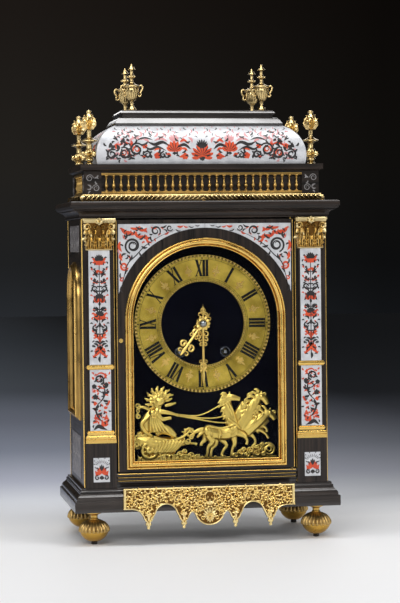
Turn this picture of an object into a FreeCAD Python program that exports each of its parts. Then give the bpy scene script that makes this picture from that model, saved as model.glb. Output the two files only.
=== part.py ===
import FreeCAD, Part
import math
import os

import Sketcher

V = FreeCAD.Vector

# A free-standing religieuse clock: arched glazed door between pilasters, attic with balustrades,
# cushion dome, and a two-train spring movement with verge and pendulum behind the dial.
# X runs to the viewer's right, Y to the back and Z up; the origin is the centre of the footprint.

# Driving dimensions in millimetres, counts and degrees: name, value, what it measures.
DIMENSIONS = [
    ("case_width", 298.6, "case, over the side boards"),
    ("case_depth", 152.0, "case, front stile face to back"),
    ("case_height", 322.5, "side boards, plinth top to cornice"),
    ("board", 9.0, "side board thickness"),
    ("stile_depth", 25.0, "front stile, front to back"),
    ("foot_height", 40.5, "foot, floor to plinth"),
    ("foot_ball", 18.0, "foot ball radius"),
    ("foot_ball_middle", 17.5, "foot ball, height of its widest ring"),
    ("foot_ball_top", 30.0, "foot ball, height of its top"),
    ("foot_stub", 4.0, "foot stub radius and height"),
    ("foot_neck", 4.5, "foot neck radius"),
    ("foot_plate", 9.0, "foot top plate radius"),
    ("foot_plate_height", 2.5, "foot top plate thickness"),
    ("foot_in_x", 25.2, "foot axis inside the plinth's end"),
    ("foot_in_y", 25.0, "foot axis inside the plinth's front"),
    ("base_spread", 12.8, "plinth block beyond the case all round"),
    ("base_block", 11.8, "plinth block height"),
    ("base_moulding", 16.7, "plinth moulding height"),
    ("base_step", 1.5, "plinth moulding, first step in"),
    ("base_cove", 4.0, "plinth moulding, inset at the cove top"),
    ("base_lip", 5.0, "plinth moulding, inset of the top step"),
    ("base_lip_height", 4.5, "plinth moulding, top step height"),
    ("apron_width", 209.0, "apron, overall width"),
    ("apron_thick", 2.5, "apron sheet thickness"),
    ("apron_end", 25.5, "apron drop at its ends"),
    ("apron_drop", 47.0, "apron drop at the pendants and the lobe"),
    ("apron_arch", 20.5, "apron drop at the arches"),
    ("apron_notch", 31.0, "apron drop at the notches beside the lobe"),
    ("apron_outer", 74.5, "apron outer pendant from the centre"),
    ("apron_inner", 31.5, "apron inner pendant from the centre"),
    ("apron_lobe", 20.5, "apron notch from the centre"),
    ("apron_pendant", 9.0, "apron pendant half width"),
    ("pilaster_edge", 20.2, "pilaster axis from the case's side"),
    ("stile_width", 38.7, "front stile width"),
    ("pedestal_width", 36.6, "pilaster pedestal width"),
    ("pedestal_height", 54.0, "pilaster pedestal height"),
    ("pedestal_proud", 5.4, "pilaster pedestal projection"),
    ("shaft_width", 29.0, "pilaster shaft width"),
    ("shaft_proud", 3.0, "pilaster shaft projection"),
    ("pilaster_base", 15.0, "gilt pilaster base height"),
    ("astragal_height", 6.0, "gilt astragal height"),
    ("astragal_width", 33.0, "gilt astragal width"),
    ("astragal_proud", 5.2, "gilt astragal projection"),
    ("lower_panel", 73.0, "lower marquetry panel height"),
    ("capital_height", 38.0, "capital height with its abacus"),
    ("panel_width", 25.4, "shaft marquetry panel width"),
    ("veneer", 0.8, "marquetry plate thickness"),
    ("pedestal_panel_width", 19.5, "pedestal marquetry panel width"),
    ("pedestal_panel_height", 29.0, "pedestal marquetry panel height"),
    ("capital_top", 39.4, "capital width at the abacus"),
    ("capital_proud", 11.0, "capital projection at the abacus"),
    ("abacus", 5.0, "abacus height"),
    ("sill_height", 17.0, "fixed sill under the door"),
    ("sill_proud", 3.0, "sill nosing projection"),
    ("door_thick", 12.0, "front door thickness"),
    ("door_gap", 2.0, "gap round the doors"),
    ("bezel_edge", 10.4, "bezel from the door's edge"),
    ("bezel_band", 9.9, "bezel width"),
    ("bezel_proud", 5.0, "bezel projection"),
    ("bezel_lift", 3.0, "bezel bottom above the door bottom"),
    ("arch_head", 22.0, "door above the bezel's arch"),
    ("glass_thick", 2.0, "pane thickness"),
    ("rebate", 1.7, "door opening beyond the bezel"),
    ("pane_play", 0.3, "play round a pane"),
    ("spandrel_band", 12.0, "ebony band between bezel and spandrel"),
    ("spandrel_edge", 3.2, "door edge beside the spandrel"),
    ("spandrel_seam", 0.4, "seam between the spandrels"),
    ("spandrel_top", 5.0, "door edge above the spandrel"),
    ("pivot", 1.0, "door pivot pin radius"),
    ("pivot_reach", 8.0, "door pivot pin reach into the door"),
    ("pivot_edge", 3.2, "door pivot axis from the door's edge"),
    ("pivot_face", 1.4, "door pivot axis from the door's face"),
    ("running", 0.05, "running clearance of pins and arbors"),
    ("lock_width", 13.0, "door lock width"),
    ("lock_height", 30.0, "door lock height"),
    ("lock_depth", 5.0, "door lock depth"),
    ("lock_drop", 24.3, "door lock below the arch springing"),
    ("escutcheon", 2.6, "keyhole escutcheon radius"),
    ("window_margin", 39.5, "side window from the case's front and back"),
    ("window_rise", 88.0, "side window above the plinth"),
    ("window_head", 61.0, "side window's arch below the cornice"),
    ("window_frame", 9.0, "side window frame width"),
    ("window_proud", 7.0, "side window frame projection"),
    ("side_panel_margin", 32.0, "side panels from the case's front and back"),
    ("side_panel_high", 32.0, "upper side panel height"),
    ("side_panel_low", 52.0, "lower side panel height"),
    ("side_panel_edge", 8.0, "side panels from the case ends"),
    ("cornice_spread", 14.3, "cornice beyond the case's sides"),
    ("cornice_reach", 16.0, "cornice beyond the case's front and back"),
    ("cornice_height", 20.2, "cornice height"),
    ("cornice_bed", 13.0, "cornice inset at its foot"),
    ("cornice_bed_height", 2.0, "cornice foot fillet height"),
    ("cornice_cove", 3.5, "cornice inset above the cove"),
    ("cornice_crown", 7.5, "cornice crown height"),
    ("attic_in_x", 5.3, "attic inside the case's sides"),
    ("attic_in_y", 12.5, "attic inside the case's front and back"),
    ("leaf_height", 9.3, "leaf moulding height"),
    ("leaf_proud", 6.0, "leaf moulding projection"),
    ("gallery_height", 25.5, "balustrade height"),
    ("gallery_recess", 6.5, "recess behind the balustrade"),
    ("corner_block", 21.0, "attic corner block width"),
    ("rail", 3.0, "balustrade rail height"),
    ("rail_depth", 6.0, "balustrade rail depth"),
    ("baluster_pitch", 9.0, "baluster spacing"),
    ("baluster_belly", 2.9, "baluster belly radius"),
    ("baluster_neck", 1.2, "baluster neck radius"),
    ("attic_top_height", 10.1, "attic top moulding height"),
    ("attic_top_proud", 4.6, "attic top moulding projection"),
    ("dome_in_x", 16.5, "dome foot inside the attic's sides"),
    ("dome_in_y", 1.5, "dome foot inside the attic's front and back"),
    ("dome_height", 48.4, "dome height"),
    ("dome_draw_x", 25.9, "dome drawn in at its top, sideways"),
    ("dome_draw_y", 20.0, "dome drawn in at its top, in depth"),
    ("dome_bow", 40.0, "dome side arc radius"),
    ("dome_wall", 6.0, "dome shell thickness"),
    ("ledge_height", 7.5, "dome cap ledge height"),
    ("ledge_proud", 1.6, "dome cap ledge overhang"),
    ("cap_height", 11.0, "dome cap plateau height"),
    ("cap_in_x", 5.8, "cap plateau inside the dome's top, sideways"),
    ("cap_in_y", 3.0, "cap plateau inside the dome's top, in depth"),
    ("vase_in_x", 15.2, "vase axis inside the plateau's sides"),
    ("vase_in_y", 9.0, "vase axis inside the plateau's front and back"),
    ("vase_height", 56.5, "vase height"),
    ("vase_body", 10.0, "vase body radius"),
    ("vase_foot", 5.0, "vase foot radius"),
    ("vase_stem", 2.3, "vase stem radius"),
    ("vase_bud", 5.4, "vase knop and bud radius"),
    ("bud_in_x", 7.4, "corner finial axis inside the attic's sides"),
    ("bud_in_y", 8.5, "corner finial axis inside the attic's front and back"),
    ("bud_height", 65.7, "corner finial height"),
    ("bud_foot", 5.2, "corner finial foot radius"),
    ("bud_disc", 10.0, "corner finial disc radius"),
    ("bud_body", 8.8, "corner finial bud radius"),
    ("bud_stem", 2.8, "corner finial stem radius"),
    ("back_stile", 23.9, "back frame stile width"),
    ("back_rail", 26.0, "back frame rail height"),
    ("back_door_thick", 7.5, "back door thickness"),
    ("back_frame_thick", 9.0, "back frame thickness"),
    ("knob", 5.0, "back door knob radius"),
    ("dial_drop", 128.3, "dial centre below the cornice"),
    ("dial_side", 15.3, "dial plate short of the side boards"),
    ("dial_thick", 2.0, "dial plate thickness"),
    ("dial_margin", 3.0, "dial plate short of the case ends"),
    ("ring_outer", 84.0, "chapter ring outer radius"),
    ("ring_inner", 51.0, "chapter ring inner radius"),
    ("ring_thick", 2.5, "chapter ring thickness"),
    ("winding_hole", 5.0, "winding hole radius"),
    ("group_side", 2.3, "figure group short of the bezel's inner edge"),
    ("group_lift", 1.6, "figure group above the bezel's inner edge"),
    ("group_ground", 9.0, "figure group ground height"),
    ("group_relief", 8.0, "figure group relief"),
    ("group_gap", 0.4, "figure group clear of the chapter ring"),
    ("hand_thick", 1.2, "hand thickness"),
    ("hand_gap", 1.2, "gap between the hands"),
    ("minute_hand", 76.0, "minute hand length"),
    ("minute_tail", 24.0, "minute hand tail length"),
    ("hour_hand", 48.0, "hour hand length"),
    ("hour_tail", 16.0, "hour hand tail length"),
    ("hand_width", 8.0, "hand width at its widest"),
    ("hand_hub", 6.5, "hand hub radius"),
    ("hand_boss", 4.0, "centre boss radius"),
    ("minute_angle", 180.0, "minute hand at rest, clockwise from twelve"),
    ("hour_angle", 216.0, "hour hand at rest, clockwise from twelve"),
    ("plate_width", 130.0, "movement plate width"),
    ("plate_below", 65.8, "movement plate below the dial centre"),
    ("plate_above", 72.2, "movement plate above the dial centre"),
    ("plate_thick", 2.0, "movement plate thickness"),
    ("motion_space", 11.0, "space between dial plate and front plate"),
    ("plate_space", 56.0, "space between the plates"),
    ("pillar", 3.0, "plate pillar radius"),
    ("pillar_edge", 7.0, "plate pillar from the plate's edges"),
    ("arbor", 1.25, "train arbor radius"),
    ("centre_arbor", 1.5, "centre arbor radius"),
    ("winding_arbor", 2.4, "winding arbor radius"),
    ("winding_square", 3.2, "winding square across flats"),
    ("wheel_thick", 2.0, "wheel thickness"),
    ("pinion_long", 5.5, "pinion leaf length"),
    ("barrel_x", 28.0, "barrel arbors from the centre"),
    ("barrel_drop", 35.0, "barrel arbors below the dial centre"),
    ("barrel_long", 18.0, "barrel length"),
    ("barrel_wall", 1.4, "barrel wall"),
    ("barrel_setback", 28.0, "barrel front behind the front plate"),
    ("spring_thick", 0.6, "mainspring thickness"),
    ("spring_turns", 8, "mainspring turns"),
    ("second_x", 17.4, "second arbor from the centre"),
    ("second_drop", 9.1, "second arbor below the dial centre"),
    ("contrate_rise", 18.6, "contrate arbor above the dial centre"),
    ("contrate_tooth", 2.4, "contrate tooth height"),
    ("contrate_radius", 14.0, "contrate pitch radius"),
    ("crown_radius", 11.0, "crown wheel radius"),
    ("crown_lift", 12.0, "crown wheel above its pinion"),
    ("crown_tooth", 4.0, "crown wheel tooth height"),
    ("verge_clear", 4.5, "verge axis above the crown teeth"),
    ("pallet_long", 3.9, "pallet length from the verge axis"),
    ("pallet_spread", 96.0, "angle between the pallets"),
    ("potence_arm", 4.0, "potence arm thickness"),
    ("cock_depth", 11.0, "back cock arm behind the back plate"),
    ("cock_thick", 3.0, "back cock thickness"),
    ("cock_span", 10.0, "back cock feet from the centre"),
    ("end_play", 0.3, "end play of arbors"),
    ("pendulum_pin", 1.5, "pendulum suspension pin radius"),
    ("pendulum_length", 168.0, "pendulum, suspension to bob centre"),
    ("pendulum_rod", 3.0, "pendulum rod width"),
    ("bob_radius", 20.0, "pendulum bob radius"),
    ("bob_thick", 9.0, "pendulum bob thickness"),
    ("crutch_long", 46.0, "crutch length"),
    ("fork_play", 0.3, "crutch fork play each side of the rod"),
    ("minute_wheel_x", 14.4, "minute wheel post from the centre"),
    ("pin_wheel_x", 42.0, "pin wheel arbor from the centre"),
    ("pin_wheel_drop", 10.8, "pin wheel arbor below the dial centre"),
    ("hoop_x", 37.0, "hoop wheel arbor from the centre"),
    ("hoop_rise", 8.2, "hoop wheel arbor above the dial centre"),
    ("fly_x", 33.0, "fly arbor from the centre"),
    ("fly_rise", 24.5, "fly arbor above the dial centre"),
    ("fly_span", 18.0, "fly vane span"),
    ("hammer_x", 45.0, "hammer arbor from the centre"),
    ("hammer_rise", 40.0, "hammer arbor above the dial centre"),
    ("pin_circle", 12.0, "hammer pin circle radius"),
    ("hammer_pin", 0.75, "hammer pin radius"),
    ("hammer_head", 4.0, "hammer head radius"),
    ("bell_x", 20.0, "bell axis from the centre"),
    ("bell_setback", 38.0, "bell axis behind the dial plate"),
    ("bell_lift", 8.0, "bell rim above the movement plates"),
    ("bell_radius", 32.0, "bell rim radius"),
    ("bell_wall", 2.5, "bell wall"),
    ("bell_height", 34.0, "bell height"),
]

# Tooth counts of the wheels and the pinions that they drive.
BARREL_TEETH = 60
SECOND_PINION = 10
SECOND_TEETH = 48
CENTRE_PINION = 8
CENTRE_TEETH = 54
CONTRATE_PINION = 8
CONTRATE_TEETH = 40
CROWN_PINION = 8
CROWN_TEETH = 21
CANNON_LEAVES = 12
MINUTE_TEETH = 36
MINUTE_PINION = 10
HOUR_TEETH = 40
PIN_PINION = 10
PIN_TEETH = 48
HAMMER_PINS = 8
HOOP_PINION = 8
HOOP_TEETH = 48
FLY_PINION = 8
COUNT_PINION = 8
COUNT_TEETH = 72
STRIKES = range(1, 13)

doc = FreeCAD.newDocument("religieuse_clock")
sheet = doc.addObject("Spreadsheet::Sheet", "dims")


class Size:
    """A value from the sheet, or a formula on such values, with the expression that gives it."""

    def __init__(self, value, text):
        self.value = value
        self.text = text

    def __float__(self):
        return self.value

    def __neg__(self):
        return Size(-self.value, f"(-{self.text})")

    def __add__(self, other):
        other = as_size(other)
        return Size(self.value + other.value, f"({self.text} + {other.text})")

    def __sub__(self, other):
        return self + -as_size(other)

    def __mul__(self, other):
        other = as_size(other)
        return Size(self.value * other.value, f"({self.text} * {other.text})")

    def __truediv__(self, other):
        other = as_size(other)
        return Size(self.value / other.value, f"({self.text} / {other.text})")

    def __rsub__(self, other):
        return as_size(other) - self

    __radd__ = __add__
    __rmul__ = __mul__


def as_size(number):
    return number if isinstance(number, Size) else Size(float(number), repr(float(number)))


class Dimensions:
    """The sheet's values, each under its own name."""


for row, (name, value, meaning) in enumerate(DIMENSIONS, 1):
    sheet.set(f"A{row}", meaning)
    sheet.set(f"B{row}", str(value))
    sheet.setAlias(f"B{row}", name)
doc.recompute()
d = Dimensions()
for name, value, meaning in DIMENSIONS:
    setattr(d, name, Size(float(sheet.get(name)), f"dims.{name}"))

# Heights of the main levels above the floor.
BASE_TOP = d.foot_height + d.base_block + d.base_moulding
CASE_TOP = BASE_TOP + d.case_height
CORNICE_TOP = CASE_TOP + d.cornice_height
LEAF_TOP = CORNICE_TOP + d.leaf_height
GALLERY_TOP = LEAF_TOP + d.gallery_height
ATTIC_TOP = GALLERY_TOP + d.attic_top_height
DOME_TOP = ATTIC_TOP + d.dome_height
LEDGE_TOP = DOME_TOP + d.ledge_height
CAP_TOP = LEDGE_TOP + d.cap_height
PEDESTAL_TOP = BASE_TOP + d.pedestal_height
PILASTER_BASE_TOP = PEDESTAL_TOP + d.pilaster_base
ASTRAGAL_FOOT = PILASTER_BASE_TOP + d.lower_panel
ASTRAGAL_TOP = ASTRAGAL_FOOT + d.astragal_height
CAPITAL_FOOT = CASE_TOP - d.capital_height
SILL_TOP = BASE_TOP + d.sill_height

# Widths and depths that follow the case.
d.base_width = d.case_width + d.base_spread * 2
d.base_depth = d.case_depth + d.base_spread * 2
d.foot_x = d.base_width / 2 - d.foot_in_x
d.foot_y = d.base_depth / 2 - d.foot_in_y
d.pilaster_x = d.case_width / 2 - d.pilaster_edge
d.stile_inner = d.case_width / 2 - d.stile_width
d.window_width = d.case_depth - d.window_margin * 2
d.window_bottom = BASE_TOP + d.window_rise
d.window_spring = CASE_TOP - d.window_head - d.window_width / 2
d.side_panel_width = d.case_depth - d.side_panel_margin * 2
d.cornice_width = d.case_width + d.cornice_spread * 2
d.cornice_depth = d.case_depth + d.cornice_reach * 2
d.attic_width = d.case_width - d.attic_in_x * 2
d.attic_depth = d.case_depth - d.attic_in_y * 2
d.dome_width = d.attic_width - d.dome_in_x * 2
d.dome_depth = d.attic_depth - d.dome_in_y * 2
d.cap_width = d.dome_width - (d.dome_draw_x + d.cap_in_x) * 2
d.cap_depth = d.dome_depth - (d.dome_draw_y + d.cap_in_y) * 2
d.vase_x = d.cap_width / 2 - d.vase_in_x
d.vase_y = d.cap_depth / 2 - d.vase_in_y
d.bud_x = d.attic_width / 2 - d.bud_in_x
d.bud_y = d.attic_depth / 2 - d.bud_in_y
d.dial_width = d.case_width - (d.board + d.dial_side) * 2
d.back_opening = d.case_width - (d.board + d.back_stile) * 2

# Planes from front to back.
CASE_SIDE = d.case_width / 2
FRONT = -d.case_depth / 2
BACK = d.case_depth / 2
DIAL_FRONT = FRONT + d.stile_depth
DIAL_BACK = DIAL_FRONT + d.dial_thick
FRONT_PLATE = DIAL_BACK + d.motion_space
TRAIN_FRONT = FRONT_PLATE + d.plate_thick
BACK_PLATE = TRAIN_FRONT + d.plate_space
TRAIN_BACK = BACK_PLATE + d.plate_thick

# The front door.
DOOR_HALF = d.stile_inner - d.door_gap
DOOR_BOTTOM = SILL_TOP + d.door_gap / 2
DOOR_TOP = CASE_TOP - d.door_gap
DOOR_BACK = FRONT + d.door_thick
BEZEL_BOTTOM = DOOR_BOTTOM + d.bezel_lift
d.door_bezel_outer = DOOR_HALF - d.bezel_edge
d.door_bezel_inner = d.door_bezel_outer - d.bezel_band
d.arch_spring = DOOR_TOP - d.arch_head - d.door_bezel_outer
d.lock_z = d.arch_spring - d.lock_drop
DOOR_OPENING = d.door_bezel_inner + d.rebate
DOOR_AXIS_X = DOOR_HALF - d.pivot_edge
DOOR_AXIS_Y = FRONT + d.pivot_face

# The dial, its figure group and the movement hang from the case's top.
d.dial_z = CASE_TOP - d.dial_drop
d.group_width = (d.door_bezel_inner - d.group_side) * 2
d.group_bottom = BEZEL_BOTTOM + d.bezel_band + d.group_lift
d.plate_bottom = d.dial_z - d.plate_below
d.plate_top = d.dial_z + d.plate_above
d.bell_rim = d.plate_top + d.bell_lift
d.bell_y = -(DIAL_BACK + d.bell_setback)
CROWN_PINION_Z = d.dial_z + d.contrate_rise + d.contrate_radius
CROWN_TIP = CROWN_PINION_Z + d.crown_lift + d.wheel_thick * 2 + d.crown_tooth
VERGE_LEVEL = CROWN_TIP + d.verge_clear


def bind(item, prop, size):
    item.setExpression(prop, as_size(size).text)


def place(item, x, y, z):
    for axis, size in zip("xyz", (x, y, z)):
        bind(item, f"Placement.Base.{axis}", size)


def block(name, low, high):
    """A box between two opposite corners."""
    box = doc.addObject("Part::Box", name)
    for prop, start, end in zip(("Length", "Width", "Height"), low, high):
        bind(box, prop, as_size(end) - start)
    place(box, *low)
    return box


TURN_TO_Y = FreeCAD.Rotation(V(1, 0, 0), -90)
TURN_TO_X = FreeCAD.Rotation(V(0, 1, 0), 90)
UPRIGHT = FreeCAD.Rotation()


def rod(name, radius, start, length, turn=UPRIGHT):
    """A cylinder from its start point, standing up unless it is turned."""
    cylinder = doc.addObject("Part::Cylinder", name)
    bind(cylinder, "Radius", radius)
    bind(cylinder, "Height", length)
    cylinder.Placement = FreeCAD.Placement(V(), turn)
    place(cylinder, *start)
    return cylinder


def group(name, *pieces):
    compound = doc.addObject("Part::Compound", name)
    compound.Links = list(pieces)
    return compound


def fuse(name, *pieces):
    union = doc.addObject("Part::MultiFuse", name)
    union.Shapes = list(pieces)
    return union


def cut(name, base, *tools):
    difference = doc.addObject("Part::Cut", name)
    difference.Base = base
    difference.Tool = tools[0] if len(tools) == 1 else group(f"{name}_cuts", *tools)
    return difference


def common(name, first, second):
    overlap = doc.addObject("Part::Common", name)
    overlap.Base = first
    overlap.Tool = second
    return overlap


def mirrored(name, source, normal):
    mirror = doc.addObject("Part::Mirroring", name)
    mirror.Source = source
    mirror.Normal = normal
    return mirror


ACROSS = V(1, 0, 0)
IN_DEPTH = V(0, 1, 0)


def pair(name, piece, normal=ACROSS):
    """A piece and its mirror image as one group."""
    return group(name, piece, mirrored(f"{name}_mirror", piece, normal))


def four(name, piece):
    """A piece at all four corners."""
    return pair(name, pair(f"{name}_front", piece), IN_DEPTH)


def outline(sketch, corners):
    """A closed outline. A corner is (x, y), or (x, y, radius, side) where an arc leaves it:
    side 1 bows to the left of the way it runs, -1 to the right."""
    count = len(corners)
    starts = []
    for index, corner in enumerate(corners):
        ends = [V(float(p[0]), float(p[1]), 0) for p in (corner, corners[(index + 1) % count])]
        if len(corner) == 2:
            sketch.addGeometry(Part.LineSegment(*ends), False)
        else:
            chord = ends[1] - ends[0]
            radius = float(corner[2])
            rise = radius - math.sqrt(radius ** 2 - (chord.Length / 2) ** 2)
            left = V(-chord.y, chord.x, 0).normalize()
            middle = (ends[0] + ends[1]) * 0.5 + left * (rise * corner[3])
            sketch.addGeometry(Part.Arc(ends[0], middle, ends[1]), False)
        starts.append(1 if sketch.getPoint(index, 1).isEqual(ends[0], 1e-6) else 2)
    for index, start in enumerate(starts):
        following = (index + 1) % count
        joined = (index, 3 - start, following, starts[following])
        sketch.addConstraint(Sketcher.Constraint("Coincident", *joined))
    for index, corner in enumerate(corners):
        for kind, size in zip(("DistanceX", "DistanceY"), corner):
            held = sketch.addConstraint(
                Sketcher.Constraint(kind, -1, 1, index, starts[index], float(size)))
            sketch.setExpression(f"Constraints[{held}]", as_size(size).text)
        if len(corner) > 2:
            held = sketch.addConstraint(Sketcher.Constraint("Radius", index, float(corner[2])))
            sketch.setExpression(f"Constraints[{held}]", as_size(corner[2]).text)


def turned(name, corners, x, y, z):
    """A lathe-turned body from (radius, height) corners, standing at a point."""
    body = doc.addObject("PartDesign::Body", name)
    sketch = body.newObject("Sketcher::SketchObject", f"{name}_profile")
    plane = next(item for item in body.Origin.OriginFeatures if item.Role == "XZ_Plane")
    sketch.AttachmentSupport = (plane, [""])
    sketch.MapMode = "FlatFace"
    outline(sketch, corners)
    turn = body.newObject("PartDesign::Revolution", f"{name}_turning")
    turn.Profile = sketch
    turn.ReferenceAxis = (sketch, ["V_Axis"])
    turn.Angle = 360
    place(body, x, y, z)
    return body


FACING = {"front": FreeCAD.Rotation(V(1, 0, 0), 90), "side": FreeCAD.Rotation(V(1, 1, 1), 120)}


def profile(name, facing, corners, length, symmetric=True):
    """An outline in the front (X, Z) or side (Y, Z) plane, drawn out along its normal."""
    sketch = doc.addObject("Sketcher::SketchObject", f"{name}_outline")
    sketch.Placement = FreeCAD.Placement(V(), FACING[facing])
    outline(sketch, corners)
    run = doc.addObject("Part::Extrusion", name)
    run.Base = sketch
    run.DirMode = "Normal"
    run.Solid = True
    run.Symmetric = symmetric
    bind(run, "LengthFwd", length)
    return run


def plate(name, corners, back, thickness):
    """A flat plate with a front outline, from its back plane towards the viewer."""
    sheet_plate = profile(name, "front", corners, thickness, symmetric=False)
    bind(sheet_plate.Base, "Placement.Base.y", back)
    return sheet_plate


def both_sides(half, steps):
    """Steps of (inset, height, arc) up the right edge and down the left edge of a section."""
    right = [(half - step[0], *step[1:]) for step in steps]
    left = []
    for index in reversed(range(len(steps))):
        arc = steps[index - 1][2:] if index else ()
        left.append((steps[index][0] - half, steps[index][1], *arc))
    return right + left


def moulded(name, half_width, half_depth, steps):
    """A block whose moulding runs round all four sides with mitred corners."""
    front = profile(f"{name}_front", "front", both_sides(half_width, steps), half_depth * 2)
    side = profile(f"{name}_side", "side", both_sides(half_depth, steps), half_width * 2)
    return common(name, front, side)


def arched(name, half_width, bottom, spring, start, end):
    """A plate with a round arched top in the front plane, between two depths."""
    body = block(f"{name}_straight", (-half_width, start, bottom), (half_width, end, spring))
    top = rod(f"{name}_arch", half_width, (0, start, spring), as_size(end) - start, TURN_TO_Y)
    return fuse(name, body, top)


def bow_radius(half_chord, rise):
    """The radius of an arc over a chord that it rises above."""
    return (half_chord * half_chord + rise * rise) / (rise * 2)


def plinth():
    cove_foot = d.foot_height + d.base_block
    lip = BASE_TOP - d.base_lip_height
    steps = [
        (0, d.foot_height),
        (0, cove_foot),
        (d.base_step, cove_foot, d.base_moulding, 1),
        (d.base_cove, lip),
        (d.base_lip, lip),
        (d.base_lip, BASE_TOP),
    ]
    moulded("base_plinth", d.base_width / 2, d.base_depth / 2, steps)

    neck_top = d.foot_height - d.foot_plate_height
    under = d.foot_ball_middle - d.foot_stub
    over = d.foot_ball_top - d.foot_ball_middle
    foot = turned("foot", [
        (0, 0),
        (d.foot_stub, 0),
        (d.foot_stub, d.foot_stub),
        (d.foot_ball * 0.62, d.foot_stub + under * 0.2),
        (d.foot_ball * 0.9, d.foot_stub + under * 0.55),
        (d.foot_ball, d.foot_ball_middle),
        (d.foot_ball * 0.93, d.foot_ball_middle + over * 0.4),
        (d.foot_ball * 0.7, d.foot_ball_middle + over * 0.8),
        (d.foot_neck, d.foot_ball_top),
        (d.foot_neck, neck_top),
        (d.foot_plate, neck_top),
        (d.foot_plate, d.foot_height),
        (0, d.foot_height),
    ], d.foot_x, -d.foot_y, 0)
    four("feet", foot)

    top = BASE_TOP
    end = d.apron_width / 2
    pendant = d.apron_pendant
    arch_radius = bow_radius((d.apron_outer - d.apron_inner) / 2 - pendant, d.apron_notch - d.apron_arch)
    lobe_radius = bow_radius(d.apron_lobe, d.apron_drop - d.apron_notch)
    half = [
        (end, top),
        (end, top - d.apron_end),
        (d.apron_outer + pendant, top - d.apron_end),
        (d.apron_outer, top - d.apron_drop),
        (d.apron_outer - pendant, top - d.apron_notch, arch_radius, -1),
        (d.apron_inner + pendant, top - d.apron_notch),
        (d.apron_inner, top - d.apron_drop),
        (d.apron_lobe, top - d.apron_notch, lobe_radius, 1),
    ]
    left = [(-half[7][0], half[7][1])]
    left.append((-half[6][0], half[6][1]))
    left.append((-half[5][0], half[5][1], arch_radius, -1))
    left += [(-corner[0], corner[1]) for corner in reversed(half[:5])]
    plate("base_apron", half + left, -d.base_depth / 2, d.apron_thick)


def carcass():
    board_inner = CASE_SIDE - d.board
    window_half = d.window_width / 2
    side = block("side_board_solid", (board_inner, DIAL_FRONT, BASE_TOP), (CASE_SIDE, BACK, CASE_TOP))
    seat_half = window_half + d.rebate
    seat_bottom = d.window_bottom - d.rebate
    opening = side_arch("side_opening", seat_half, seat_bottom, board_inner - 1, CASE_SIDE + 1)
    pair("side_boards", cut("right_side_board", side, opening))

    frame_end = CASE_SIDE + d.window_proud
    outer = side_arch("window_outer", window_half + d.window_frame, d.window_bottom - d.window_frame,
                      CASE_SIDE, frame_end)
    inner = side_arch("window_inner", window_half, d.window_bottom, CASE_SIDE - 1, frame_end + 1)
    pair("side_window_frames", cut("right_window_frame", outer, inner))
    pane = side_arch("right_window_pane", seat_half - d.pane_play, seat_bottom + d.pane_play,
                     CASE_SIDE - d.glass_thick, CASE_SIDE)
    pair("side_window_panes", pane)

    edge = d.side_panel_width / 2
    skin = CASE_SIDE + d.veneer
    high = CASE_TOP - d.side_panel_edge
    low = BASE_TOP + d.side_panel_edge
    upper = block("right_upper_side_panel", (CASE_SIDE, -edge, high - d.side_panel_high),
                  (skin, edge, high))
    lower = block("right_lower_side_panel", (CASE_SIDE, -edge, low),
                  (skin, edge, low + d.side_panel_low))
    pair("side_panels", group("right_side_panels", upper, lower))

    half = d.back_opening / 2
    start = BACK - d.back_frame_thick
    frame = block("back_frame_solid", (-board_inner, start, BASE_TOP), (board_inner, BACK, CASE_TOP))
    hole = block("back_hole", (-half, start - 1, BASE_TOP + d.back_rail),
                 (half, BACK + 1, CASE_TOP - d.back_rail))
    cut("back_frame", frame, hole)


def side_arch(name, half_width, bottom, start, end):
    """An arched plate in the side plane, between two distances from the centre."""
    body = block(f"{name}_straight", (start, -half_width, bottom), (end, half_width, d.window_spring))
    top = rod(f"{name}_arch", half_width, (start, 0, d.window_spring), as_size(end) - start, TURN_TO_X)
    return fuse(name, body, top)


def pilaster_piece(name, steps):
    """A piece round a pilaster from (half width, projection, height, arc) steps up its edge."""
    right = [(d.pilaster_x + step[0], *step[2:]) for step in steps]
    left = []
    for index in reversed(range(len(steps))):
        arc = steps[index - 1][3:] if index else ()
        left.append((d.pilaster_x - steps[index][0], steps[index][2], *arc))
    front = profile(f"{name}_front", "front", right + left, d.case_depth * 2)
    face = [(FRONT, steps[-1][2]), (FRONT, steps[0][2])]
    section = []
    for step in steps:
        arc = (step[3], -step[4]) if len(step) > 3 else ()
        section.append((FRONT - step[1], step[2], *arc))
    side = profile(f"{name}_side", "side", section + face, d.case_width * 2)
    return common(name, front, side)


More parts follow.
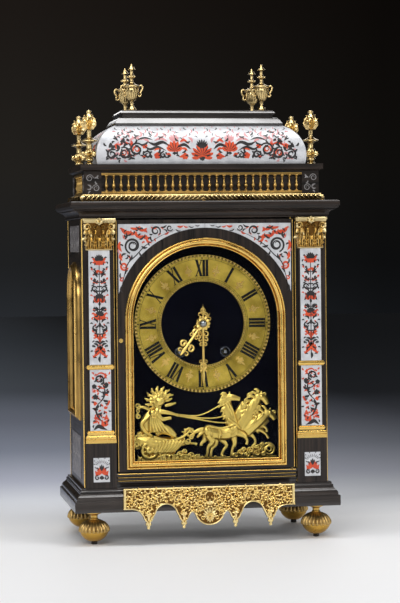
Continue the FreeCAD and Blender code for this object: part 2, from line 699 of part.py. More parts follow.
def pilasters():
    x = d.pilaster_x
    stile = block("stile", (d.stile_inner, FRONT, BASE_TOP), (CASE_SIDE, DIAL_FRONT, CASE_TOP))
    pedestal_half = d.pedestal_width / 2
    pedestal = block("pedestal", (x - pedestal_half, FRONT - d.pedestal_proud, BASE_TOP),
                     (x + pedestal_half, FRONT, PEDESTAL_TOP))
    shaft_half = d.shaft_width / 2
    shaft = block("shaft", (x - shaft_half, FRONT - d.shaft_proud, PEDESTAL_TOP),
                  (x + shaft_half, FRONT, CASE_TOP))
    recess = block("gilt_seat", (x - pedestal_half, FRONT - d.pedestal_proud, PEDESTAL_TOP),
                   (x + pedestal_half, FRONT, PILASTER_BASE_TOP))
    seat = block("astragal_seat", (x - pedestal_half, FRONT - d.pedestal_proud, ASTRAGAL_FOOT),
                 (x + pedestal_half, FRONT, ASTRAGAL_TOP))
    crown = block("capital_seat", (x - pedestal_half, FRONT - d.pedestal_proud, CAPITAL_FOOT),
                  (x + pedestal_half, FRONT, CASE_TOP))
    bare_shaft = cut("bare_shaft", shaft, recess, seat, crown)
    pair("pilasters", fuse("right_pilaster", stile, pedestal, bare_shaft))

    panel = d.panel_width / 2
    skin = FRONT - d.shaft_proud
    lower = block("lower_panel_plate", (x - panel, skin - d.veneer, PILASTER_BASE_TOP),
                  (x + panel, skin, ASTRAGAL_FOOT))
    upper = block("upper_panel_plate", (x - panel, skin - d.veneer, ASTRAGAL_TOP),
                  (x + panel, skin, CAPITAL_FOOT))
    small = d.pedestal_panel_width / 2
    face = FRONT - d.pedestal_proud
    middle = BASE_TOP + d.pedestal_height * 0.41
    tall = d.pedestal_panel_height / 2
    little = block("pedestal_plate", (x - small, face - d.veneer, middle - tall),
                   (x + small, face, middle + tall))
    pair("pilaster_panels", group("right_pilaster_panels", lower, upper, little))

    bead = d.pilaster_base / 3
    base = pilaster_piece("right_pilaster_base", [
        (pedestal_half, d.pedestal_proud, PEDESTAL_TOP),
        (pedestal_half, d.pedestal_proud, PEDESTAL_TOP + bead),
        (shaft_half + d.veneer, d.shaft_proud + d.veneer, PILASTER_BASE_TOP - bead),
        (shaft_half + d.veneer, d.shaft_proud + d.veneer, PILASTER_BASE_TOP),
    ])
    band = d.astragal_height / 3
    astragal = pilaster_piece("right_astragal", [
        (shaft_half, d.shaft_proud, ASTRAGAL_FOOT),
        (d.astragal_width / 2, d.astragal_proud, ASTRAGAL_FOOT + band),
        (d.astragal_width / 2, d.astragal_proud, ASTRAGAL_TOP - band),
        (shaft_half, d.shaft_proud, ASTRAGAL_TOP),
    ])
    pair("pilaster_mouldings", group("right_mouldings", base, astragal))
    abacus = d.capital_top / 2
    under = CASE_TOP - d.abacus
    bell_half = abacus - d.abacus / 2
    bell_proud = d.capital_proud - d.abacus / 2
    capital = pilaster_piece("right_capital", [
        (shaft_half, d.shaft_proud + d.veneer, CAPITAL_FOOT),
        (shaft_half, d.shaft_proud + d.veneer, CAPITAL_FOOT + d.abacus, d.capital_height * 1.8, 1),
        (bell_half, bell_proud, under),
        (abacus, d.capital_proud, under),
        (abacus, d.capital_proud, CASE_TOP),
    ])
    pair("capitals", capital)


def door_sill():
    nosing = FRONT - d.sill_proud
    third = d.sill_height / 3
    side_profile = [
        (FRONT, BASE_TOP),
        (DIAL_FRONT, BASE_TOP),
        (DIAL_FRONT, SILL_TOP),
        (nosing, SILL_TOP),
        (nosing, SILL_TOP - third),
        (FRONT, SILL_TOP - third * 2),
    ]
    profile("door_sill", "side", side_profile, d.stile_inner * 2)


def front_door():
    slab = block("door_slab", (-DOOR_HALF, FRONT, DOOR_BOTTOM), (DOOR_HALF, DOOR_BACK, DOOR_TOP))
    opening = arched("door_opening", DOOR_OPENING, BEZEL_BOTTOM + d.bezel_band - d.rebate, d.arch_spring,
                     FRONT - 1, DOOR_BACK + 1)
    hole = d.pivot + d.running
    reach = d.pivot_reach + d.pane_play
    low_hole = rod("low_pivot_hole", hole, (DOOR_AXIS_X, DOOR_AXIS_Y, DOOR_BOTTOM - 1), reach + 1)
    high_hole = rod("high_pivot_hole", hole, (DOOR_AXIS_X, DOOR_AXIS_Y, DOOR_TOP - reach), reach + 1)
    cut("door_frame", slab, opening, low_hole, high_hole)
    gap = d.door_gap / 2
    low_pin = rod("low_pivot", d.pivot, (DOOR_AXIS_X, DOOR_AXIS_Y, SILL_TOP), d.pivot_reach + gap)
    high_pin = rod("high_pivot", d.pivot, (DOOR_AXIS_X, DOOR_AXIS_Y, DOOR_TOP - d.pivot_reach),
                   d.pivot_reach + d.door_gap)
    group("front_pivots", low_pin, high_pin)

    outer = arched("bezel_outer", d.door_bezel_outer, BEZEL_BOTTOM, d.arch_spring,
                   FRONT - d.bezel_proud, FRONT)
    inner = arched("bezel_inner", d.door_bezel_inner, BEZEL_BOTTOM + d.bezel_band, d.arch_spring,
                   FRONT - d.bezel_proud - 1, FRONT + 1)
    cut("door_bezel", outer, inner)
    arched("door_glass", DOOR_OPENING - d.pane_play, BEZEL_BOTTOM + d.bezel_band - d.rebate + d.pane_play,
           d.arch_spring, FRONT, FRONT + d.glass_thick)

    skin = FRONT - d.veneer
    seam = d.spandrel_seam / 2
    arch = d.door_bezel_outer + d.spandrel_band
    panel = block("spandrel_plate", (seam, skin, d.arch_spring),
                  (DOOR_HALF - d.spandrel_edge, FRONT, DOOR_TOP - d.spandrel_top))
    round_cut = rod("spandrel_round", arch, (0, skin - 1, d.arch_spring), d.veneer + 2, TURN_TO_Y)
    pair("spandrel_panels", cut("right_spandrel", panel, round_cut))

    keyhole_x = -(DOOR_HALF + d.door_bezel_outer) / 2
    lock_left = -DOOR_HALF + d.veneer
    lock_case = block("lock_case", (lock_left, DOOR_BACK, d.lock_z - d.lock_height / 2),
                      (lock_left + d.lock_width, DOOR_BACK + d.lock_depth, d.lock_z + d.lock_height / 2))
    escutcheon = rod("escutcheon", d.escutcheon, (keyhole_x, FRONT - d.veneer, d.lock_z), d.veneer,
                     TURN_TO_Y)
    group("door_lock", lock_case, escutcheon)


def back_door():
    half = d.back_opening / 2 - d.door_gap
    bottom = BASE_TOP + d.back_rail + d.door_gap / 2
    top = CASE_TOP - d.back_rail - d.door_gap / 2
    start = BACK - d.back_door_thick
    axis_x = d.pivot_edge - half
    axis_y = BACK - d.pivot_face
    slab = block("back_slab", (-half, start, bottom), (half, BACK, top))
    hole = d.pivot + d.running
    reach = d.pivot_reach + d.pane_play
    low_hole = rod("back_low_hole", hole, (axis_x, axis_y, bottom - 1), reach + 1)
    high_hole = rod("back_high_hole", hole, (axis_x, axis_y, top - reach), reach + 1)
    cut("back_door", slab, low_hole, high_hole)
    gap = d.door_gap / 2
    low_pin = rod("back_low_pivot", d.pivot, (axis_x, axis_y, bottom - gap), d.pivot_reach + gap)
    high_pin = rod("back_high_pivot", d.pivot, (axis_x, axis_y, top - d.pivot_reach), d.pivot_reach + gap)
    group("door_pivots", doc.getObject("front_pivots"), low_pin, high_pin)
    rod("back_door_knob", d.knob, (half - d.knob * 3, BACK, d.dial_z), d.knob * 2, TURN_TO_Y)


def roof():
    cove_foot = CASE_TOP + d.cornice_bed_height
    crown = CORNICE_TOP - d.cornice_crown
    steps = [
        (d.cornice_bed, CASE_TOP),
        (d.cornice_bed, cove_foot, d.cornice_bed * 1.5, 1),
        (d.cornice_cove, crown),
        (0, crown),
        (0, CORNICE_TOP),
    ]
    moulded("cornice", d.cornice_width / 2, d.cornice_depth / 2, steps)

    half_width = d.attic_width / 2
    half_depth = d.attic_depth / 2
    leaf_fillet = d.leaf_height / 5
    leaf_steps = [
        (leaf_fillet, CORNICE_TOP),
        (0, CORNICE_TOP + leaf_fillet),
        (0, LEAF_TOP - leaf_fillet * 2, d.leaf_height, -1),
        (d.leaf_proud - leaf_fillet, LEAF_TOP),
    ]
    leaf = moulded("leaf_block", half_width + d.leaf_proud, half_depth + d.leaf_proud, leaf_steps)
    core = block("leaf_core", (-half_width, -half_depth, CORNICE_TOP - 1),
                 (half_width, half_depth, LEAF_TOP + 1))
    cut("leaf_moulding", leaf, core)

    body = block("attic_body", (-half_width, -half_depth, CORNICE_TOP),
                 (half_width, half_depth, GALLERY_TOP))
    across = half_width - d.corner_block
    along = half_depth - d.corner_block
    front_recess = block("front_recess", (-across, -half_depth - 1, LEAF_TOP),
                         (across, d.gallery_recess - half_depth, GALLERY_TOP))
    side_recess = block("side_recess", (half_width - d.gallery_recess, -along, LEAF_TOP),
                        (half_width + 1, along, GALLERY_TOP))
    recesses = group("recesses", pair("depth_recesses", front_recess, IN_DEPTH),
                     pair("width_recesses", side_recess))
    blocks = cut("attic_blocks", body, recesses)
    third = d.attic_top_height / 3
    top_steps = [
        (d.attic_top_proud, GALLERY_TOP),
        (d.attic_top_proud, GALLERY_TOP + third / 2),
        (d.attic_top_proud / 3, GALLERY_TOP + third),
        (0, GALLERY_TOP + third),
        (0, ATTIC_TOP),
    ]
    top = moulded("attic_top", half_width + d.attic_top_proud, half_depth + d.attic_top_proud, top_steps)
    fuse("attic", blocks, top)

    cushion = dome_form("dome_outside", d.dome_width / 2, d.dome_depth / 2, DOME_TOP, d.dome_bow)
    hollow = dome_form("dome_inside", d.dome_width / 2 - d.dome_wall, d.dome_depth / 2 - d.dome_wall,
                       DOME_TOP - d.dome_wall, d.dome_bow - d.dome_wall)
    cut("dome", cushion, hollow)

    ledge_x = d.dome_width / 2 - d.dome_draw_x + d.ledge_proud
    ledge_y = d.dome_depth / 2 - d.dome_draw_y + d.ledge_proud
    ledge_half = d.ledge_height / 2
    ledge = moulded("cap_ledge", ledge_x, ledge_y, [
        (d.ledge_proud, DOME_TOP),
        (0, DOME_TOP + d.ledge_proud),
        (0, DOME_TOP + ledge_half),
        (ledge_half, LEDGE_TOP),
    ])
    cap_fillet = d.cap_height / 4
    plateau = moulded("cap_plateau", d.cap_width / 2, d.cap_depth / 2, [
        (cap_fillet, LEDGE_TOP),
        (cap_fillet, CAP_TOP - cap_fillet * 2),
        (0, CAP_TOP - cap_fillet),
        (0, CAP_TOP),
    ])
    fuse("dome_cap", ledge, plateau)


def dome_form(name, half_width, half_depth, top, bow):
    """A cushion: its sides bow outwards and draw in to a smaller top."""
    front = [(half_width, ATTIC_TOP, bow, -1), (half_width - d.dome_draw_x, top)]
    front += [(d.dome_draw_x - half_width, top, bow, -1), (-half_width, ATTIC_TOP)]
    side = [(half_depth, ATTIC_TOP, bow, -1), (half_depth - d.dome_draw_y, top)]
    side += [(d.dome_draw_y - half_depth, top, bow, -1), (-half_depth, ATTIC_TOP)]
    across = profile(f"{name}_front", "front", front, d.attic_depth * 2)
    along = profile(f"{name}_side", "side", side, d.attic_width * 2)
    return common(name, across, along)


# Turned finials: shares of the named radius and of the whole height, from foot to tip.
VASE_PROFILE = [
    ("vase_foot", 1, 0), ("vase_foot", 1, 0.03), ("vase_foot", 0.8, 0.055), ("vase_stem", 1, 0.1),
    ("vase_stem", 1, 0.18), ("vase_body", 0.3, 0.205), ("vase_body", 0.58, 0.245), ("vase_body", 0.84, 0.33),
    ("vase_body", 0.92, 0.42), ("vase_body", 0.86, 0.475), ("vase_body", 1, 0.5), ("vase_body", 0.96, 0.53),
    ("vase_body", 0.4, 0.575), ("vase_stem", 1, 0.625), ("vase_stem", 0.95, 0.68), ("vase_bud", 1, 0.7),
    ("vase_bud", 1, 0.735), ("vase_stem", 1.1, 0.75), ("vase_stem", 0.85, 0.81), ("vase_stem", 0.9, 0.86),
    ("vase_bud", 0.9, 0.875), ("vase_bud", 0.75, 0.895), ("vase_bud", 0.45, 0.935), ("vase_bud", 0.24, 0.96),
    ("vase_bud", 0.22, 0.985),
]
BUD_PROFILE = [
    ("bud_foot", 0.9, 0), ("bud_foot", 0.9, 0.02), ("bud_foot", 0.62, 0.035), ("bud_foot", 1, 0.07),
    ("bud_foot", 0.98, 0.1), ("bud_foot", 0.78, 0.13), ("bud_disc", 0.62, 0.155), ("bud_disc", 0.72, 0.19),
    ("bud_disc", 0.71, 0.215), ("bud_disc", 0.5, 0.26), ("bud_stem", 1.25, 0.3), ("bud_stem", 1.24, 0.38),
    ("bud_disc", 0.66, 0.41), ("bud_disc", 1, 0.425), ("bud_disc", 0.97, 0.44), ("bud_disc", 0.45, 0.48),
    ("bud_stem", 1, 0.515), ("bud_stem", 1, 0.625), ("bud_body", 0.55, 0.66), ("bud_body", 0.98, 0.735),
    ("bud_body", 1, 0.8), ("bud_body", 0.7, 0.89), ("bud_body", 0.36, 0.935), ("bud_body", 0.38, 0.965),
    ("bud_body", 0.25, 0.985),
]


def finials():
    for name, section, height, x, y, level in (
        ("vase", VASE_PROFILE, d.vase_height, d.vase_x, d.vase_y, CAP_TOP),
        ("bud", BUD_PROFILE, d.bud_height, d.bud_x, d.bud_y, ATTIC_TOP),
    ):
        corners = [(getattr(d, radius) * share, height * rise) for radius, share, rise in section]
        single = turned(name, [(0, 0)] + corners + [(0, height)], x, -y, level)
        four(f"{name}_finials", single)


def feature(name, shape):
    """A sub-part shaped by a formula; its sizes come from the sheet."""
    item = doc.addObject("Part::Feature", name)
    item.Shape = shape
    return item


def lathe(corners):
    """A solid turned about Z from (radius, height) corners."""
    points = [V(radius, 0, height) for radius, height in corners]
    return Part.Face(Part.makePolygon(points + points[:1])).revolve(V(), V(0, 0, 1), 360)


def bar(low, high):
    """A box shape between two corners given as numbers."""
    return Part.makeBox(*(b - a for a, b in zip(low, high)), V(*low))


def baluster_run(length, place_of):
    """One balustrade of rails and turned balusters, along X about the origin, then put in place."""
    tall = float(d.gallery_height)
    rail = float(d.rail)
    half_depth = float(d.rail_depth) / 2
    belly = float(d.baluster_belly)
    neck = float(d.baluster_neck)
    rise = tall - 2 * rail
    section = [
        (0, rail),
        (belly, rail),
        (belly, rail + rise * 0.08),
        (neck, rail + rise * 0.16),
        (belly * 0.9, rail + rise * 0.34),
        (neck, rail + rise * 0.66),
        (neck, rail + rise * 0.84),
        (belly * 0.8, rail + rise * 0.9),
        (belly * 0.8, tall - rail),
        (0, tall - rail),
    ]
    single = lathe(section)
    pieces = [
        bar((-length / 2, -half_depth, 0), (length / 2, half_depth, rail)),
        bar((-length / 2, -half_depth, tall - rail), (length / 2, half_depth, tall)),
    ]
    pitch = float(d.baluster_pitch)
    count = int(length / pitch)
    for index in range(count):
        copy = single.copy()
        copy.translate(V((index - (count - 1) / 2) * pitch, 0, 0))
        pieces.append(copy)
    run = pieces[0].multiFuse(pieces[1:])
    run.Placement = place_of.multiply(run.Placement)
    return run


def balustrades():
    across = float(d.attic_width - d.corner_block * 2)
    along = float(d.attic_depth - d.corner_block * 2)
    half_width = float((d.attic_width - d.rail_depth) / 2)
    half_depth = float((d.attic_depth - d.rail_depth) / 2)
    level = float(LEAF_TOP)
    runs = []
    for turn, length, reach in ((0, across, half_depth), (90, along, half_width)):
        for side in (-1, 1):
            place_of = FreeCAD.Placement(V(0, 0, level), FreeCAD.Rotation(V(0, 0, 1), turn))
            place_of = place_of.multiply(FreeCAD.Placement(V(0, side * reach, 0), UPRIGHT))
            runs.append(baluster_run(length, place_of))
    feature("balustrades", Part.makeCompound(runs))


def dial():
    half = d.dial_width / 2
    plate_solid = block("dial_plate_solid", (-half, DIAL_FRONT, BASE_TOP + d.dial_margin),
                        (half, DIAL_BACK, CASE_TOP - d.dial_margin))
    length = d.dial_thick + 2
    start = DIAL_FRONT - 1
    barrel_z = d.dial_z - d.barrel_drop
    centre = rod("dial_centre_hole", d.winding_hole, (0, start, d.dial_z), length, TURN_TO_Y)
    right = rod("going_winding_hole", d.winding_hole, (d.barrel_x, start, barrel_z), length, TURN_TO_Y)
    left = rod("strike_winding_hole", d.winding_hole, (-d.barrel_x, start, barrel_z), length, TURN_TO_Y)
    cut("dial_plate", plate_solid, centre, right, left)
    ring_start = DIAL_FRONT - d.ring_thick
    outer = rod("ring_outer_disc", d.ring_outer, (0, ring_start, d.dial_z), d.ring_thick, TURN_TO_Y)
    inner = rod("ring_inner_disc", d.ring_inner, (0, ring_start - 1, d.dial_z), d.ring_thick + 2, TURN_TO_Y)
    cut("chapter_ring", outer, inner)
    figure_group()


def figure_group():
    """The gilt relief under the dial: ground, chariot with its driver, and the team of horses."""
    half = d.group_width / 2
    foot = d.group_bottom
    ground_top = foot + d.group_ground
    rise = d.dial_z - d.ring_outer - ground_top
    ground = plate("group_ground_strip", [
        (-half, foot),
        (half, foot),
        (half, ground_top),
        (-half, ground_top),
    ], DIAL_FRONT, d.group_relief / 2)
    chariot = plate("group_chariot", [
        (-half * 0.9, ground_top),
        (-half * 0.3, ground_top),
        (-half * 0.3, ground_top + rise * 0.32),
        (-half * 0.16, ground_top + rise * 0.64),
        (-half * 0.38, ground_top + rise * 0.69),
        (-half * 0.46, ground_top + rise * 1.17),
        (-half * 0.66, ground_top + rise * 1.21),
        (-half * 0.72, ground_top + rise * 0.64),
        (-half, ground_top + rise * 0.53),
    ], DIAL_FRONT, d.group_relief)
    team = plate("group_team", [
        (-half * 0.1, ground_top),
        (half * 0.7, ground_top),
        (half * 0.86, ground_top + rise * 0.32),
        (half, ground_top + rise * 0.8),
        (half * 0.84, ground_top + rise * 1.1),
        (half * 0.62, ground_top + rise * 1.21),
        (half * 0.3, ground_top + rise * 1.1),
        (half * 0.1, ground_top + rise * 0.53),
        (-half * 0.14, ground_top + rise * 0.37),
    ], DIAL_FRONT, d.group_relief)
    relief = fuse("group_relief", ground, chariot, team)
    ring = rod("group_ring_clearance", d.ring_outer + d.group_gap,
               (0, DIAL_FRONT - d.group_relief * 2, d.dial_z), d.group_relief * 3, TURN_TO_Y)
    cut("chariot_group", relief, ring)


# Tooth shape: heights in modules, widths at root, pitch circle and tip as shares of the pitch.
WHEEL_TOOTH = {"tip": 0.75, "root": 1.25, "widths": (0.5, 0.4, 0.14)}
PINION_LEAF = {"tip": 0.55, "root": 1.25, "widths": (0.34, 0.3, 0.16)}


def toothed(teeth, module, form, centre, phase, start, end, bores=0):
    """A toothed disc on an axis along Y, with one tooth at the phase angle."""
    x, z = centre
    pitch = 2 * math.pi / teeth
    radius = module * teeth / 2
    levels = (radius - form["root"] * module, radius, radius + form["tip"] * module)
    flank = list(zip(levels, form["widths"]))
    points = []
    for index in range(teeth):
        middle = phase + index * pitch
        left = [(level, middle - width * pitch / 2) for level, width in flank]
        right = [(level, middle + width * pitch / 2) for level, width in reversed(flank)]
        points += [V(x + r * math.cos(a), start, z + r * math.sin(a)) for r, a in left + right]
    wires = [Part.makePolygon(points + points[:1])]
    for index in range(bores):
        angle = 2 * math.pi * index / bores
        at = V(x + radius * 0.56 * math.cos(angle), start, z + radius * 0.56 * math.sin(angle))
        wires.append(Part.Wire(Part.makeCircle(radius * 0.24, at, V(0, 1, 0))))
    face = Part.makeFace(wires, "Part::FaceMakerBullseye")
    return face.extrude(V(0, end - start, 0))


def shaft_y(radius, centre, start, end):
    return Part.makeCylinder(radius, end - start, V(centre[0], start, centre[1]), V(0, 1, 0))


def mesh(first, second, teeth):
    """Module and line angle of two meshing wheels, from their centres and total teeth."""
    dx = second[0] - first[0]
    dz = second[1] - first[1]
    return 2 * math.hypot(dx, dz) / teeth, math.atan2(dz, dx)


def gap_phase(angle, leaves):
    """The phase of a pinion that holds a gap towards the wheel that drives it."""
    return angle + math.pi + math.pi / leaves


dial_z = float(d.dial_z)
CENTRE = (0.0, dial_z)
GOING = (float(d.barrel_x), dial_z - float(d.barrel_drop))
STRIKE = (-GOING[0], GOING[1])
SECOND = (float(d.second_x), dial_z - float(d.second_drop))
CONTRATE = (0.0, dial_z + float(d.contrate_rise))
MINUTE_POST = (float(d.minute_wheel_x), dial_z)
PIN = (-float(d.pin_wheel_x), dial_z - float(d.pin_wheel_drop))
HOOP = (-float(d.hoop_x), dial_z + float(d.hoop_rise))
FLY = (-float(d.fly_x), dial_z + float(d.fly_rise))
HAMMER = (-float(d.hammer_x), dial_z + float(d.hammer_rise))

train_front = float(TRAIN_FRONT)
back_plate = float(BACK_PLATE)
plate_front = float(FRONT_PLATE)
train_back = float(TRAIN_BACK)
thick = float(d.wheel_thick)
leaf = float(d.pinion_long)
arbor = float(d.arbor)
barrel_front = train_front + float(d.barrel_setback)
barrel_back = barrel_front + float(d.barrel_long)
second_wheel_y = barrel_front - leaf - thick
centre_wheel_y = second_wheel_y - leaf - thick * 1.5
contrate_y = barrel_front + thick * 3
crown_module = 2 * float(d.contrate_radius) / CONTRATE_TEETH
crown_y = contrate_y - float(d.contrate_tooth) * 0.75 - crown_module * CROWN_PINION / 2
crown_pinion_z = float(CROWN_PINION_Z)
crown_z = crown_pinion_z + float(d.crown_lift)
verge_z = float(VERGE_LEVEL)
VERGE = (0.0, verge_z)
crown_foot_z = CONTRATE[1] + float(d.contrate_radius) * 0.3
end_play = float(d.end_play)
cock_front = train_back + float(d.cock_depth)
cock_back = cock_front + float(d.cock_thick)
pendulum_front = cock_back + end_play
pendulum_back = pendulum_front + thick
pin_back = pendulum_back + thick
pin_wheel_y = barrel_back + thick
pin_end = back_plate - thick / 2
bell_seat = float(d.bell_rim) + float(d.bell_height) + thick


def hands_front():
    """The front plane of the minute hand."""
    hour_back = float(DIAL_FRONT) - float(d.ring_thick) - float(d.hand_gap) / 2
    return hour_back - 2 * float(d.hand_thick) - float(d.hand_gap)


def movement_frame():
    half = d.plate_width / 2
    low = (-half, FRONT_PLATE, d.plate_bottom)
    front = block("front_plate_solid", low, (half, TRAIN_FRONT, d.plate_top))
    back = block("back_plate_solid", (-half, BACK_PLATE, d.plate_bottom), (half, TRAIN_BACK, d.plate_top))
    fit = d.arbor + d.running
    barrel_z = d.dial_z - d.barrel_drop
    winding = d.winding_arbor + d.running
    places = [
        ("centre", d.centre_arbor + d.running, 0, d.dial_z),
        ("second", fit, d.second_x, d.dial_z - d.second_drop),
        ("contrate", fit, 0, d.dial_z + d.contrate_rise),
        ("pin_wheel", fit, -d.pin_wheel_x, d.dial_z - d.pin_wheel_drop),
        ("hoop", fit, -d.hoop_x, d.dial_z + d.hoop_rise),
        ("fly", fit, -d.fly_x, d.dial_z + d.fly_rise),
        ("hammer", fit, -d.hammer_x, d.dial_z + d.hammer_rise),
        ("going", winding, d.barrel_x, barrel_z),
        ("strike", winding, -d.barrel_x, barrel_z),
        ("verge", fit, 0, VERGE_LEVEL),
    ]
    for label, solid, start in (("front_plate", front, FRONT_PLATE), ("back_plate", back, BACK_PLATE)):
        holes = [rod(f"{label}_{hole}_hole", radius, (x, start - 1, z), d.plate_thick + 2, TURN_TO_Y)
                 for hole, radius, x, z in places]
        if label == "front_plate":
            post = rod("minute_post", d.arbor, (d.minute_wheel_x, DIAL_BACK + d.hand_gap, d.dial_z),
                       d.motion_space - d.hand_gap, TURN_TO_Y)
            solid = fuse("front_plate_with_post", solid, post)
        else:
            post = rod("count_post", d.winding_arbor, (-d.barrel_x, TRAIN_BACK, barrel_z),
                       d.wheel_thick * 4, TURN_TO_Y)
            holes[8] = rod("strike_blind_hole", winding, (-d.barrel_x, BACK_PLATE - 1, barrel_z),
                           d.plate_thick / 2 + 1, TURN_TO_Y)
            solid = fuse("back_plate_with_post", solid, post)
        cut(label, solid, *holes)
    pillar_x = half - d.pillar_edge
    levels = (("low", d.plate_bottom + d.pillar_edge), ("high", d.plate_top - d.pillar_edge))
    pillars = []
    for level, z in levels:
        pillars.append(rod(f"{level}_pillar", d.pillar, (pillar_x, TRAIN_FRONT, z), d.plate_space,
                           TURN_TO_Y))
        pillars.append(rod(f"{level}_dial_foot", d.pillar, (pillar_x, DIAL_BACK, z), d.motion_space,
                           TURN_TO_Y))
    pair("plate_pillars", group("right_pillars", *pillars))


def barrels():
    for label, centre, driven in (("going", GOING, SECOND), ("strike", STRIKE, PIN)):
        module, angle = mesh(centre, driven, BARREL_TEETH + SECOND_PINION)
        drum = module * (BARREL_TEETH / 2 - 2.2)
        room = drum - float(d.barrel_wall)
        hub = float(d.winding_arbor) + float(d.running)
        teeth = toothed(BARREL_TEETH, module, WHEEL_TOOTH, centre, angle,
                        barrel_front, barrel_front + thick)
        wall = shaft_y(drum, centre, barrel_front, barrel_back)
        hollow = shaft_y(room, centre, barrel_front - 1, barrel_back - thick)
        bore = shaft_y(hub, centre, barrel_front - 1, barrel_back + 1)
        feature(f"{label}_barrel", teeth.fuse(wall).cut(hollow).cut(bore))
        feature(f"{label}_mainspring", spiral(centre, hub + end_play, room - end_play, barrel_front + thick,
                                              barrel_back - thick))
        square = float(d.winding_square) / 2
        x, z = centre
        square_end = plate_front - thick / 2
        stem_end = back_plate + float(d.plate_thick) / 2 - end_play
        stem = shaft_y(float(d.winding_arbor), centre, square_end, stem_end)
        square_start = float(DIAL_FRONT) - float(d.ring_thick) / 2
        key = bar((x - square, square_start, z - square), (x + square, square_end, z + square))
        feature(f"{label}_winding_arbor", stem.fuse(key))


def spiral(centre, inner, outer, start, end):
    """A flat spring of half-turn arcs about two centres, so that it winds out at a steady rate."""
    halves = 2 * int(float(d.spring_turns))
    band = float(d.spring_thick)
    step = (outer - inner - band) / halves
    x, z = centre
    edges = []
    ends = []
    for offset in (0, band):
        for index in range(halves):
            side = 1 if index % 2 == 0 else -1
            middle = x if side > 0 else x + step
            radius = inner + index * step + offset
            points = [V(middle + side * radius, start, z), V(middle, start, z + side * radius),
                      V(middle - side * radius, start, z)]
            edges.append(Part.Arc(*points).toShape())
            if index in (0, halves - 1):
                ends.append(points[0] if index == 0 else points[2])
    edges.append(Part.makeLine(ends[0], ends[2]))
    edges.append(Part.makeLine(ends[1], ends[3]))
    wire = Part.Wire(Part.sortEdges(edges)[0])
    return Part.Face(wire).extrude(V(0, end - start, 0))


def wheel_on_arbor(name, centre, arbor_ends, *pieces):
    """A wheel, its pinions and its arbor as one turning piece."""
    shape = shaft_y(arbor, centre, *arbor_ends)
    feature(name, shape.multiFuse(list(pieces)))


def going_train():
    ends = (plate_front, train_back)
    module, angle = mesh(GOING, SECOND, BARREL_TEETH + SECOND_PINION)
    pinion = toothed(SECOND_PINION, module, PINION_LEAF, SECOND, gap_phase(angle, SECOND_PINION),
                     barrel_front - leaf / 2, barrel_front + leaf)
    module, angle = mesh(SECOND, CENTRE, SECOND_TEETH + CENTRE_PINION)
    wheel = toothed(SECOND_TEETH, module, WHEEL_TOOTH, SECOND, angle,
                    second_wheel_y, second_wheel_y + thick, 5)
    wheel_on_arbor("second_wheel", SECOND, ends, pinion, wheel)

    pinion = toothed(CENTRE_PINION, module, PINION_LEAF, CENTRE, gap_phase(angle, CENTRE_PINION),
                     second_wheel_y - thick, second_wheel_y + leaf - thick / 2)
    module, angle = mesh(CENTRE, CONTRATE, CENTRE_TEETH + CONTRATE_PINION)
    wheel = toothed(CENTRE_TEETH, module, WHEEL_TOOTH, CENTRE, angle,
                    centre_wheel_y, centre_wheel_y + thick, 5)
    stem = shaft_y(float(d.centre_arbor), CENTRE, hands_front() + float(d.hand_thick) / 2, train_back)
    feature("centre_wheel", stem.multiFuse([pinion, wheel]))

    pinion = toothed(CONTRATE_PINION, module, PINION_LEAF, CONTRATE, gap_phase(angle, CONTRATE_PINION),
                     centre_wheel_y - thick, centre_wheel_y + leaf - thick / 2)
    wheel_on_arbor("contrate_wheel", CONTRATE, ends, pinion, contrate_rim())


def rim_teeth(count, radius, wall, low, high, widths):
    """Teeth that stand on a rim about Z, each a tapering block as thick as the rim's wall."""
    pitch = 2 * math.pi * radius / count
    low_half, high_half = (width * pitch / 2 for width in widths)
    inside = radius - wall
    corners = [V(inside, -low_half, low), V(inside, low_half, low), V(inside, high_half, high),
               V(inside, -high_half, high)]
    tooth = Part.Face(Part.makePolygon(corners + corners[:1])).extrude(V(wall, 0, 0))
    teeth = []
    for index in range(count):
        copy = tooth.copy()
        copy.rotate(V(), V(0, 0, 1), 360 * index / count)
        teeth.append(copy)
    return teeth


def contrate_rim():
    """A disc whose rim teeth point forward, with a tooth at the top."""
    wall = crown_module * 2
    radius = float(d.contrate_radius) + wall / 2
    disc = Part.makeCylinder(radius, thick)
    rim = disc.multiFuse(rim_teeth(CONTRATE_TEETH, radius, wall, -float(d.contrate_tooth), thick / 2,
                                   (0.16, 0.5)))
    rim.rotate(V(), V(1, 0, 0), -90)
    rim.translate(V(CONTRATE[0], contrate_y, CONTRATE[1]))
    return rim


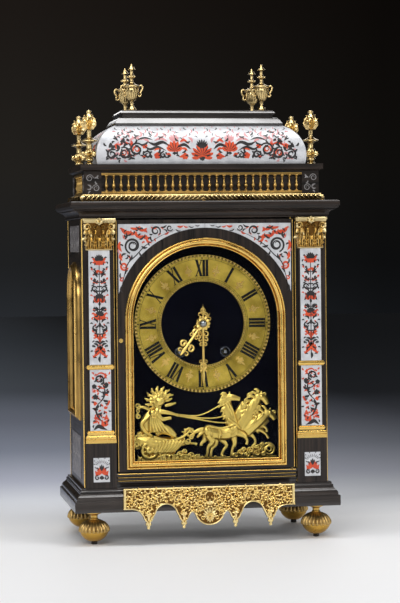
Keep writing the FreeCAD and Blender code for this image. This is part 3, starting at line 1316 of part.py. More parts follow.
def escapement():
    radius = float(d.crown_radius)
    wall = thick * 0.7
    stem = Part.makeCylinder(arbor, crown_z + thick - crown_foot_z, V(0, crown_y, crown_foot_z))
    leaves = toothed(CROWN_PINION, crown_module, PINION_LEAF, (0, 0), gap_phase(-math.pi / 2, CROWN_PINION),
                     0, leaf * 1.4)
    leaves.rotate(V(), V(1, 0, 0), 90)
    leaves.translate(V(0, crown_y, crown_pinion_z - leaf * 0.7))
    disc = Part.makeCylinder(radius, thick)
    collar = Part.makeCylinder(radius, thick).cut(Part.makeCylinder(radius - wall, thick))
    collar.translate(V(0, 0, thick))
    teeth = rim_teeth(CROWN_TEETH, radius, wall, thick * 1.5, thick * 2 + float(d.crown_tooth), (0.8, 0.16))
    wheel = disc.multiFuse([collar] + teeth)
    wheel.translate(V(0, crown_y, crown_z))
    feature("crown_wheel", stem.multiFuse([leaves, wheel]))

    pieces = [shaft_y(arbor, VERGE, plate_front, cock_back - end_play * 3)]
    width = thick * 1.5
    flag_half = thick / 5
    reach = radius - wall / 2
    for side in (-1, 1):
        middle = crown_y + side * reach
        flag = bar((-flag_half, middle - width / 2, -float(d.pallet_long)),
                   (flag_half, middle + width / 2, 0))
        flag.rotate(V(), V(0, 1, 0), side * float(d.pallet_spread) / 2)
        flag.translate(V(0, 0, verge_z))
        pieces.append(flag)
    crutch_front = train_back + float(d.cock_depth) / 3
    crutch_back = crutch_front + thick
    foot = verge_z - float(d.crutch_long)
    arm_half = float(d.pendulum_rod) / 2
    tine_inner = arm_half + float(d.fork_play)
    tine_outer = tine_inner + thick
    pieces.append(bar((-arm_half, crutch_front, foot), (arm_half, crutch_back, verge_z)))
    pieces.append(bar((-tine_outer, crutch_front, foot - thick), (tine_outer, crutch_back, foot)))
    pieces.append(bar((tine_inner, crutch_front, foot - thick), (tine_outer, pin_back, foot)))
    pieces.append(bar((-tine_outer, crutch_front, foot - thick), (-tine_inner, pin_back, foot)))
    feature("verge", pieces[0].multiFuse(pieces[1:]))


def cocks():
    arm = float(d.potence_arm)
    running = float(d.running)
    low = crown_foot_z + arm / 8
    high = crown_z - arm / 10
    low_arm = bar((-arm, train_front, low), (arm, crown_y + arm * 0.7, low + arm))
    high_arm = bar((-arm, train_front, high - arm), (arm, crown_y + arm, high))
    spine = bar((-arm, train_front, low), (arm, train_front + arm, high))
    bearings = Part.makeCylinder(arbor + running, crown_z - crown_foot_z, V(0, crown_y, crown_foot_z))
    potence = low_arm.multiFuse([high_arm, spine]).cut(bearings)

    span = float(d.cock_span)
    band = float(d.cock_thick)
    low = verge_z - band * 2
    high = verge_z + band * 3
    bridge = bar((-span, cock_front, low), (span, cock_back, high))
    posts = [bar((side * span - arm, train_back, low), (side * span + arm, cock_back, high))
             for side in (-1, 1)]
    bearing = shaft_y(arbor + running, VERGE, cock_front - 1, cock_back - end_play)
    pin = shaft_y(float(d.pendulum_pin), VERGE, cock_back - end_play, pin_back)
    head = shaft_y(float(d.pendulum_pin) + thick / 2, VERGE, pendulum_back + end_play, pin_back)
    cock = bridge.multiFuse(posts).cut(bearing).multiFuse([pin, head])

    x = -float(d.bell_x)
    stand_low = float(d.bell_rim) - float(d.bell_height)
    stand_high = bell_seat + band
    stand_back = train_back + band
    post = bar((x - arm, train_back, stand_low), (x + arm, stand_back, stand_high))
    top = bar((x - arm, -float(d.bell_y) - arm, bell_seat), (x + arm, stand_back, stand_high))
    feature("movement_cocks", Part.makeCompound([potence, cock, post.fuse(top)]))


def pendulum():
    half = float(d.pendulum_rod) / 2
    pin = float(d.pendulum_pin)
    radius = float(d.bob_radius)
    deep = float(d.bob_thick) / 2
    bob_z = verge_z - float(d.pendulum_length)
    bob_bottom = bob_z - radius
    middle = (pendulum_front + pendulum_back) / 2
    eye = shaft_y(pin + thick, VERGE, pendulum_front, pendulum_back)
    stem = bar((-half, pendulum_front, bob_bottom - thick * 4), (half, pendulum_back, verge_z))
    nut = Part.makeCylinder(thick * 2, thick * 2, V(0, middle, bob_bottom - thick * 3))
    hole = shaft_y(pin + float(d.running), VERGE, pendulum_front - 1, pendulum_back + 1)
    feature("pendulum_rod", eye.multiFuse([stem, nut]).cut(hole))
    lens = Part.Face(Part.Wire([
        Part.Arc(V(0, -deep, 0), V(radius * 0.75, -deep * 0.55, 0), V(radius, 0, 0)).toShape(),
        Part.Arc(V(radius, 0, 0), V(radius * 0.75, deep * 0.55, 0), V(0, deep, 0)).toShape(),
        Part.makeLine(V(0, deep, 0), V(0, -deep, 0)),
    ])).revolve(V(), V(0, 1, 0), 360)
    lens.translate(V(0, middle, bob_z))
    slot = bar((-half, pendulum_front, bob_bottom - thick), (half, pendulum_back, bob_z + radius + thick))
    feature("pendulum_bob", lens.cut(slot))


def hand(length, tail, angle, back):
    """A hand with a leaf-shaped blade, a round hub and a counter tail."""
    half = float(d.hand_width) / 2
    front = back - float(d.hand_thick)
    right = [
        (0, length),
        (half * 0.45, length * 0.78),
        (half, length * 0.55),
        (half * 0.4, length * 0.3),
        (half * 0.4, -tail * 0.6),
        (half * 0.8, -tail * 0.8),
        (0, -tail),
    ]
    left = [(-x, z) for x, z in reversed(right[1:-1])]
    points = [V(x, front, z) for x, z in right + left]
    blade = Part.Face(Part.makePolygon(points + points[:1])).extrude(V(0, back - front, 0))
    shape = blade.fuse(shaft_y(float(d.hand_hub), (0, 0), front, back))
    shape.rotate(V(), V(0, 1, 0), angle)
    shape.translate(V(0, 0, dial_z))
    return shape


def motion_work():
    running = float(d.running)
    cannon_bore = float(d.centre_arbor) + running
    cannon_wall = cannon_bore + float(d.centre_arbor) * 0.7
    hour_bore = cannon_wall + running
    hour_wall = hour_bore + float(d.centre_arbor) * 0.8
    minute_back = hands_front() + float(d.hand_thick)
    hour_front = minute_back + float(d.hand_gap)
    hour_back = hour_front + float(d.hand_thick)
    cannon_end = plate_front - thick / 2
    cannon_wheel = cannon_end - thick * 1.5
    module, angle = mesh(MINUTE_POST, CENTRE, CANNON_LEAVES + MINUTE_TEETH)
    leaves = toothed(CANNON_LEAVES, module, PINION_LEAF, CENTRE, gap_phase(angle, CANNON_LEAVES),
                     cannon_wheel, cannon_end)
    pipe = shaft_y(cannon_wall, CENTRE, hands_front(), cannon_end)
    bore = shaft_y(cannon_bore, CENTRE, hands_front() - 1, cannon_end + 1)
    feature("cannon_pinion", pipe.fuse(leaves).cut(bore))
    minute = hand(float(d.minute_hand), float(d.minute_tail), float(d.minute_angle), minute_back)
    seat = shaft_y(cannon_wall, CENTRE, hands_front() - 1, minute_back + 1)
    boss = Part.makeSphere(float(d.hand_boss), V(), V(0, -1, 0), 0, 90, 360)
    boss.translate(V(0, hands_front(), dial_z))
    feature("minute_hand", minute.cut(seat).fuse(boss))

    wheel = toothed(MINUTE_TEETH, module, WHEEL_TOOTH, MINUTE_POST, angle,
                    cannon_wheel, cannon_end - thick / 2)
    module, angle = mesh(CENTRE, MINUTE_POST, MINUTE_PINION + HOUR_TEETH)
    hour_wheel_back = cannon_wheel - thick / 2
    hour_wheel_front = hour_wheel_back - thick
    pinion = toothed(MINUTE_PINION, module, PINION_LEAF, MINUTE_POST, gap_phase(angle, MINUTE_PINION),
                     hour_wheel_front - thick / 2, cannon_wheel)
    bore = shaft_y(arbor + running, MINUTE_POST, hour_wheel_front - thick, cannon_end)
    feature("minute_wheel", wheel.fuse(pinion).cut(bore))

    wheel = toothed(HOUR_TEETH, module, WHEEL_TOOTH, CENTRE, angle, hour_wheel_front, hour_wheel_back)
    pipe = shaft_y(hour_wall, CENTRE, hour_front, hour_wheel_back)
    bore = shaft_y(hour_bore, CENTRE, hour_front - 1, hour_wheel_back + 1)
    feature("hour_wheel", wheel.fuse(pipe).cut(bore))
    hour = hand(float(d.hour_hand), float(d.hour_tail), float(d.hour_angle), hour_back)
    seat = shaft_y(hour_wall, CENTRE, hour_front - 1, hour_back + 1)
    feature("hour_hand", hour.cut(seat))


def strike_train():
    ends = (plate_front, train_back)
    module, angle = mesh(STRIKE, PIN, BARREL_TEETH + PIN_PINION)
    pinion = toothed(PIN_PINION, module, PINION_LEAF, PIN, gap_phase(angle, PIN_PINION),
                     barrel_front - leaf / 2, barrel_front + leaf)
    module, angle = mesh(PIN, HOOP, PIN_TEETH + HOOP_PINION)
    wheel = toothed(PIN_TEETH, module, WHEEL_TOOTH, PIN, angle, pin_wheel_y, pin_wheel_y + thick)
    pins = []
    for index in range(HAMMER_PINS):
        turn = 2 * math.pi * (index + 0.5) / HAMMER_PINS + math.pi / 2
        radius = float(d.pin_circle)
        at = (PIN[0] + radius * math.cos(turn), PIN[1] + radius * math.sin(turn))
        pins.append(shaft_y(float(d.hammer_pin), at, pin_wheel_y + thick, pin_end))
    count_module, count_angle = mesh(STRIKE, PIN, COUNT_PINION + COUNT_TEETH)
    count_start = train_back + thick / 2
    count_end = count_start + thick
    stem_end = count_end + thick / 2
    count_phase = gap_phase(count_angle, COUNT_PINION)
    count_pinion = toothed(COUNT_PINION, count_module, PINION_LEAF, PIN, count_phase,
                           train_back + thick / 4, stem_end)
    stem = shaft_y(arbor, PIN, plate_front, stem_end)
    feature("pin_wheel", stem.multiFuse([pinion, wheel, count_pinion] + pins))

    pinion = toothed(HOOP_PINION, module, PINION_LEAF, HOOP, gap_phase(angle, HOOP_PINION),
                     pin_wheel_y - thick / 2, pin_wheel_y + thick * 1.5)
    module, angle = mesh(HOOP, FLY, HOOP_TEETH + FLY_PINION)
    wheel = toothed(HOOP_TEETH, module, WHEEL_TOOTH, HOOP, angle, second_wheel_y, second_wheel_y + thick, 5)
    wheel_on_arbor("hoop_wheel", HOOP, ends, pinion, wheel)
    pinion = toothed(FLY_PINION, module, PINION_LEAF, FLY, gap_phase(angle, FLY_PINION),
                     second_wheel_y - thick, second_wheel_y + leaf - thick)
    span = float(d.fly_span) / 2
    vane = bar((FLY[0] - span, barrel_front, FLY[1] - thick / 4),
               (FLY[0] + span, barrel_back - thick, FLY[1] + thick / 4))
    wheel_on_arbor("fly", FLY, ends, pinion, vane)

    count = toothed(COUNT_TEETH, count_module, WHEEL_TOOTH, STRIKE, count_angle, count_start, count_end)
    disc_radius = count_module * COUNT_TEETH * 0.4
    disc_end = count_end + thick
    hub = shaft_y(float(d.winding_arbor) + float(d.running), STRIKE, count_start - 1, disc_end + 1)
    total = sum(STRIKES) + len(STRIKES)
    passed = 0
    notches = []
    for blows in STRIKES:
        passed += blows + 1
        notch = bar((disc_radius - thick, count_end, -thick / 4),
                    (disc_radius + thick, disc_end, thick / 4))
        notch.rotate(V(), V(0, 1, 0), -360 * passed / total)
        notch.translate(V(STRIKE[0], 0, STRIKE[1]))
        notches.append(notch)
    disc = shaft_y(disc_radius, STRIKE, count_end, disc_end).cut(notches)
    feature("count_wheel", count.fuse(disc).cut(hub))


def bell_and_hammer():
    x = -float(d.bell_x)
    y = -float(d.bell_y)
    rim = float(d.bell_rim)
    radius = float(d.bell_radius)
    wall = float(d.bell_wall)
    tall = float(d.bell_height)
    shoulder = V(radius * 0.82, 0, tall * 0.68)
    hollow_shoulder = shoulder - V(wall, 0, wall) * 0.75
    section = Part.Wire([
        Part.makeLine(V(radius - wall, 0, 0), V(radius, 0, 0)),
        Part.Arc(V(radius, 0, 0), shoulder, V(0, 0, tall)).toShape(),
        Part.makeLine(V(0, 0, tall), V(0, 0, tall - wall)),
        Part.Arc(V(0, 0, tall - wall), hollow_shoulder, V(radius - wall, 0, 0)).toShape(),
    ])
    bowl = Part.Face(section).revolve(V(), V(0, 0, 1), 360)
    stud_foot = tall - wall / 2
    stud = Part.makeCylinder(arbor * 2, bell_seat - rim - stud_foot, V(0, 0, stud_foot))
    bell = bowl.fuse(stud)
    bell.translate(V(x, y, rim))
    feature("bell", bell)

    half = thick * 0.75
    head = float(d.hammer_head)
    head_left = x - radius + wall * 2 - end_play
    tail_z = PIN[1] + float(d.pin_circle) + float(d.hammer_pin) + end_play * 2
    arm = bar((HAMMER[0] - half, y - half, HAMMER[1]), (HAMMER[0] + half, y + half, rim + head))
    tail = bar((HAMMER[0] - half, pin_end - half * 3, tail_z),
               (HAMMER[0] + half, pin_end - half, HAMMER[1]))
    knock = Part.makeCylinder(head, head * 2, V(head_left, y, rim + head * 0.75), V(1, 0, 0))
    wheel_on_arbor("hammer", HAMMER, (plate_front, train_back), arm, tail, knock)


plinth()
carcass()
pilasters()
door_sill()
front_door()
back_door()
roof()
finials()
balustrades()
dial()
movement_frame()
barrels()
going_train()
escapement()
cocks()
pendulum()
motion_work()
strike_train()
bell_and_hammer()
doc.recompute()

NODES = [
    "base_plinth", "feet", "base_apron", "side_boards", "side_window_frames", "side_window_panes",
    "side_panels", "back_frame", "pilasters", "pilaster_panels", "pilaster_mouldings", "capitals",
    "door_sill", "door_pivots", "cornice", "leaf_moulding", "attic", "balustrades", "dome", "dome_cap",
    "vase_finials", "bud_finials", "door_frame", "door_bezel", "door_glass", "spandrel_panels",
    "door_lock", "back_door", "back_door_knob", "dial_plate", "chapter_ring", "chariot_group",
    "front_plate", "back_plate", "plate_pillars", "movement_cocks", "bell", "hammer", "going_barrel",
    "going_mainspring", "going_winding_arbor", "second_wheel", "centre_wheel", "contrate_wheel",
    "crown_wheel", "verge", "pendulum_rod", "pendulum_bob", "cannon_pinion", "minute_hand",
    "minute_wheel", "hour_wheel", "hour_hand", "strike_barrel", "strike_mainspring",
    "strike_winding_arbor", "pin_wheel", "hoop_wheel", "fly", "count_wheel",
]

for item in doc.Objects:
    if {"Invalid", "Error"} & set(item.State):
        raise RuntimeError(f"{item.Name} did not rebuild: {item.State}")
os.makedirs("parts", exist_ok=True)
for name in NODES:
    item = doc.getObject(name)
    item.Label = name
    if item.Shape.isNull() or not item.Shape.isValid():
        raise RuntimeError(f"{name} has no valid shape")
    item.Shape.exportStep(os.path.join("parts", f"{name}.step"))
print(f"wrote {len(NODES)} sub-parts")
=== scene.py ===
# %% [markdown]
# A religieuse is a free-standing spring clock in an ebony case: an arched glass door stands
# between two pilasters, a balustrade and a cushion dome make the roof, and everything that
# shines is gilt bronze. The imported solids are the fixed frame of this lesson. Each cell lays
# a finer piece over a solid, or gives the solid the finish of the real thing.

# %% Load the frame
from contextlib import contextmanager
from math import atan2, cos, degrees, hypot, log, pi, radians, sin, tau

import bpy
from mathutils import Matrix, Vector


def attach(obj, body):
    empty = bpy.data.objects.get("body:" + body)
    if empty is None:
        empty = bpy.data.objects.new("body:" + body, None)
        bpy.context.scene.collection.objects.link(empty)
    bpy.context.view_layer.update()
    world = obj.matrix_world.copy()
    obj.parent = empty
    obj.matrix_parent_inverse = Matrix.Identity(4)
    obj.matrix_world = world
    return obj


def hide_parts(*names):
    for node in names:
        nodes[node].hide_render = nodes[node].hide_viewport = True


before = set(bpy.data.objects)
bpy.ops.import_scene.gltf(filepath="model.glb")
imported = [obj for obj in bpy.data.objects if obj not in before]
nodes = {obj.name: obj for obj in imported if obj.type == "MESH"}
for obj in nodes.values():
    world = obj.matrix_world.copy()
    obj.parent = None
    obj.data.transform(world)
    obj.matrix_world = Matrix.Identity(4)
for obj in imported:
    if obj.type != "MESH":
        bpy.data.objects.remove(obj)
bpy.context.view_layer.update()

MM = 0.001
print("solids loaded:", len(nodes))

# %% [markdown]
# Pieces are drawn in millimetres and live in metres. An operator acts on whatever is
# selected, so each piece starts by deselecting all. When it is done, its place and turn are
# applied, which leaves the object at the origin with its place in its mesh.

# %% Small habits
def clear():
    if bpy.context.mode != "OBJECT":
        bpy.ops.object.mode_set(mode="OBJECT")
    bpy.ops.object.select_all(action="DESELECT")


def pick(*objects):
    clear()
    for item in objects:
        item.select_set(True)
    bpy.context.view_layer.objects.active = objects[-1]


def settle(item):
    """Put the object's place, turn and size into its mesh."""
    pick(item)
    bpy.ops.object.transform_apply(location=True, rotation=True, scale=True)
    return item


@contextmanager
def editing(item):
    """Edit mode, with everything selected."""
    pick(item)
    bpy.ops.object.mode_set(mode="EDIT")
    bpy.ops.mesh.select_all(action="SELECT")
    yield
    bpy.ops.object.mode_set(mode="OBJECT")


def mend(item):
    """Merge doubles and turn every face outwards."""
    with editing(item):
        bpy.ops.mesh.remove_doubles(threshold=1e-6)
        bpy.ops.mesh.normals_make_consistent(inside=False)
    return item


def smooth(item, angle=35):
    pick(item)
    bpy.ops.object.shade_smooth_by_angle(angle=radians(angle))
    return item


def join(name, pieces):
    pick(*pieces)
    bpy.ops.object.join()
    bpy.context.object.name = name
    bpy.context.object.data.name = name
    return bpy.context.object


def copy_of(item, place):
    """A copy with its own mesh, moved by a matrix in metres."""
    twin = item.copy()
    twin.data = item.data.copy()
    bpy.context.collection.objects.link(twin)
    twin.data.transform(place)
    if place.determinant() < 0:
        twin.data.flip_normals()
    return twin


def drop(item):
    bpy.data.objects.remove(item, do_unlink=True)


def at(x, y, z):
    return Matrix.Translation((x * MM, y * MM, z * MM))


def spun(angle, axis="Z"):
    return Matrix.Rotation(radians(angle), 4, axis)


def sized(x, y, z):
    return Matrix.Diagonal((x, y, z, 1))


MIRROR_X = sized(-1, 1, 1)
MIRROR_Y = sized(1, -1, 1)


def both(place):
    """A place and its mirror image on the other side of the clock."""
    return [place, MIRROR_X @ place]


def four(x, y, z):
    """The same place in all four corners of the clock."""
    return [at(side * x, depth * y, z) for side in (-1, 1) for depth in (-1, 1)]


def modify(item, kind, **settings):
    """Add a modifier and apply it at once."""
    pick(item)
    step = item.modifiers.new(kind.title(), kind)
    for key, value in settings.items():
        setattr(step, key, value)
    bpy.ops.object.modifier_apply(modifier=step.name)
    return item


def rounded(item, width, segments):
    return modify(item, "BEVEL", width=width * MM, segments=segments, limit_method="ANGLE",
                  angle_limit=radians(30))


def finished(item, body, slot, material, *replaced):
    """Hand a piece over: finish, body and the solids it stands for. The slot is not used."""
    settle(item)
    item.data.materials.clear()
    item.data.materials.append(material)
    for face in item.data.polygons:
        face.material_index = 0
    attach(item, body)
    if replaced:
        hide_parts(*replaced)
    print(f"{item.name}: {len(item.data.polygons)} faces on {body}")
    return item


# %% [markdown]
# Four ways of modelling return all over this clock. A turner's work is a section spun round
# an axis. A joiner's moulding is one outline drawn out and resized ring by ring. A founder's
# rim is a flat curve that carries a section along it. A marquetry cutter's leaf is a stroke:
# a flat curve with a thin section, wide in the middle and pointed at its ends.

# %% Turned work
def turned(name, section, steps=40):
    """Spin a section of (radius, height) pairs about the Z axis."""
    clear()
    bpy.ops.mesh.primitive_plane_add(size=MM)
    item = bpy.context.object
    item.name = name
    radius, height = section[0]
    with editing(item):
        bpy.ops.mesh.merge(type="COLLAPSE")
        bpy.ops.transform.translate(value=(radius * MM, 0, height * MM))
        for (r0, h0), (r1, h1) in zip(section, section[1:]):
            step = ((r1 - r0) * MM, 0, (h1 - h0) * MM)
            bpy.ops.mesh.extrude_region_move(TRANSFORM_OT_translate={"value": step})
        bpy.ops.mesh.select_all(action="SELECT")
        bpy.ops.mesh.spin(steps=steps, angle=tau, center=(0, 0, 0), axis=(0, 0, 1))
    return smooth(mend(item), 40)


def fluted(item, count, depth, low, high, sharp=1.0):
    """Press lobes into turned work between two heights, fading out at both ends."""
    for vertex in item.data.vertices:
        height = vertex.co.z / MM
        if low < height < high:
            fade = sin(pi * (height - low) / (high - low)) ** 0.5
            angle = atan2(vertex.co.y, vertex.co.x)
            lobe = abs(cos(angle * count / 2)) ** sharp
            shrink = 1 - depth * fade * (1 - lobe)
            vertex.co.x *= shrink
            vertex.co.y *= shrink
    return item


# %% Mouldings
def moulding(name, rings):
    """A solid drawn up through rectangles: (half width, half depth, height) in millimetres."""
    clear()
    bpy.ops.mesh.primitive_plane_add(size=2 * MM)
    item = bpy.context.object
    item.name = name
    wide, deep, high = rings[0]
    with editing(item):
        bpy.ops.transform.resize(value=(wide, deep, 1))
        bpy.ops.transform.translate(value=(0, 0, high * MM))
        for ring in rings[1:]:
            rise = (0, 0, (ring[2] - high) * MM)
            bpy.ops.mesh.extrude_region_move(TRANSFORM_OT_translate={"value": rise})
            bpy.ops.transform.resize(value=(ring[0] / wide, ring[1] / deep, 1),
                                     center_override=(0, 0, ring[2] * MM))
            wide, deep, high = ring
        bpy.ops.mesh.select_all(action="SELECT")
        bpy.ops.mesh.normals_make_consistent(inside=False)
    return item


# %% Meshes and rims
def built(name, points, faces):
    """A mesh object from points in millimetres, mended."""
    mesh = bpy.data.meshes.new(name)
    mesh.from_pydata([tuple(value * MM for value in point) for point in points], [], faces)
    item = bpy.data.objects.new(name, mesh)
    bpy.context.collection.objects.link(item)
    return mend(item)


def skin(rows, size, first=0, closed=False):
    """Faces between rows of points, with a cap at each end of an open run."""
    faces = []
    for row in range(rows if closed else rows - 1):
        here, there = first + row * size, first + (row + 1) % rows * size
        for column in range(size):
            after = (column + 1) % size
            faces.append((here + column, here + after, there + after, there + column))
    if not closed:
        last = first + (rows - 1) * size
        faces += [tuple(range(first, first + size)), tuple(range(last, last + size))]
    return faces


def prism(name, outline, low, high):
    """A flat outline drawn straight up between two heights."""
    points = [(x, y, level) for level in (low, high) for x, y in outline]
    return built(name, points, skin(2, len(outline)))


def headings(path, closed):
    """The mitred sideways direction at each point of a flat path."""
    sides = []
    count = len(path)
    for index in range(count):
        here = Vector(path[index])
        before = Vector(path[index - 1]) if closed or index else None
        after = Vector(path[(index + 1) % count]) if closed or index < count - 1 else None
        runs = [(b - a).normalized() for a, b in ((before, here), (here, after)) if a and b]
        along = (runs[0] + runs[-1]).normalized()
        across = Vector((along.y, -along.x))
        straight = Vector((runs[0].y, -runs[0].x))
        sides.append(across / max(across.dot(straight), 0.3))
    return sides


def rim(name, path, section, closed=True):
    """A section of (across, proud) points drawn along a flat path, mitred at its corners."""
    points = []
    for (x, y), side in zip(path, headings(path, closed)):
        points += [(x + side.x * across, y + side.y * across, proud) for across, proud in section]
    return smooth(built(name, points, skin(len(path), len(section), closed=closed)), 40)


# %% [markdown]
# A smooth path through a few points is easier to draw than a hundred corners. It serves a
# turner's section, a bent rod and the middle line of a leaf.

# %% Smooth paths and rods
def spline(points, divisions=5):
    """A smooth path through points."""
    fine = []
    count = len(points)
    for index in range(count - 1):
        p0 = points[max(index - 1, 0)]
        p1, p2 = points[index], points[index + 1]
        p3 = points[min(index + 2, count - 1)]
        for step in range(divisions):
            t = step / divisions
            fine.append(tuple(
                0.5 * (2 * b + (c - a) * t + (2 * a - 5 * b + 4 * c - d) * t * t
                       + (3 * b - a - 3 * c + d) * t ** 3)
                for a, b, c, d in zip(p0, p1, p2, p3)))
    fine.append(tuple(points[-1]))
    return fine


def rounding(points, divisions=4):
    """A smooth turner's section through (radius, height) points."""
    return [(max(radius, 0.0), height) for radius, height in spline(points, divisions)]


class Tube:
    """Round strands of a changing radius, which become one mesh."""

    def __init__(self, name):
        self.curve = bpy.data.curves.new(name, "CURVE")
        self.curve.dimensions = "3D"
        self.curve.bevel_depth = MM
        self.curve.bevel_resolution = 2
        self.curve.use_fill_caps = True

    def strand(self, path):
        """A strand through (x, y, z, radius) points in millimetres."""
        line = self.curve.splines.new("POLY")
        line.points.add(len(path) - 1)
        for knot, (x, y, z, radius) in zip(line.points, path):
            knot.co = (x * MM, y * MM, z * MM, 1)
            knot.radius = radius

    def mesh(self):
        item = bpy.data.objects.new(self.curve.name, self.curve)
        bpy.context.collection.objects.link(item)
        pick(item)
        bpy.ops.object.convert(target="MESH")
        return bpy.context.object


# %% [markdown]
# A drawing gathers strokes, as a cutter gathers leaves from one sheet, and becomes one mesh at
# the end. A ridge along the middle turns its flat strokes into chased ones.

# %% Strokes
class Drawing:
    """Strokes drawn flat in millimetres and cut from one sheet of a given thickness.

    Each stroke lies a few thousandths higher than the one before, so no two faces coincide.
    """

    THINNEST = 0.04
    LAYER, LAYERS = 0.003, 16

    def __init__(self, low=-0.15, high=0.14, gain=1.0, ridge=0.0):
        shoulder = high - ridge
        top = [(0, high)] if ridge else []
        self.section = [(1, low), (1, shoulder)] + top + [(-1, shoulder), (-1, low)]
        self.gain = gain
        self.strokes = 0
        self.points = []
        self.faces = []

    def ribbon(self, path, widths):
        first = len(self.points)
        self.strokes += 1
        step = self.LAYER * (self.strokes % self.LAYERS)
        path = [tuple(point[:2]) for point in path]
        for (x, y), side, width in zip(path, headings(path, False), widths):
            half = max(width * self.gain, self.THINNEST) / 2
            for sign, level in self.section:
                across = half * sign
                self.points.append((x + side.x * across, y + side.y * across, level + step))
        self.faces += skin(len(path), len(self.section), first)

    def stroke(self, points, width, full=0.5, mirror=False, blunt=0.0):
        """A leaf along a path: pointed at its ends, and widest at the full share of its length."""
        path = spline(points, 5)
        count = len(path) - 1
        power = log(0.5) / log(full)
        widths = [width * max(sin(pi * (row / count) ** power), blunt)
                  for row in range(count + 1)]
        self.ribbon(path, widths)
        if mirror:
            self.ribbon([(-point[0], point[1]) for point in path], widths)

    def leaf(self, x, y, angle, length, width, bend=0.2, full=0.45, mirror=False):
        a = radians(angle)
        along = (cos(a), sin(a))
        across = (-along[1] * bend * length, along[0] * bend * length)
        middle = (x + along[0] * length / 2 + across[0], y + along[1] * length / 2 + across[1])
        tip = (x + along[0] * length, y + along[1] * length)
        self.stroke([(x, y), middle, tip], width, full, mirror)

    def pair(self, x, y, angle, length, width, bend=0.2):
        """A leaf and its mirror image."""
        self.leaf(x, y, angle, length, width, bend, 0.5, True)

    def scroll(self, x, y, radius, start, turns, width, mirror=False, ending=0.25):
        """A volute that winds in to its eye, clockwise where its turns are negative."""
        steps = max(int(abs(turns) * 22), 8)
        path, widths = [], []
        for step in range(steps + 1):
            t = step / steps
            angle = radians(start) + tau * turns * t
            reach = radius * (1 - (1 - ending) * t)
            path.append((x + reach * cos(angle), y + reach * sin(angle)))
            widths.append(width * (0.3 + 0.7 * sin(pi * min(t + 0.12, 1)) ** 0.7))
        self.ribbon(path, widths)
        if mirror:
            self.ribbon([(-px, py) for px, py in path], widths)

    def fan(self, x, y, angle, spread, count, length, width, mirror=False):
        """Leaves that open from one point, longest in the middle."""
        for index in range(count):
            share = (index + 0.5) / count * 2 - 1
            reach = length * (1 - 0.28 * share * share)
            self.leaf(x, y, angle + spread / 2 * share, reach, width, 0.08 * share, 0.62, mirror)

    def line(self, points, width):
        self.ribbon(points, [width] * len(points))

    def ring(self, x, y, radius, width, steps=48):
        self.line(arc(x, y, radius, 0, 360, steps), width)

    def cut_out(self, name):
        return built(name, self.points, self.faces)


def strew(tones, start, columns, rows, pitch, size, fits, mirror=False):
    """Small leaves on a staggered grid, turned every way, wherever there is room for one."""
    for row in range(rows):
        for column in range(columns):
            x, y = start[0] + (column + row % 2 / 2) * pitch, start[1] + row * pitch
            if fits(x, y):
                tone = tones[(row + column) % len(tones)]
                turn = (137 * row + 71 * column) % 360
                tone.leaf(x, y, turn, size, size * 0.38, 0.25, 0.5, mirror)


# %% [markdown]
# Drawings lie flat, with their face upwards. Each is stood up to face the front, and copied to
# all its places on the clock.

# %% Paths and places
FRONT_UP = spun(90, "X")


def arc(cx, cy, radius, start, end, steps):
    """Points on an arc, in degrees from the drawing's X axis."""
    points = []
    for index in range(steps + 1):
        angle = radians(start + (end - start) * index / steps)
        points.append((cx + radius * cos(angle), cy + radius * sin(angle)))
    return points


def arch_path(half, bottom, spring, steps=48):
    """An arched opening's outline, from its lower right corner round to the lower left."""
    return [(half, bottom)] + arc(0, spring, half, 0, 180, steps) + [(-half, bottom)]


def placed(item, places):
    """One object made of a drawn piece at every place."""
    copies = [copy_of(item, place) for place in places]
    name = item.name
    drop(item)
    return join(name, copies)


def mounted(item, places, material, *replaced, body="case", slot="gilt_bronze"):
    """Put a drawn piece at its places and hand it over. Most pieces are gilt mounts of the case."""
    return finished(placed(item, places), body, slot, material, *replaced)


# %% [markdown]
# A finish is a graph of nodes, and most of its wiring is arithmetic. The class below wraps
# one output socket, so that `grain * 0.5 + cloud` adds the Math nodes by itself. Colours go
# through Mix nodes, because Math would turn them grey.

# %% Sockets with operators
class Link:
    """One output socket of a graph, with Python's operators standing for Math nodes."""

    def __init__(self, graph, socket):
        self.graph = graph
        self.socket = socket

    def __add__(self, other):
        return self.graph.math("ADD", self, other)

    def __sub__(self, other):
        return self.graph.math("SUBTRACT", self, other)

    def __rsub__(self, other):
        return self.graph.math("SUBTRACT", other, self)

    def __mul__(self, other):
        return self.graph.math("MULTIPLY", self, other)

    __radd__ = __add__
    __rmul__ = __mul__


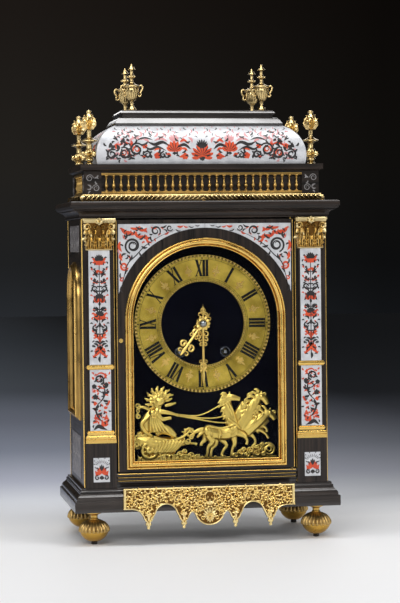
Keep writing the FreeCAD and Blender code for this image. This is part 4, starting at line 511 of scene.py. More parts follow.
class Graph:
    """A tree of shader nodes that grows node by node."""

    def __init__(self, tree):
        self.tree = tree

    def node(self, kind, sockets=None, settings=None, out=0):
        """Any node, with the values or links of its sockets, and its settings."""
        made = self.tree.nodes.new(f"ShaderNode{kind}")
        for key, value in (settings or {}).items():
            if key == "stops":
                ramp = made.color_ramp
                while len(ramp.elements) < len(value):
                    ramp.elements.new(0.5)
                for element, (position, colour) in zip(ramp.elements, value):
                    element.position = position
                    element.color = (*colour, 1)
            else:
                setattr(made, key, value)
        for key, value in (sockets or {}).items():
            self.put(made.inputs[key], value)
        return Link(self, made.outputs[out])

    def put(self, socket, value):
        if isinstance(value, Link):
            self.tree.links.new(value.socket, socket)
        elif socket.type == "RGBA":
            socket.default_value = (*value, 1)
        else:
            socket.default_value = value

    def math(self, operation, first, second):
        return self.node("Math", {0: first, 1: second}, {"operation": operation})

    def part(self, vector, axis):
        """One component of a vector, by its letter."""
        return self.node("SeparateXYZ", {0: vector}, out=axis)

    def ramp(self, value, *stops):
        return self.node("ValToRGB", {"Fac": value}, {"stops": stops})

    def span(self, value, low, high, new_low=0.0, new_high=1.0):
        """Stretch a value from one range to another, and hold it there."""
        return self.node("MapRange", {0: value, 1: low, 2: high, 3: new_low, 4: new_high})


class Finish(Graph):
    """A material being built round one Principled shader."""

    def __init__(self, name, **constants):
        self.material = bpy.data.materials.new(name)
        self.material.use_nodes = True
        super().__init__(self.material.node_tree)
        self.shader = self.tree.nodes["Principled BSDF"]
        self.feed(**constants)
        self.place = self.node("TexCoord", out="Object")

    def feed(self, **values):
        """Set or link the shader's sockets, named with underscores for spaces."""
        for key, value in values.items():
            self.put(self.shader.inputs[key.replace("_", " ")], value)

    def mix(self, factor, first, second):
        return self.node("Mix", {0: factor, 6: first, 7: second}, {"data_type": "RGBA"}, 2)

    def stretched(self, x, y, z):
        return self.node("Mapping", {"Vector": self.place, "Scale": (x, y, z)})

    def noise(self, scale, detail=4.0, vector=None, rough=0.55):
        return self.node("TexNoise", {
            "Vector": vector or self.place, "Scale": scale, "Detail": detail,
            "Roughness": rough})

    def bump(self, height, strength, distance, under=None):
        sockets = {"Height": height, "Strength": strength, "Distance": distance * MM}
        if under:
            sockets["Normal"] = under
        return self.node("Bump", sockets)


# %% [markdown]
# Ebony is nearly black, but never a flat black: it has long pores along the grain, brown
# streaks where the light catches it, and a wax polish. The grain runs up the stiles and along
# the mouldings, so the same finish is made for each direction by stretching its coordinates.

# %% Ebony
def ebony(name, along, wax=0.5, lacquer=1.5):
    wood = Finish(name, Coat_Roughness=0.08, Coat_IOR=lacquer, IOR=1.5,
                  Specular_IOR_Level=0.3 * wax)
    flow = wood.stretched(*[9.0 if axis == along else 260.0 for axis in "xyz"])
    grain = wood.noise(1.0, 8, flow, 0.62)
    pores = wood.noise(3.2, 3, flow, 0.7)
    cloud = wood.noise(14.0, 3)
    tone = wood.span(grain, 0.38, 0.68) * wood.span(cloud, 0.3, 0.75, 0.35, 1.0)
    wood.feed(
        Base_Color=wood.mix(tone, (0.011, 0.009, 0.008), (0.05, 0.034, 0.026)),
        Roughness=wood.span(grain, 0.3, 0.7, 0.24, 0.42),
        Coat_Weight=wood.span(cloud, 0.3, 0.7, 0.35 * wax, 0.65 * wax),
        Normal=wood.bump(pores, 0.22, 0.12),
    )
    return wood.material


ebony_upright = ebony("ebony_upright", "z")
ebony_level = ebony("ebony_level", "x")
ebony_deep = ebony("ebony_deep", "y")
ebony_waxed = ebony("ebony_waxed", "x", 1.3)
ebony_polished = ebony("ebony_polished", "x", 1.5, 2.0)
print("ebony in three grain directions, and two with more polish")

# %% [markdown]
# Fire-gilt bronze is warm and soft, burnished on the high places and matt in the hollows, where
# the chaser's punch has been. Pointiness tells ridges from hollows on the mesh. The hollows get a
# far darker colour, which is painted shade in the creases over the matt ground. Fine noise gives
# the punched ground.

# %% Gilt bronze
def gilt(name, colour=(0.98, 0.66, 0.19), hollow=(0.24, 0.11, 0.018), punch=0.35, rough=0.24,
         grain=900.0, crease=(0.44, 0.53)):
    metal = Finish(name, Metallic=1.0)
    ridge = metal.node("NewGeometry", out="Pointiness")
    high = metal.span(ridge, *crease)
    patina = metal.noise(38.0, 5)
    tone = high * 0.72 + metal.span(patina, 0.35, 0.7) * 0.28
    fine = metal.noise(grain, 2)
    dents = metal.noise(grain * 0.28, 3)
    under = metal.bump(dents, punch * 0.6, 0.25)
    # The hollow colour darkens creases and recesses: painted shade over the matt gilt ground.
    metal.feed(
        Base_Color=metal.mix(tone, hollow, colour),
        Roughness=metal.span(patina, 0.3, 0.75, rough, rough + 0.2),
        Normal=metal.bump(fine, punch, 0.06, under),
    )
    return metal.material


# In every grade the second colour is the painted shade of its hollows.
gilt_cast = gilt("gilt_cast")
gilt_plain = gilt("gilt_plain", hollow=(0.5, 0.27, 0.05), punch=0.1, rough=0.18)
gilt_chased = gilt("gilt_chased", punch=0.75, rough=0.3, grain=620.0)
brass_foot = gilt("brass_foot", (0.72, 0.43, 0.085), (0.16, 0.08, 0.018), 0.08, 0.16)
gilt_relief = gilt("gilt_relief", (1.0, 0.73, 0.19), (0.4, 0.21, 0.035), 0.9, 0.25, 620.0,
                   (0.465, 0.51))
# A very dark gilt for grounds behind relief: painted shade in the gaps between raised leaves.
gilt_shaded_ground = gilt("gilt_shaded_ground", (0.2, 0.1, 0.024), (0.1, 0.05, 0.014), 0.7, 0.36)
# A paler copy of the gilt with light hollows: painted light on the apron's foliage.
gilt_bright = gilt("gilt_bright", (1.0, 0.82, 0.4), (0.8, 0.52, 0.16), 0.8, 0.22)
# A darker, duller grade, used for the gallery and the side window frames.
gilt_darker = gilt("gilt_darker", (0.66, 0.42, 0.13), (0.1, 0.05, 0.012), 0.2, 0.22)
gilt_worn = gilt("gilt_worn", (0.66, 0.44, 0.16), (0.035, 0.022, 0.012), 0.3, 0.28)
gilt_capital = gilt("gilt_capital", (1.0, 0.81, 0.42), (0.2, 0.12, 0.05), 0.5,
                    crease=(0.455, 0.53))
gilt_pale = gilt("gilt_pale", (0.95, 0.72, 0.33), (0.08, 0.046, 0.016), 0.45, 0.2,
                 crease=(0.455, 0.53))
print("gilt bronze in eleven grades")

# %% [markdown]
# Marquetry of this kind is cut from thin sheets: a ground of pewter with leaves of black and
# red let into it. The pewter is grey and dull-polished, with fine scratches and engraver's
# nicks. The leaves are real thin pieces on this model, so each sheet gets a finish of its own.

# %% Marquetry sheets
def sheet(name, colour, shade, metallic, rough, nick=0.25):
    veneer = Finish(name, Metallic=metallic, Coat_Roughness=0.12)
    cloud = veneer.noise(120.0, 5)
    scratch = veneer.noise(1.0, 4, veneer.stretched(2600.0, 2600.0, 160.0))
    tone = veneer.span(cloud, 0.32, 0.7) * 0.7 + veneer.span(scratch, 0.35, 0.65) * 0.3
    veneer.feed(
        Base_Color=veneer.mix(tone, shade, colour),
        Roughness=veneer.span(cloud, 0.3, 0.7, rough, rough + 0.16),
        Coat_Weight=veneer.span(scratch, 0.3, 0.7, 0.1, 0.35),
        Normal=veneer.bump(scratch, nick, 0.05),
    )
    return veneer.material


pewter = sheet("pewter_ground", (0.7, 0.705, 0.72), (0.47, 0.48, 0.51), 0.25, 0.34)
pewter_aged = sheet("pewter_aged", (0.3, 0.28, 0.28), (0.11, 0.1, 0.105), 0.3, 0.36)
leaf_red = sheet("leaf_red", (0.72, 0.088, 0.016), (0.45, 0.034, 0.01), 0.0, 0.28, 0.12)
leaf_black = sheet("leaf_black", (0.022, 0.018, 0.018), (0.007, 0.006, 0.006), 0.0, 0.3, 0.12)
leaf_rose = sheet("leaf_rose", (0.62, 0.3, 0.3), (0.5, 0.2, 0.21), 0.0, 0.3, 0.12)
print("five marquetry sheets")

# %% [markdown]
# The dial stands on near-black velvet. Velvet takes its look from sheen, a pile that lights
# up at grazing angles, over a base that is almost without colour. Glass here is a thin pane:
# mostly transparent, with a mirror that grows towards grazing angles.

# %% Velvet, glass and movement metals
pile = Finish("velvet_pile", Sheen_Weight=0.012, Sheen_Roughness=0.4,
              Sheen_Tint=(0.2, 0.22, 0.45), Specular_IOR_Level=0.02)
nap = pile.noise(1500.0, 2)
brushed = pile.noise(26.0, 3)
pile.feed(
    Base_Color=pile.mix(pile.span(brushed, 0.35, 0.7),
                        (0.0008, 0.0008, 0.003), (0.0018, 0.002, 0.006)),
    Roughness=pile.span(nap, 0.3, 0.7, 0.8, 1.0),
    Normal=pile.bump(nap, 0.4, 0.15),
)
velvet = pile.material


def pane(name):
    thin = Finish(name, Base_Color=(1, 1, 1), IOR=1.45)
    dust = thin.noise(60.0, 4)
    thin.feed(Roughness=thin.span(dust, 0.3, 0.8, 0.02, 0.08))
    through = thin.node("BsdfTransparent", {"Color": (0.97, 0.985, 0.98)})
    gloss = thin.node("BsdfGlossy", {"Roughness": 0.03, "Color": (1, 1, 1)})
    edge = thin.node("Fresnel", {"IOR": 1.3})
    surface = thin.node("MixShader", {0: edge * 0.14, 1: through, 2: gloss})
    thin.put(thin.tree.nodes["Material Output"].inputs["Surface"], surface)
    return thin.material


clear_glass = pane("clear_glass")


def worked_metal(name, colour, worn, rough, flow=(900.0, 40.0, 900.0)):
    metal = Finish(name, Metallic=1.0)
    lines = metal.noise(1.0, 4, metal.stretched(*flow))
    cloud = metal.noise(45.0, 4)
    metal.feed(
        Base_Color=metal.mix(metal.span(cloud, 0.3, 0.72), worn, colour),
        Roughness=metal.span(lines, 0.3, 0.7, rough, rough + 0.18),
        Normal=metal.bump(lines, 0.15, 0.04),
    )
    return metal.material


movement_brass = worked_metal("movement_brass", (0.74, 0.52, 0.2), (0.52, 0.33, 0.1), 0.22)
bell_metal = worked_metal("bell_metal", (0.66, 0.55, 0.35), (0.45, 0.35, 0.2), 0.2, (60, 60, 900))
steel = worked_metal("polished_steel", (0.5, 0.51, 0.53), (0.33, 0.33, 0.35), 0.2, (900, 60, 900))
blued_steel = worked_metal("blued_steel", (0.1, 0.105, 0.125), (0.05, 0.05, 0.06), 0.22)
ring_brass = worked_metal("ring_brass", (0.84, 0.59, 0.11), (0.36, 0.24, 0.032), 0.34,
                          (420, 420, 420))
print("velvet, glass, brass, bell metal and steel")

# %% [markdown]
# The camera stands to the left of the clock and a little above its middle, far enough away
# that uprights stay upright. Its place was solved from the outline of the case.

# %% Camera
IMAGE_TALL = 603
FOCAL_PIXELS = 1987.7
CAMERA_AT = Vector((-0.4152, -2.4352, 0.3562))
YAW, PITCH, ROLL = (radians(angle) for angle in (9.82, 1.57, -0.60))
forward = Vector((sin(YAW) * cos(PITCH), cos(YAW) * cos(PITCH), -sin(PITCH)))
level_right = Vector((cos(YAW), -sin(YAW), 0))
level_up = level_right.cross(forward)
right = level_right * cos(ROLL) + level_up * sin(ROLL)
up = level_up * cos(ROLL) - level_right * sin(ROLL)
clear()
bpy.ops.object.camera_add()
camera = bpy.context.object
camera.data.sensor_width = 36
camera.data.lens = FOCAL_PIXELS / IMAGE_TALL * camera.data.sensor_width
camera.data.clip_end = 50
turn = Matrix((right, up, -forward)).transposed().to_4x4()
camera.matrix_world = Matrix.Translation(CAMERA_AT) @ turn
bpy.context.scene.camera = camera
bpy.context.scene.view_settings.view_transform = "Standard"
print("camera lens", round(camera.data.lens, 2))

# %% [markdown]
# A large soft box hangs over the roof, a second one fills the front, and a strip on the left
# draws the edges of the dark wood. The floor is pale by the clock. Further back and towards the
# right its colour is painted darker, as painted light falloff. The air behind the clock falls off
# to black, and is painted darker towards the right as well.

# %% Floor, air and lamps
def lamp(name, place, aim, size, power):
    clear()
    bpy.ops.object.light_add(type="AREA", location=place)
    item = bpy.context.object
    item.name = name
    item.data.shape = "RECTANGLE"
    item.data.size, item.data.size_y = size
    item.data.energy = power
    item.rotation_mode = "QUATERNION"
    item.rotation_quaternion = (Vector(aim) - Vector(place)).to_track_quat("-Z", "Y")


lamp("roof_box", (-0.1, -0.35, 1.75), (0, 0, 0.4), (1.7, 0.45), 18.0)
lamp("front_box", (-0.9, -2.4, 1.5), (0, 0, 0.3), (2.0, 1.0), 36.0)
lamp("right_fill", (1.7, -1.5, 0.9), (0, 0, 0.3), (0.9, 1.4), 10.0)
lamp("low_fill", (0.55, -2.6, 0.45), (0, 0, 0.22), (1.2, 0.8), 1.0)
lamp("left_strip", (-1.9, -0.2, 0.7), (-0.1, 0, 0.3), (0.5, 1.5), 6.5)
lamp("back_strip", (0.6, 1.9, 1.1), (0, 0, 0.35), (1.4, 1.0), 9.0)

clear()
bpy.ops.mesh.primitive_circle_add(vertices=96, radius=8.0, fill_type="NGON")
floor = bpy.context.object
floor.name = "floor"
paper = Finish("floor_paper", Roughness=0.6, Specular_IOR_Level=0.2)
right_of, behind = paper.part(paper.place, "X"), paper.part(paper.place, "Y")
# The floor's colour darkens behind the clock and towards the right: painted light falloff.
pale = paper.ramp(
    paper.span(behind, 0.1, 8.1),
    (0.0, (0.8, 0.8, 0.81)), (0.033, (0.68, 0.7, 0.75)), (0.063, (0.43, 0.45, 0.54)),
    (0.12, (0.22, 0.245, 0.315)), (0.195, (0.165, 0.18, 0.23)), (0.35, (0.185, 0.215, 0.26)),
    (0.466, (0.175, 0.205, 0.25)), (0.64, (0.15, 0.18, 0.22)), (0.9, (0.15, 0.175, 0.21)))
painted_falloff = paper.math("MAXIMUM", paper.span(right_of, -0.15, 0.75, 1.0, 0.2),
                 paper.span(behind, 0.1, 0.6, 1.0, 0.0))
paper.feed(Base_Color=paper.mix(painted_falloff, (0.004, 0.004, 0.005), pale))
floor.data.materials.append(paper.material)

world = bpy.data.worlds.new("studio_air")
bpy.context.scene.world = world
world.use_nodes = True
world.node_tree.nodes.clear()
air = Graph(world.node_tree)
rays = [air.node("LightPath", out=f"Is {kind} Ray")
        for kind in ("Camera", "Glossy", "Transmission")]
seen = air.math("MAXIMUM", air.math("MAXIMUM", rays[0], rays[1]), rays[2])
direction = air.node("TexCoord", out="Generated")
fall = air.ramp(
    air.span(air.part(direction, "Z"), -1, 1),
    (0.0, (0.5, 0.5, 0.51)), (0.44, (0.16, 0.17, 0.19)), (0.478, (0.023, 0.026, 0.031)),
    (0.495, (0.0137, 0.0144, 0.0152)), (0.52, (0.0159, 0.0144, 0.0123)),
    (0.56, (0.0116, 0.0091, 0.0075)))
# The backdrop is painted darker towards the right, as painted light falloff.
painted_side_falloff = air.span(air.part(direction, "X"), 0.08, 0.26, 1.0, 0.3)
ambient = air.node("Background", {"Color": (1, 1, 1), "Strength": 0.24})
backdrop = air.node("Background", {"Color": fall, "Strength": painted_side_falloff})
shown = air.node("MixShader", {0: seen, 1: ambient, 2: backdrop})
air.put(air.tree.nodes.new("ShaderNodeOutputWorld").inputs["Surface"], shown)
print("floor, six lamps and the air are set")

# %% [markdown]
# Every solid gets its finish here, by node name, also the ones that a finer piece stands for.
# Boards and stiles have upright grain, and mouldings have grain along their length.

# %% Finishes for the solids
FINISHES = {
    ebony_level: ["base_plinth", "door_sill", "cornice", "attic", "dome_cap"],
    ebony_upright: ["pilasters", "door_frame", "back_frame", "back_door"],
    ebony_deep: ["side_boards"],
    gilt_plain: ["pilaster_mouldings", "door_pivots", "door_lock", "side_window_frames",
                 "door_bezel", "back_door_knob", "leaf_moulding", "balustrades", "capitals",
                 "vase_finials", "bud_finials", "feet"],
    gilt_chased: ["base_apron", "chariot_group", "hour_hand", "minute_hand"],
    pewter: ["pilaster_panels", "spandrel_panels", "dome"],
    pewter_aged: ["side_panels"],
    clear_glass: ["door_glass", "side_window_panes"],
    velvet: ["dial_plate"],
    ring_brass: ["chapter_ring"],
    bell_metal: ["bell"],
    steel: ["verge", "pendulum_rod", "going_winding_arbor", "strike_winding_arbor",
            "going_mainspring", "strike_mainspring", "hammer", "cannon_pinion"],
    movement_brass: ["front_plate", "back_plate", "plate_pillars", "movement_cocks", "going_barrel",
                     "strike_barrel", "second_wheel", "centre_wheel", "contrate_wheel",
                     "crown_wheel", "minute_wheel", "hour_wheel", "pin_wheel", "hoop_wheel", "fly",
                     "count_wheel", "pendulum_bob"],
}
for material, names in FINISHES.items():
    for name in names:
        node = nodes[name]
        node.data.materials.clear()
        node.data.materials.append(material)
print("solids finished:", sum(len(names) for names in FINISHES.values()), "of", len(nodes))

# %% [markdown]
# Now the marquetry. The real panels are cut with a fretsaw from stacked sheets, so every leaf
# is a crisp flat shape. Here each leaf is a thin stroke that stands a tenth of a millimetre
# proud of its pewter ground. A panel is drawn once, flat, and then stood up at its places.

# %% Pilaster panels
PANEL_TONES = {"red": leaf_red, "black": leaf_black, "rose": leaf_rose}


class Panel:
    """One drawing in three sheets: red, black and rose."""

    def __init__(self, gain=1.3):
        self.red, self.black = Drawing(gain=gain), Drawing(high=0.17, gain=gain)
        self.rose = Drawing(high=0.12, gain=gain)

    def hand_over(self, name, places, body, slot, bend=None):
        for tone, material in PANEL_TONES.items():
            drawing = getattr(self, tone)
            if drawing.points:
                item = drawing.cut_out(f"{name}_{tone}")
                if bend:
                    bend(item)
                mounted(item, places, material, body=body, slot=slot)


def calyx(panel, y, size):
    """A flower seen from the side: black crown leaves and red petals that droop."""
    panel.black.fan(0, y, 90, 150, 7, 7.4 * size, 1.9 * size)
    for angle, length in ((20, 7.5), (-20, 7.8), (-55, 6.6)):
        panel.red.leaf(0.6, y + 1, angle, length * size, 2.7 * size, -0.18, 0.55, True)
    panel.red.leaf(0, y + 2, -90, 8 * size, 2.6 * size, 0)


def tendrils(panel, y, reach, lift):
    """A pair of black tendrils with buds at their ends."""
    panel.black.stroke([(0, y), (reach * 0.5, y + lift * 0.2), (reach, y + lift)], 1.3, 0.4, True)
    panel.black.pair(reach * 0.6, y + lift * 0.35, 75, 4.4, 1.7, 0.2)
    panel.red.pair(reach, y + lift, 60, 3.6, 1.9, 0.1)


tall = Panel()
red, black = tall.red, tall.black
black.line([(0, 6), (0, 60), (0, 118)], 0.75)
calyx(tall, 124, 1.05)
red.fan(0, 119, 90, 120, 5, 7.2, 2.6)
red.leaf(0, 113, -62, 8.5, 3, 0.2)
red.leaf(0, 112, -118, 6.5, 2.4, -0.2)
tendrils(tall, 108, 8.2, 4.5)
tendrils(tall, 98, 8.8, 3)
black.scroll(6.2, 90.5, 3.4, 180, -1.15, 1.5, True)
black.line([(-3, 93.4), (3, 93.4)], 1.2)
black.line([(-3, 87.8), (3, 87.8)], 1.2)
calyx(tall, 79, 0.95)
black.leaf(0, 70, 90, 6, 2.2, 0)
tendrils(tall, 66, 6.4, -2.6)
calyx(tall, 58, 1)
black.scroll(5, 43, 4.2, 95, -0.9, 1.5, True)
black.leaf(0, 44, 90, 7, 2.6, 0)
tendrils(tall, 36.5, 7.6, 2)
red.leaf(0, 26, 90, 12, 2.8, 0)
red.pair(0.5, 29, 40, 7, 2.4, 0.22)
black.pair(0.5, 24.5, 25, 6.6, 2, 0.25)
black.fan(0, 17, 90, 70, 3, 6.4, 2)
red.fan(0, 14, 90, 210, 9, 8.6, 2.5)
red.pair(1, 13, -35, 7.4, 2.6, 0.2)
black.leaf(0, 10.5, -90, 8, 2.4, 0.12)
for y, reach in ((104, 7.4), (84, 6.4), (63, 7.6), (50, 7), (21, 7.2)):
    black.pair(2.2, y, 35, reach, 2, 0.25)
    black.pair(1.6, y - 2.6, -30, reach * 0.7, 1.6, -0.25)
for y in (96, 73.5, 54, 33):
    red.pair(2, y, 20, 6.4, 2.2, 0.25)
    red.pair(5.4, y + 2.4, 75, 4, 1.7, 0.1)
strew((black, red, black), (4, 8), 2, 30, 4.1, 3.6, lambda x, y: x < 8.9, True)
print("tall panel:", black.strokes, "black strokes and", red.strokes, "red ones")

# %% [markdown]
# The lower half of each shaft shows a small tree that winds up from a mound, with flowers on
# its branches. It has no mirror line, so every branch is drawn by itself.

# %% Tree panel
tree = Panel()
red, black, rose = tree.red, tree.black, tree.rose
black.stroke([(-8, 0.6), (-2, 3.2), (3, 5.4), (9, 0.6)], 3.6, 0.55)
red.stroke([(-1.6, 1.5), (-2, 7), (-1.2, 13)], 2.8, 0.4, blunt=0.55)
black.stroke([(-1.2, 11), (3.4, 17), (5.8, 25), (3, 32), (-2.6, 37)], 1.7, 0.35)
black.stroke([(3.6, 31), (-3.2, 39), (-5.2, 47), (-2.6, 55), (2.4, 60)], 1.5, 0.4)
black.scroll(1.8, 61, 6.2, 250, -1.2, 1.5)
red.stroke([(-8.4, 61), (-4.6, 67.5), (1, 69), (5.6, 65)], 1.5, 0.5)
for x, y, angle, length in (
        (-3, 10, 150, 8), (-4, 13, 112, 7), (0.5, 12, 24, 9), (2, 15, 58, 7), (-3, 9, 205, 6),
        (3, 11, -20, 7)):
    red.leaf(x, y, angle, length, 2.7, 0.18)
for x, y, angle, length in (
        (5.6, 24, 30, 5.5), (5.2, 27, 110, 5), (4, 20, 160, 6), (-3, 37, 190, 6.4),
        (-5, 45, 150, 6), (-4.6, 42, 60, 5.6), (-3, 53, 170, 6.6), (0, 58, 95, 5)):
    black.leaf(x, y, angle, length, 2.3, 0.2)
for x, y, radius in ((6.4, 40.5, 3.6), (-7, 55, 2.8), (7.6, 53, 3)):
    for petal in range(5):
        black.leaf(x, y, 72 * petal + 20, radius, 2.2, 0, 0.6)
black.stroke([(-1, 36), (3, 38.6), (6.4, 40.5)], 1)
black.stroke([(-4.4, 44), (2, 48), (7.6, 53)], 1)
for x, y, angle, length in (
        (7.4, 30, 70, 6.2), (4.6, 32, 20, 5), (-6.4, 30, 120, 6.6), (-3.6, 27, 160, 5),
        (-1, 50, 35, 6), (-5, 63, 95, 6), (3.6, 46, 75, 4.6), (8.4, 61, 60, 4)):
    red.leaf(x, y, angle, length, 2.2, 0.16)
rose.leaf(-8.6, 44, 80, 5, 1.8)
rose.leaf(9.6, 46, 80, 5, 1.8)
strew((red, black, red), (-9.2, 7), 5, 15, 4.3, 3.8, lambda x, y: abs(x) < 9.3)
print("tree panel:", black.strokes, "black strokes and", red.strokes, "red ones")

# %% [markdown]
# The little panel of the pedestal holds one flower in a fan of leaves, mirrored like the tall
# panel. All three drawings are then stood up on both pilasters.

# %% Sprig panel, and all three in place
sprig = Panel(1.2)
red, black = sprig.red, sprig.black
red.fan(0, 10.5, 90, 220, 9, 8, 2)
red.pair(1, 10, -25, 7.6, 2, 0.2)
black.fan(0, 13, 90, 50, 3, 8.5, 1.6)
black.scroll(5.4, 5.4, 2.8, 120, -1.3, 1.3, True)
black.pair(2, 4, 150, 4, 1.4, 0.2)
black.fan(0, 8, -90, 90, 3, 5.4, 1.6)
black.pair(3.4, 14, 35, 5.6, 1.4, 0.25)
red.pair(7.4, 9, 80, 5, 1.6, 0.2)
for index in range(9):
    angle = radians(20 + index * 17.5)
    black.leaf(5.4 * cos(angle), 19.4 + 3.4 * sin(angle), degrees(angle), 4.2, 0.55, 0.1)
for x, y in ((7.4, 17), (3.4, 27.6), (8.2, 25), (8.6, 21)):
    black.pair(x, y, 60, 1.8, 1, 0)

PILASTER_X = 129.1
CASE_FRONT, SHAFT_SKIN, PEDESTAL_SKIN = -76, -79.8, -82.2
for name, panel, y, z in (
        ("tall_panel", tall, SHAFT_SKIN, 217), ("tree_panel", tree, SHAFT_SKIN, 138),
        ("sprig_panel", sprig, PEDESTAL_SKIN, 76.6)):
    panel.hand_over(name, both(at(PILASTER_X, y, z) @ FRONT_UP), "case", "pewter_marquetry")

# %% [markdown]
# The spandrels fill the corners above the arch. An acanthus scroll runs out of each corner
# and thins towards the crown, as the space does.

# %% Spandrels
ARCH_SPRING, ARCH_CLEAR = 269.3, 114.5
SPANDREL_END, SPANDREL_TOP = 101.5, 381.5
corner = Panel(1.15)
red, black, rose = corner.red, corner.black, corner.rose
black.stroke([(102.6, 306), (98, 325), (93.5, 338), (84, 347), (72, 359), (52, 371), (30, 379)],
             1.2, 0.4)
black.scroll(88, 358.5, 9.6, 290, 1.6, 2.3)
black.ring(88, 358.5, 4.4, 1.3, 24)
black.scroll(60, 376, 6, 230, -1.4, 1.9)
black.scroll(43, 379.4, 3.8, 200, 1.2, 1.4)
red.scroll(98.6, 334, 5, 200, 1.4, 2.2)
red.scroll(101.4, 318, 2.6, 150, -1.1, 1.5)
for x, y, angle, length, width in (
        (102, 380, 205, 15, 4.2), (95, 376.4, 190, 13, 3.8), (86, 374, 200, 13, 3.6),
        (77, 371, 192, 12, 3.4), (91, 380, 172, 12, 2.8), (81, 377.6, 168, 11, 2.6),
        (72, 367, 215, 9, 2.6), (103, 364, 262, 13, 3.2), (102.6, 350, 258, 10, 2.8),
        (70, 374, 20, 8, 2.2), (66, 381, 190, 8, 2), (34, 381.6, 175, 8, 2.2),
        (26, 381.8, 190, 6, 1.6), (50, 372, 150, 7, 2)):
    red.leaf(x, y, angle, length, width, 0.18)
for x, y, angle, length, width in (
        (97.6, 366, 100, 9, 2.2), (99.4, 358, 20, 5, 1.8), (96, 349, 330, 7, 2),
        (80, 350.6, 225, 7, 2), (77.6, 358, 190, 8, 2.2), (80, 366, 140, 7, 2),
        (95, 371, 150, 7, 1.8), (84, 381.6, 195, 9, 1.8), (54, 380.6, 160, 8, 1.9),
        (66, 370, 250, 7, 1.8), (46, 374, 40, 6, 1.6), (36, 378, 195, 7, 1.4),
        (20, 381.6, 185, 7, 1.3), (12, 382.6, 178, 6, 1), (93, 341, 120, 8, 2),
        (103, 342, 250, 8, 1.8), (94, 329.6, 300, 6, 1.6), (103, 326, 260, 7, 1.7),
        (102.8, 310, 255, 8, 1.5)):
    black.leaf(x, y, angle, length, width, 0.2)
rose.leaf(100, 372, 225, 9, 2, 0.2)
rose.leaf(104, 356, 265, 8, 1.8, 0.2)


def spandrel_room(x, y):
    """Whether a small leaf clears the scrolls, the arch and the panel's edges."""
    scrolls = ((88, 358.5, 12), (60, 376, 7.5), (43, 379.4, 5), (98.6, 334, 6.5))
    free = all(hypot(x - cx, y - cy) > reach for cx, cy, reach in scrolls)
    inside = x < SPANDREL_END and y < SPANDREL_TOP
    return free and inside and hypot(x, y - ARCH_SPRING) > ARCH_CLEAR


strew((red, black), (14, 304), 20, 16, 4.9, 4.4, spandrel_room)
SPANDREL_SKIN = -76.8
corner.hand_over("spandrel_leaves", both(at(0, SPANDREL_SKIN, 0) @ FRONT_UP), "front_door",
                 "pewter_marquetry")

# %% [markdown]
# The chapter ring is a flat brass band with Roman hours filled with black wax. Hours are built
# from bars, thick and thin, with small serifs, and each stands with its foot to the centre.
# A minute track, half-hour sprigs and a bright beaded edge finish the ring.

# %% Chapter ring
DIAL_Z = 263.2
RING_FACE = -53.5
RING_OUTER, RING_INNER = 84, 51
HOUR_FOOT, HOUR_TOP = 57.8, 77
MINUTE_FOOT, MINUTE_TOP = 78.4, 80.9
QUARTER_FOOT, QUARTER_TOP = 54.2, 56.2
OUTER_BEADS, INNER_BEADS, BEADS = 82.4, 52.2, 112
SPRIG_REACH = 63
dial_face = at(0, RING_FACE, DIAL_Z) @ FRONT_UP
hour_black = sheet("hour_black", (0.006, 0.005, 0.005), (0.003, 0.003, 0.003), 0, 0.6, 0.1)
wax_shader = hour_black.node_tree.nodes["Principled BSDF"]
wax_shader.inputs["Specular IOR Level"].default_value = 0.2

band = turned("ring_band", [
    (RING_INNER, 0), (RING_OUTER, 0), (RING_OUTER, 2), (RING_OUTER - 0.5, 2.6),
    (RING_OUTER - 1.3, 2.7), (RING_OUTER - 2.1, 2.5), (RING_OUTER - 2.4, 2.2),
    (RING_INNER + 2, 2.2), (RING_INNER + 1.7, 2.6), (RING_INNER + 1, 2.8), (RING_INNER + 0.3, 2.6),
    (RING_INNER, 2), (RING_INNER, 0)], 128)
band.data.transform(at(0, RING_FACE + 2.5, DIAL_Z) @ FRONT_UP)
finished(band, "case", "dial_brass", ring_brass, "chapter_ring")

HOURS = ["I", "II", "III", "IIII", "V", "VI", "VII", "VIII", "IX", "X", "XI", "XII"]
WIDE = {"I": 4, "V": 8.2, "X": 8.2}
THICK, THIN, SERIF = 3, 1, 0.9
filling = Drawing(-0.2, 0.42)
bright = Drawing(-0.2, 0.9)


def hour_bar(turn, x0, y0, x1, y1, width):
    """One bar of an hour, in the hour's own upright frame, turned to its place on the ring."""
    a = radians(turn)
    ends = [(x * cos(a) + y * sin(a), y * cos(a) - x * sin(a))
            for x, y in ((x0, y0), (x1, y1))]
    filling.line(ends, width)


for number, letters in enumerate(HOURS, 1):
    turn = number * 30
    x = -sum(WIDE[letter] for letter in letters) / 2
    for letter in letters:
        wide = WIDE[letter]
        left, middle, right = x + 0.9, x + wide / 2, x + wide - 0.9
        if letter == "I":
            hour_bar(turn, middle, HOUR_FOOT, middle, HOUR_TOP, THICK)
            feet_at = [(middle, HOUR_FOOT), (middle, HOUR_TOP)]
        elif letter == "V":
            hour_bar(turn, left + 0.4, HOUR_TOP, middle, HOUR_FOOT, THICK)
            hour_bar(turn, right, HOUR_TOP, middle, HOUR_FOOT, THIN)
            feet_at = [(left + 0.4, HOUR_TOP), (right, HOUR_TOP)]
        else:
            hour_bar(turn, left + 0.5, HOUR_TOP, right - 0.5, HOUR_FOOT, THICK)
            hour_bar(turn, right, HOUR_TOP, left, HOUR_FOOT, THIN)
            feet_at = [(left + 0.4, HOUR_TOP), (right, HOUR_TOP), (left, HOUR_FOOT),
                       (right - 0.4, HOUR_FOOT)]
        for foot_x, foot_y in feet_at:
            hour_bar(turn, foot_x - 1.8, foot_y, foot_x + 1.8, foot_y, SERIF)
        x += wide
for radius in (MINUTE_FOOT, MINUTE_TOP, QUARTER_FOOT, QUARTER_TOP):
    filling.ring(0, 0, radius, 0.25, 96)
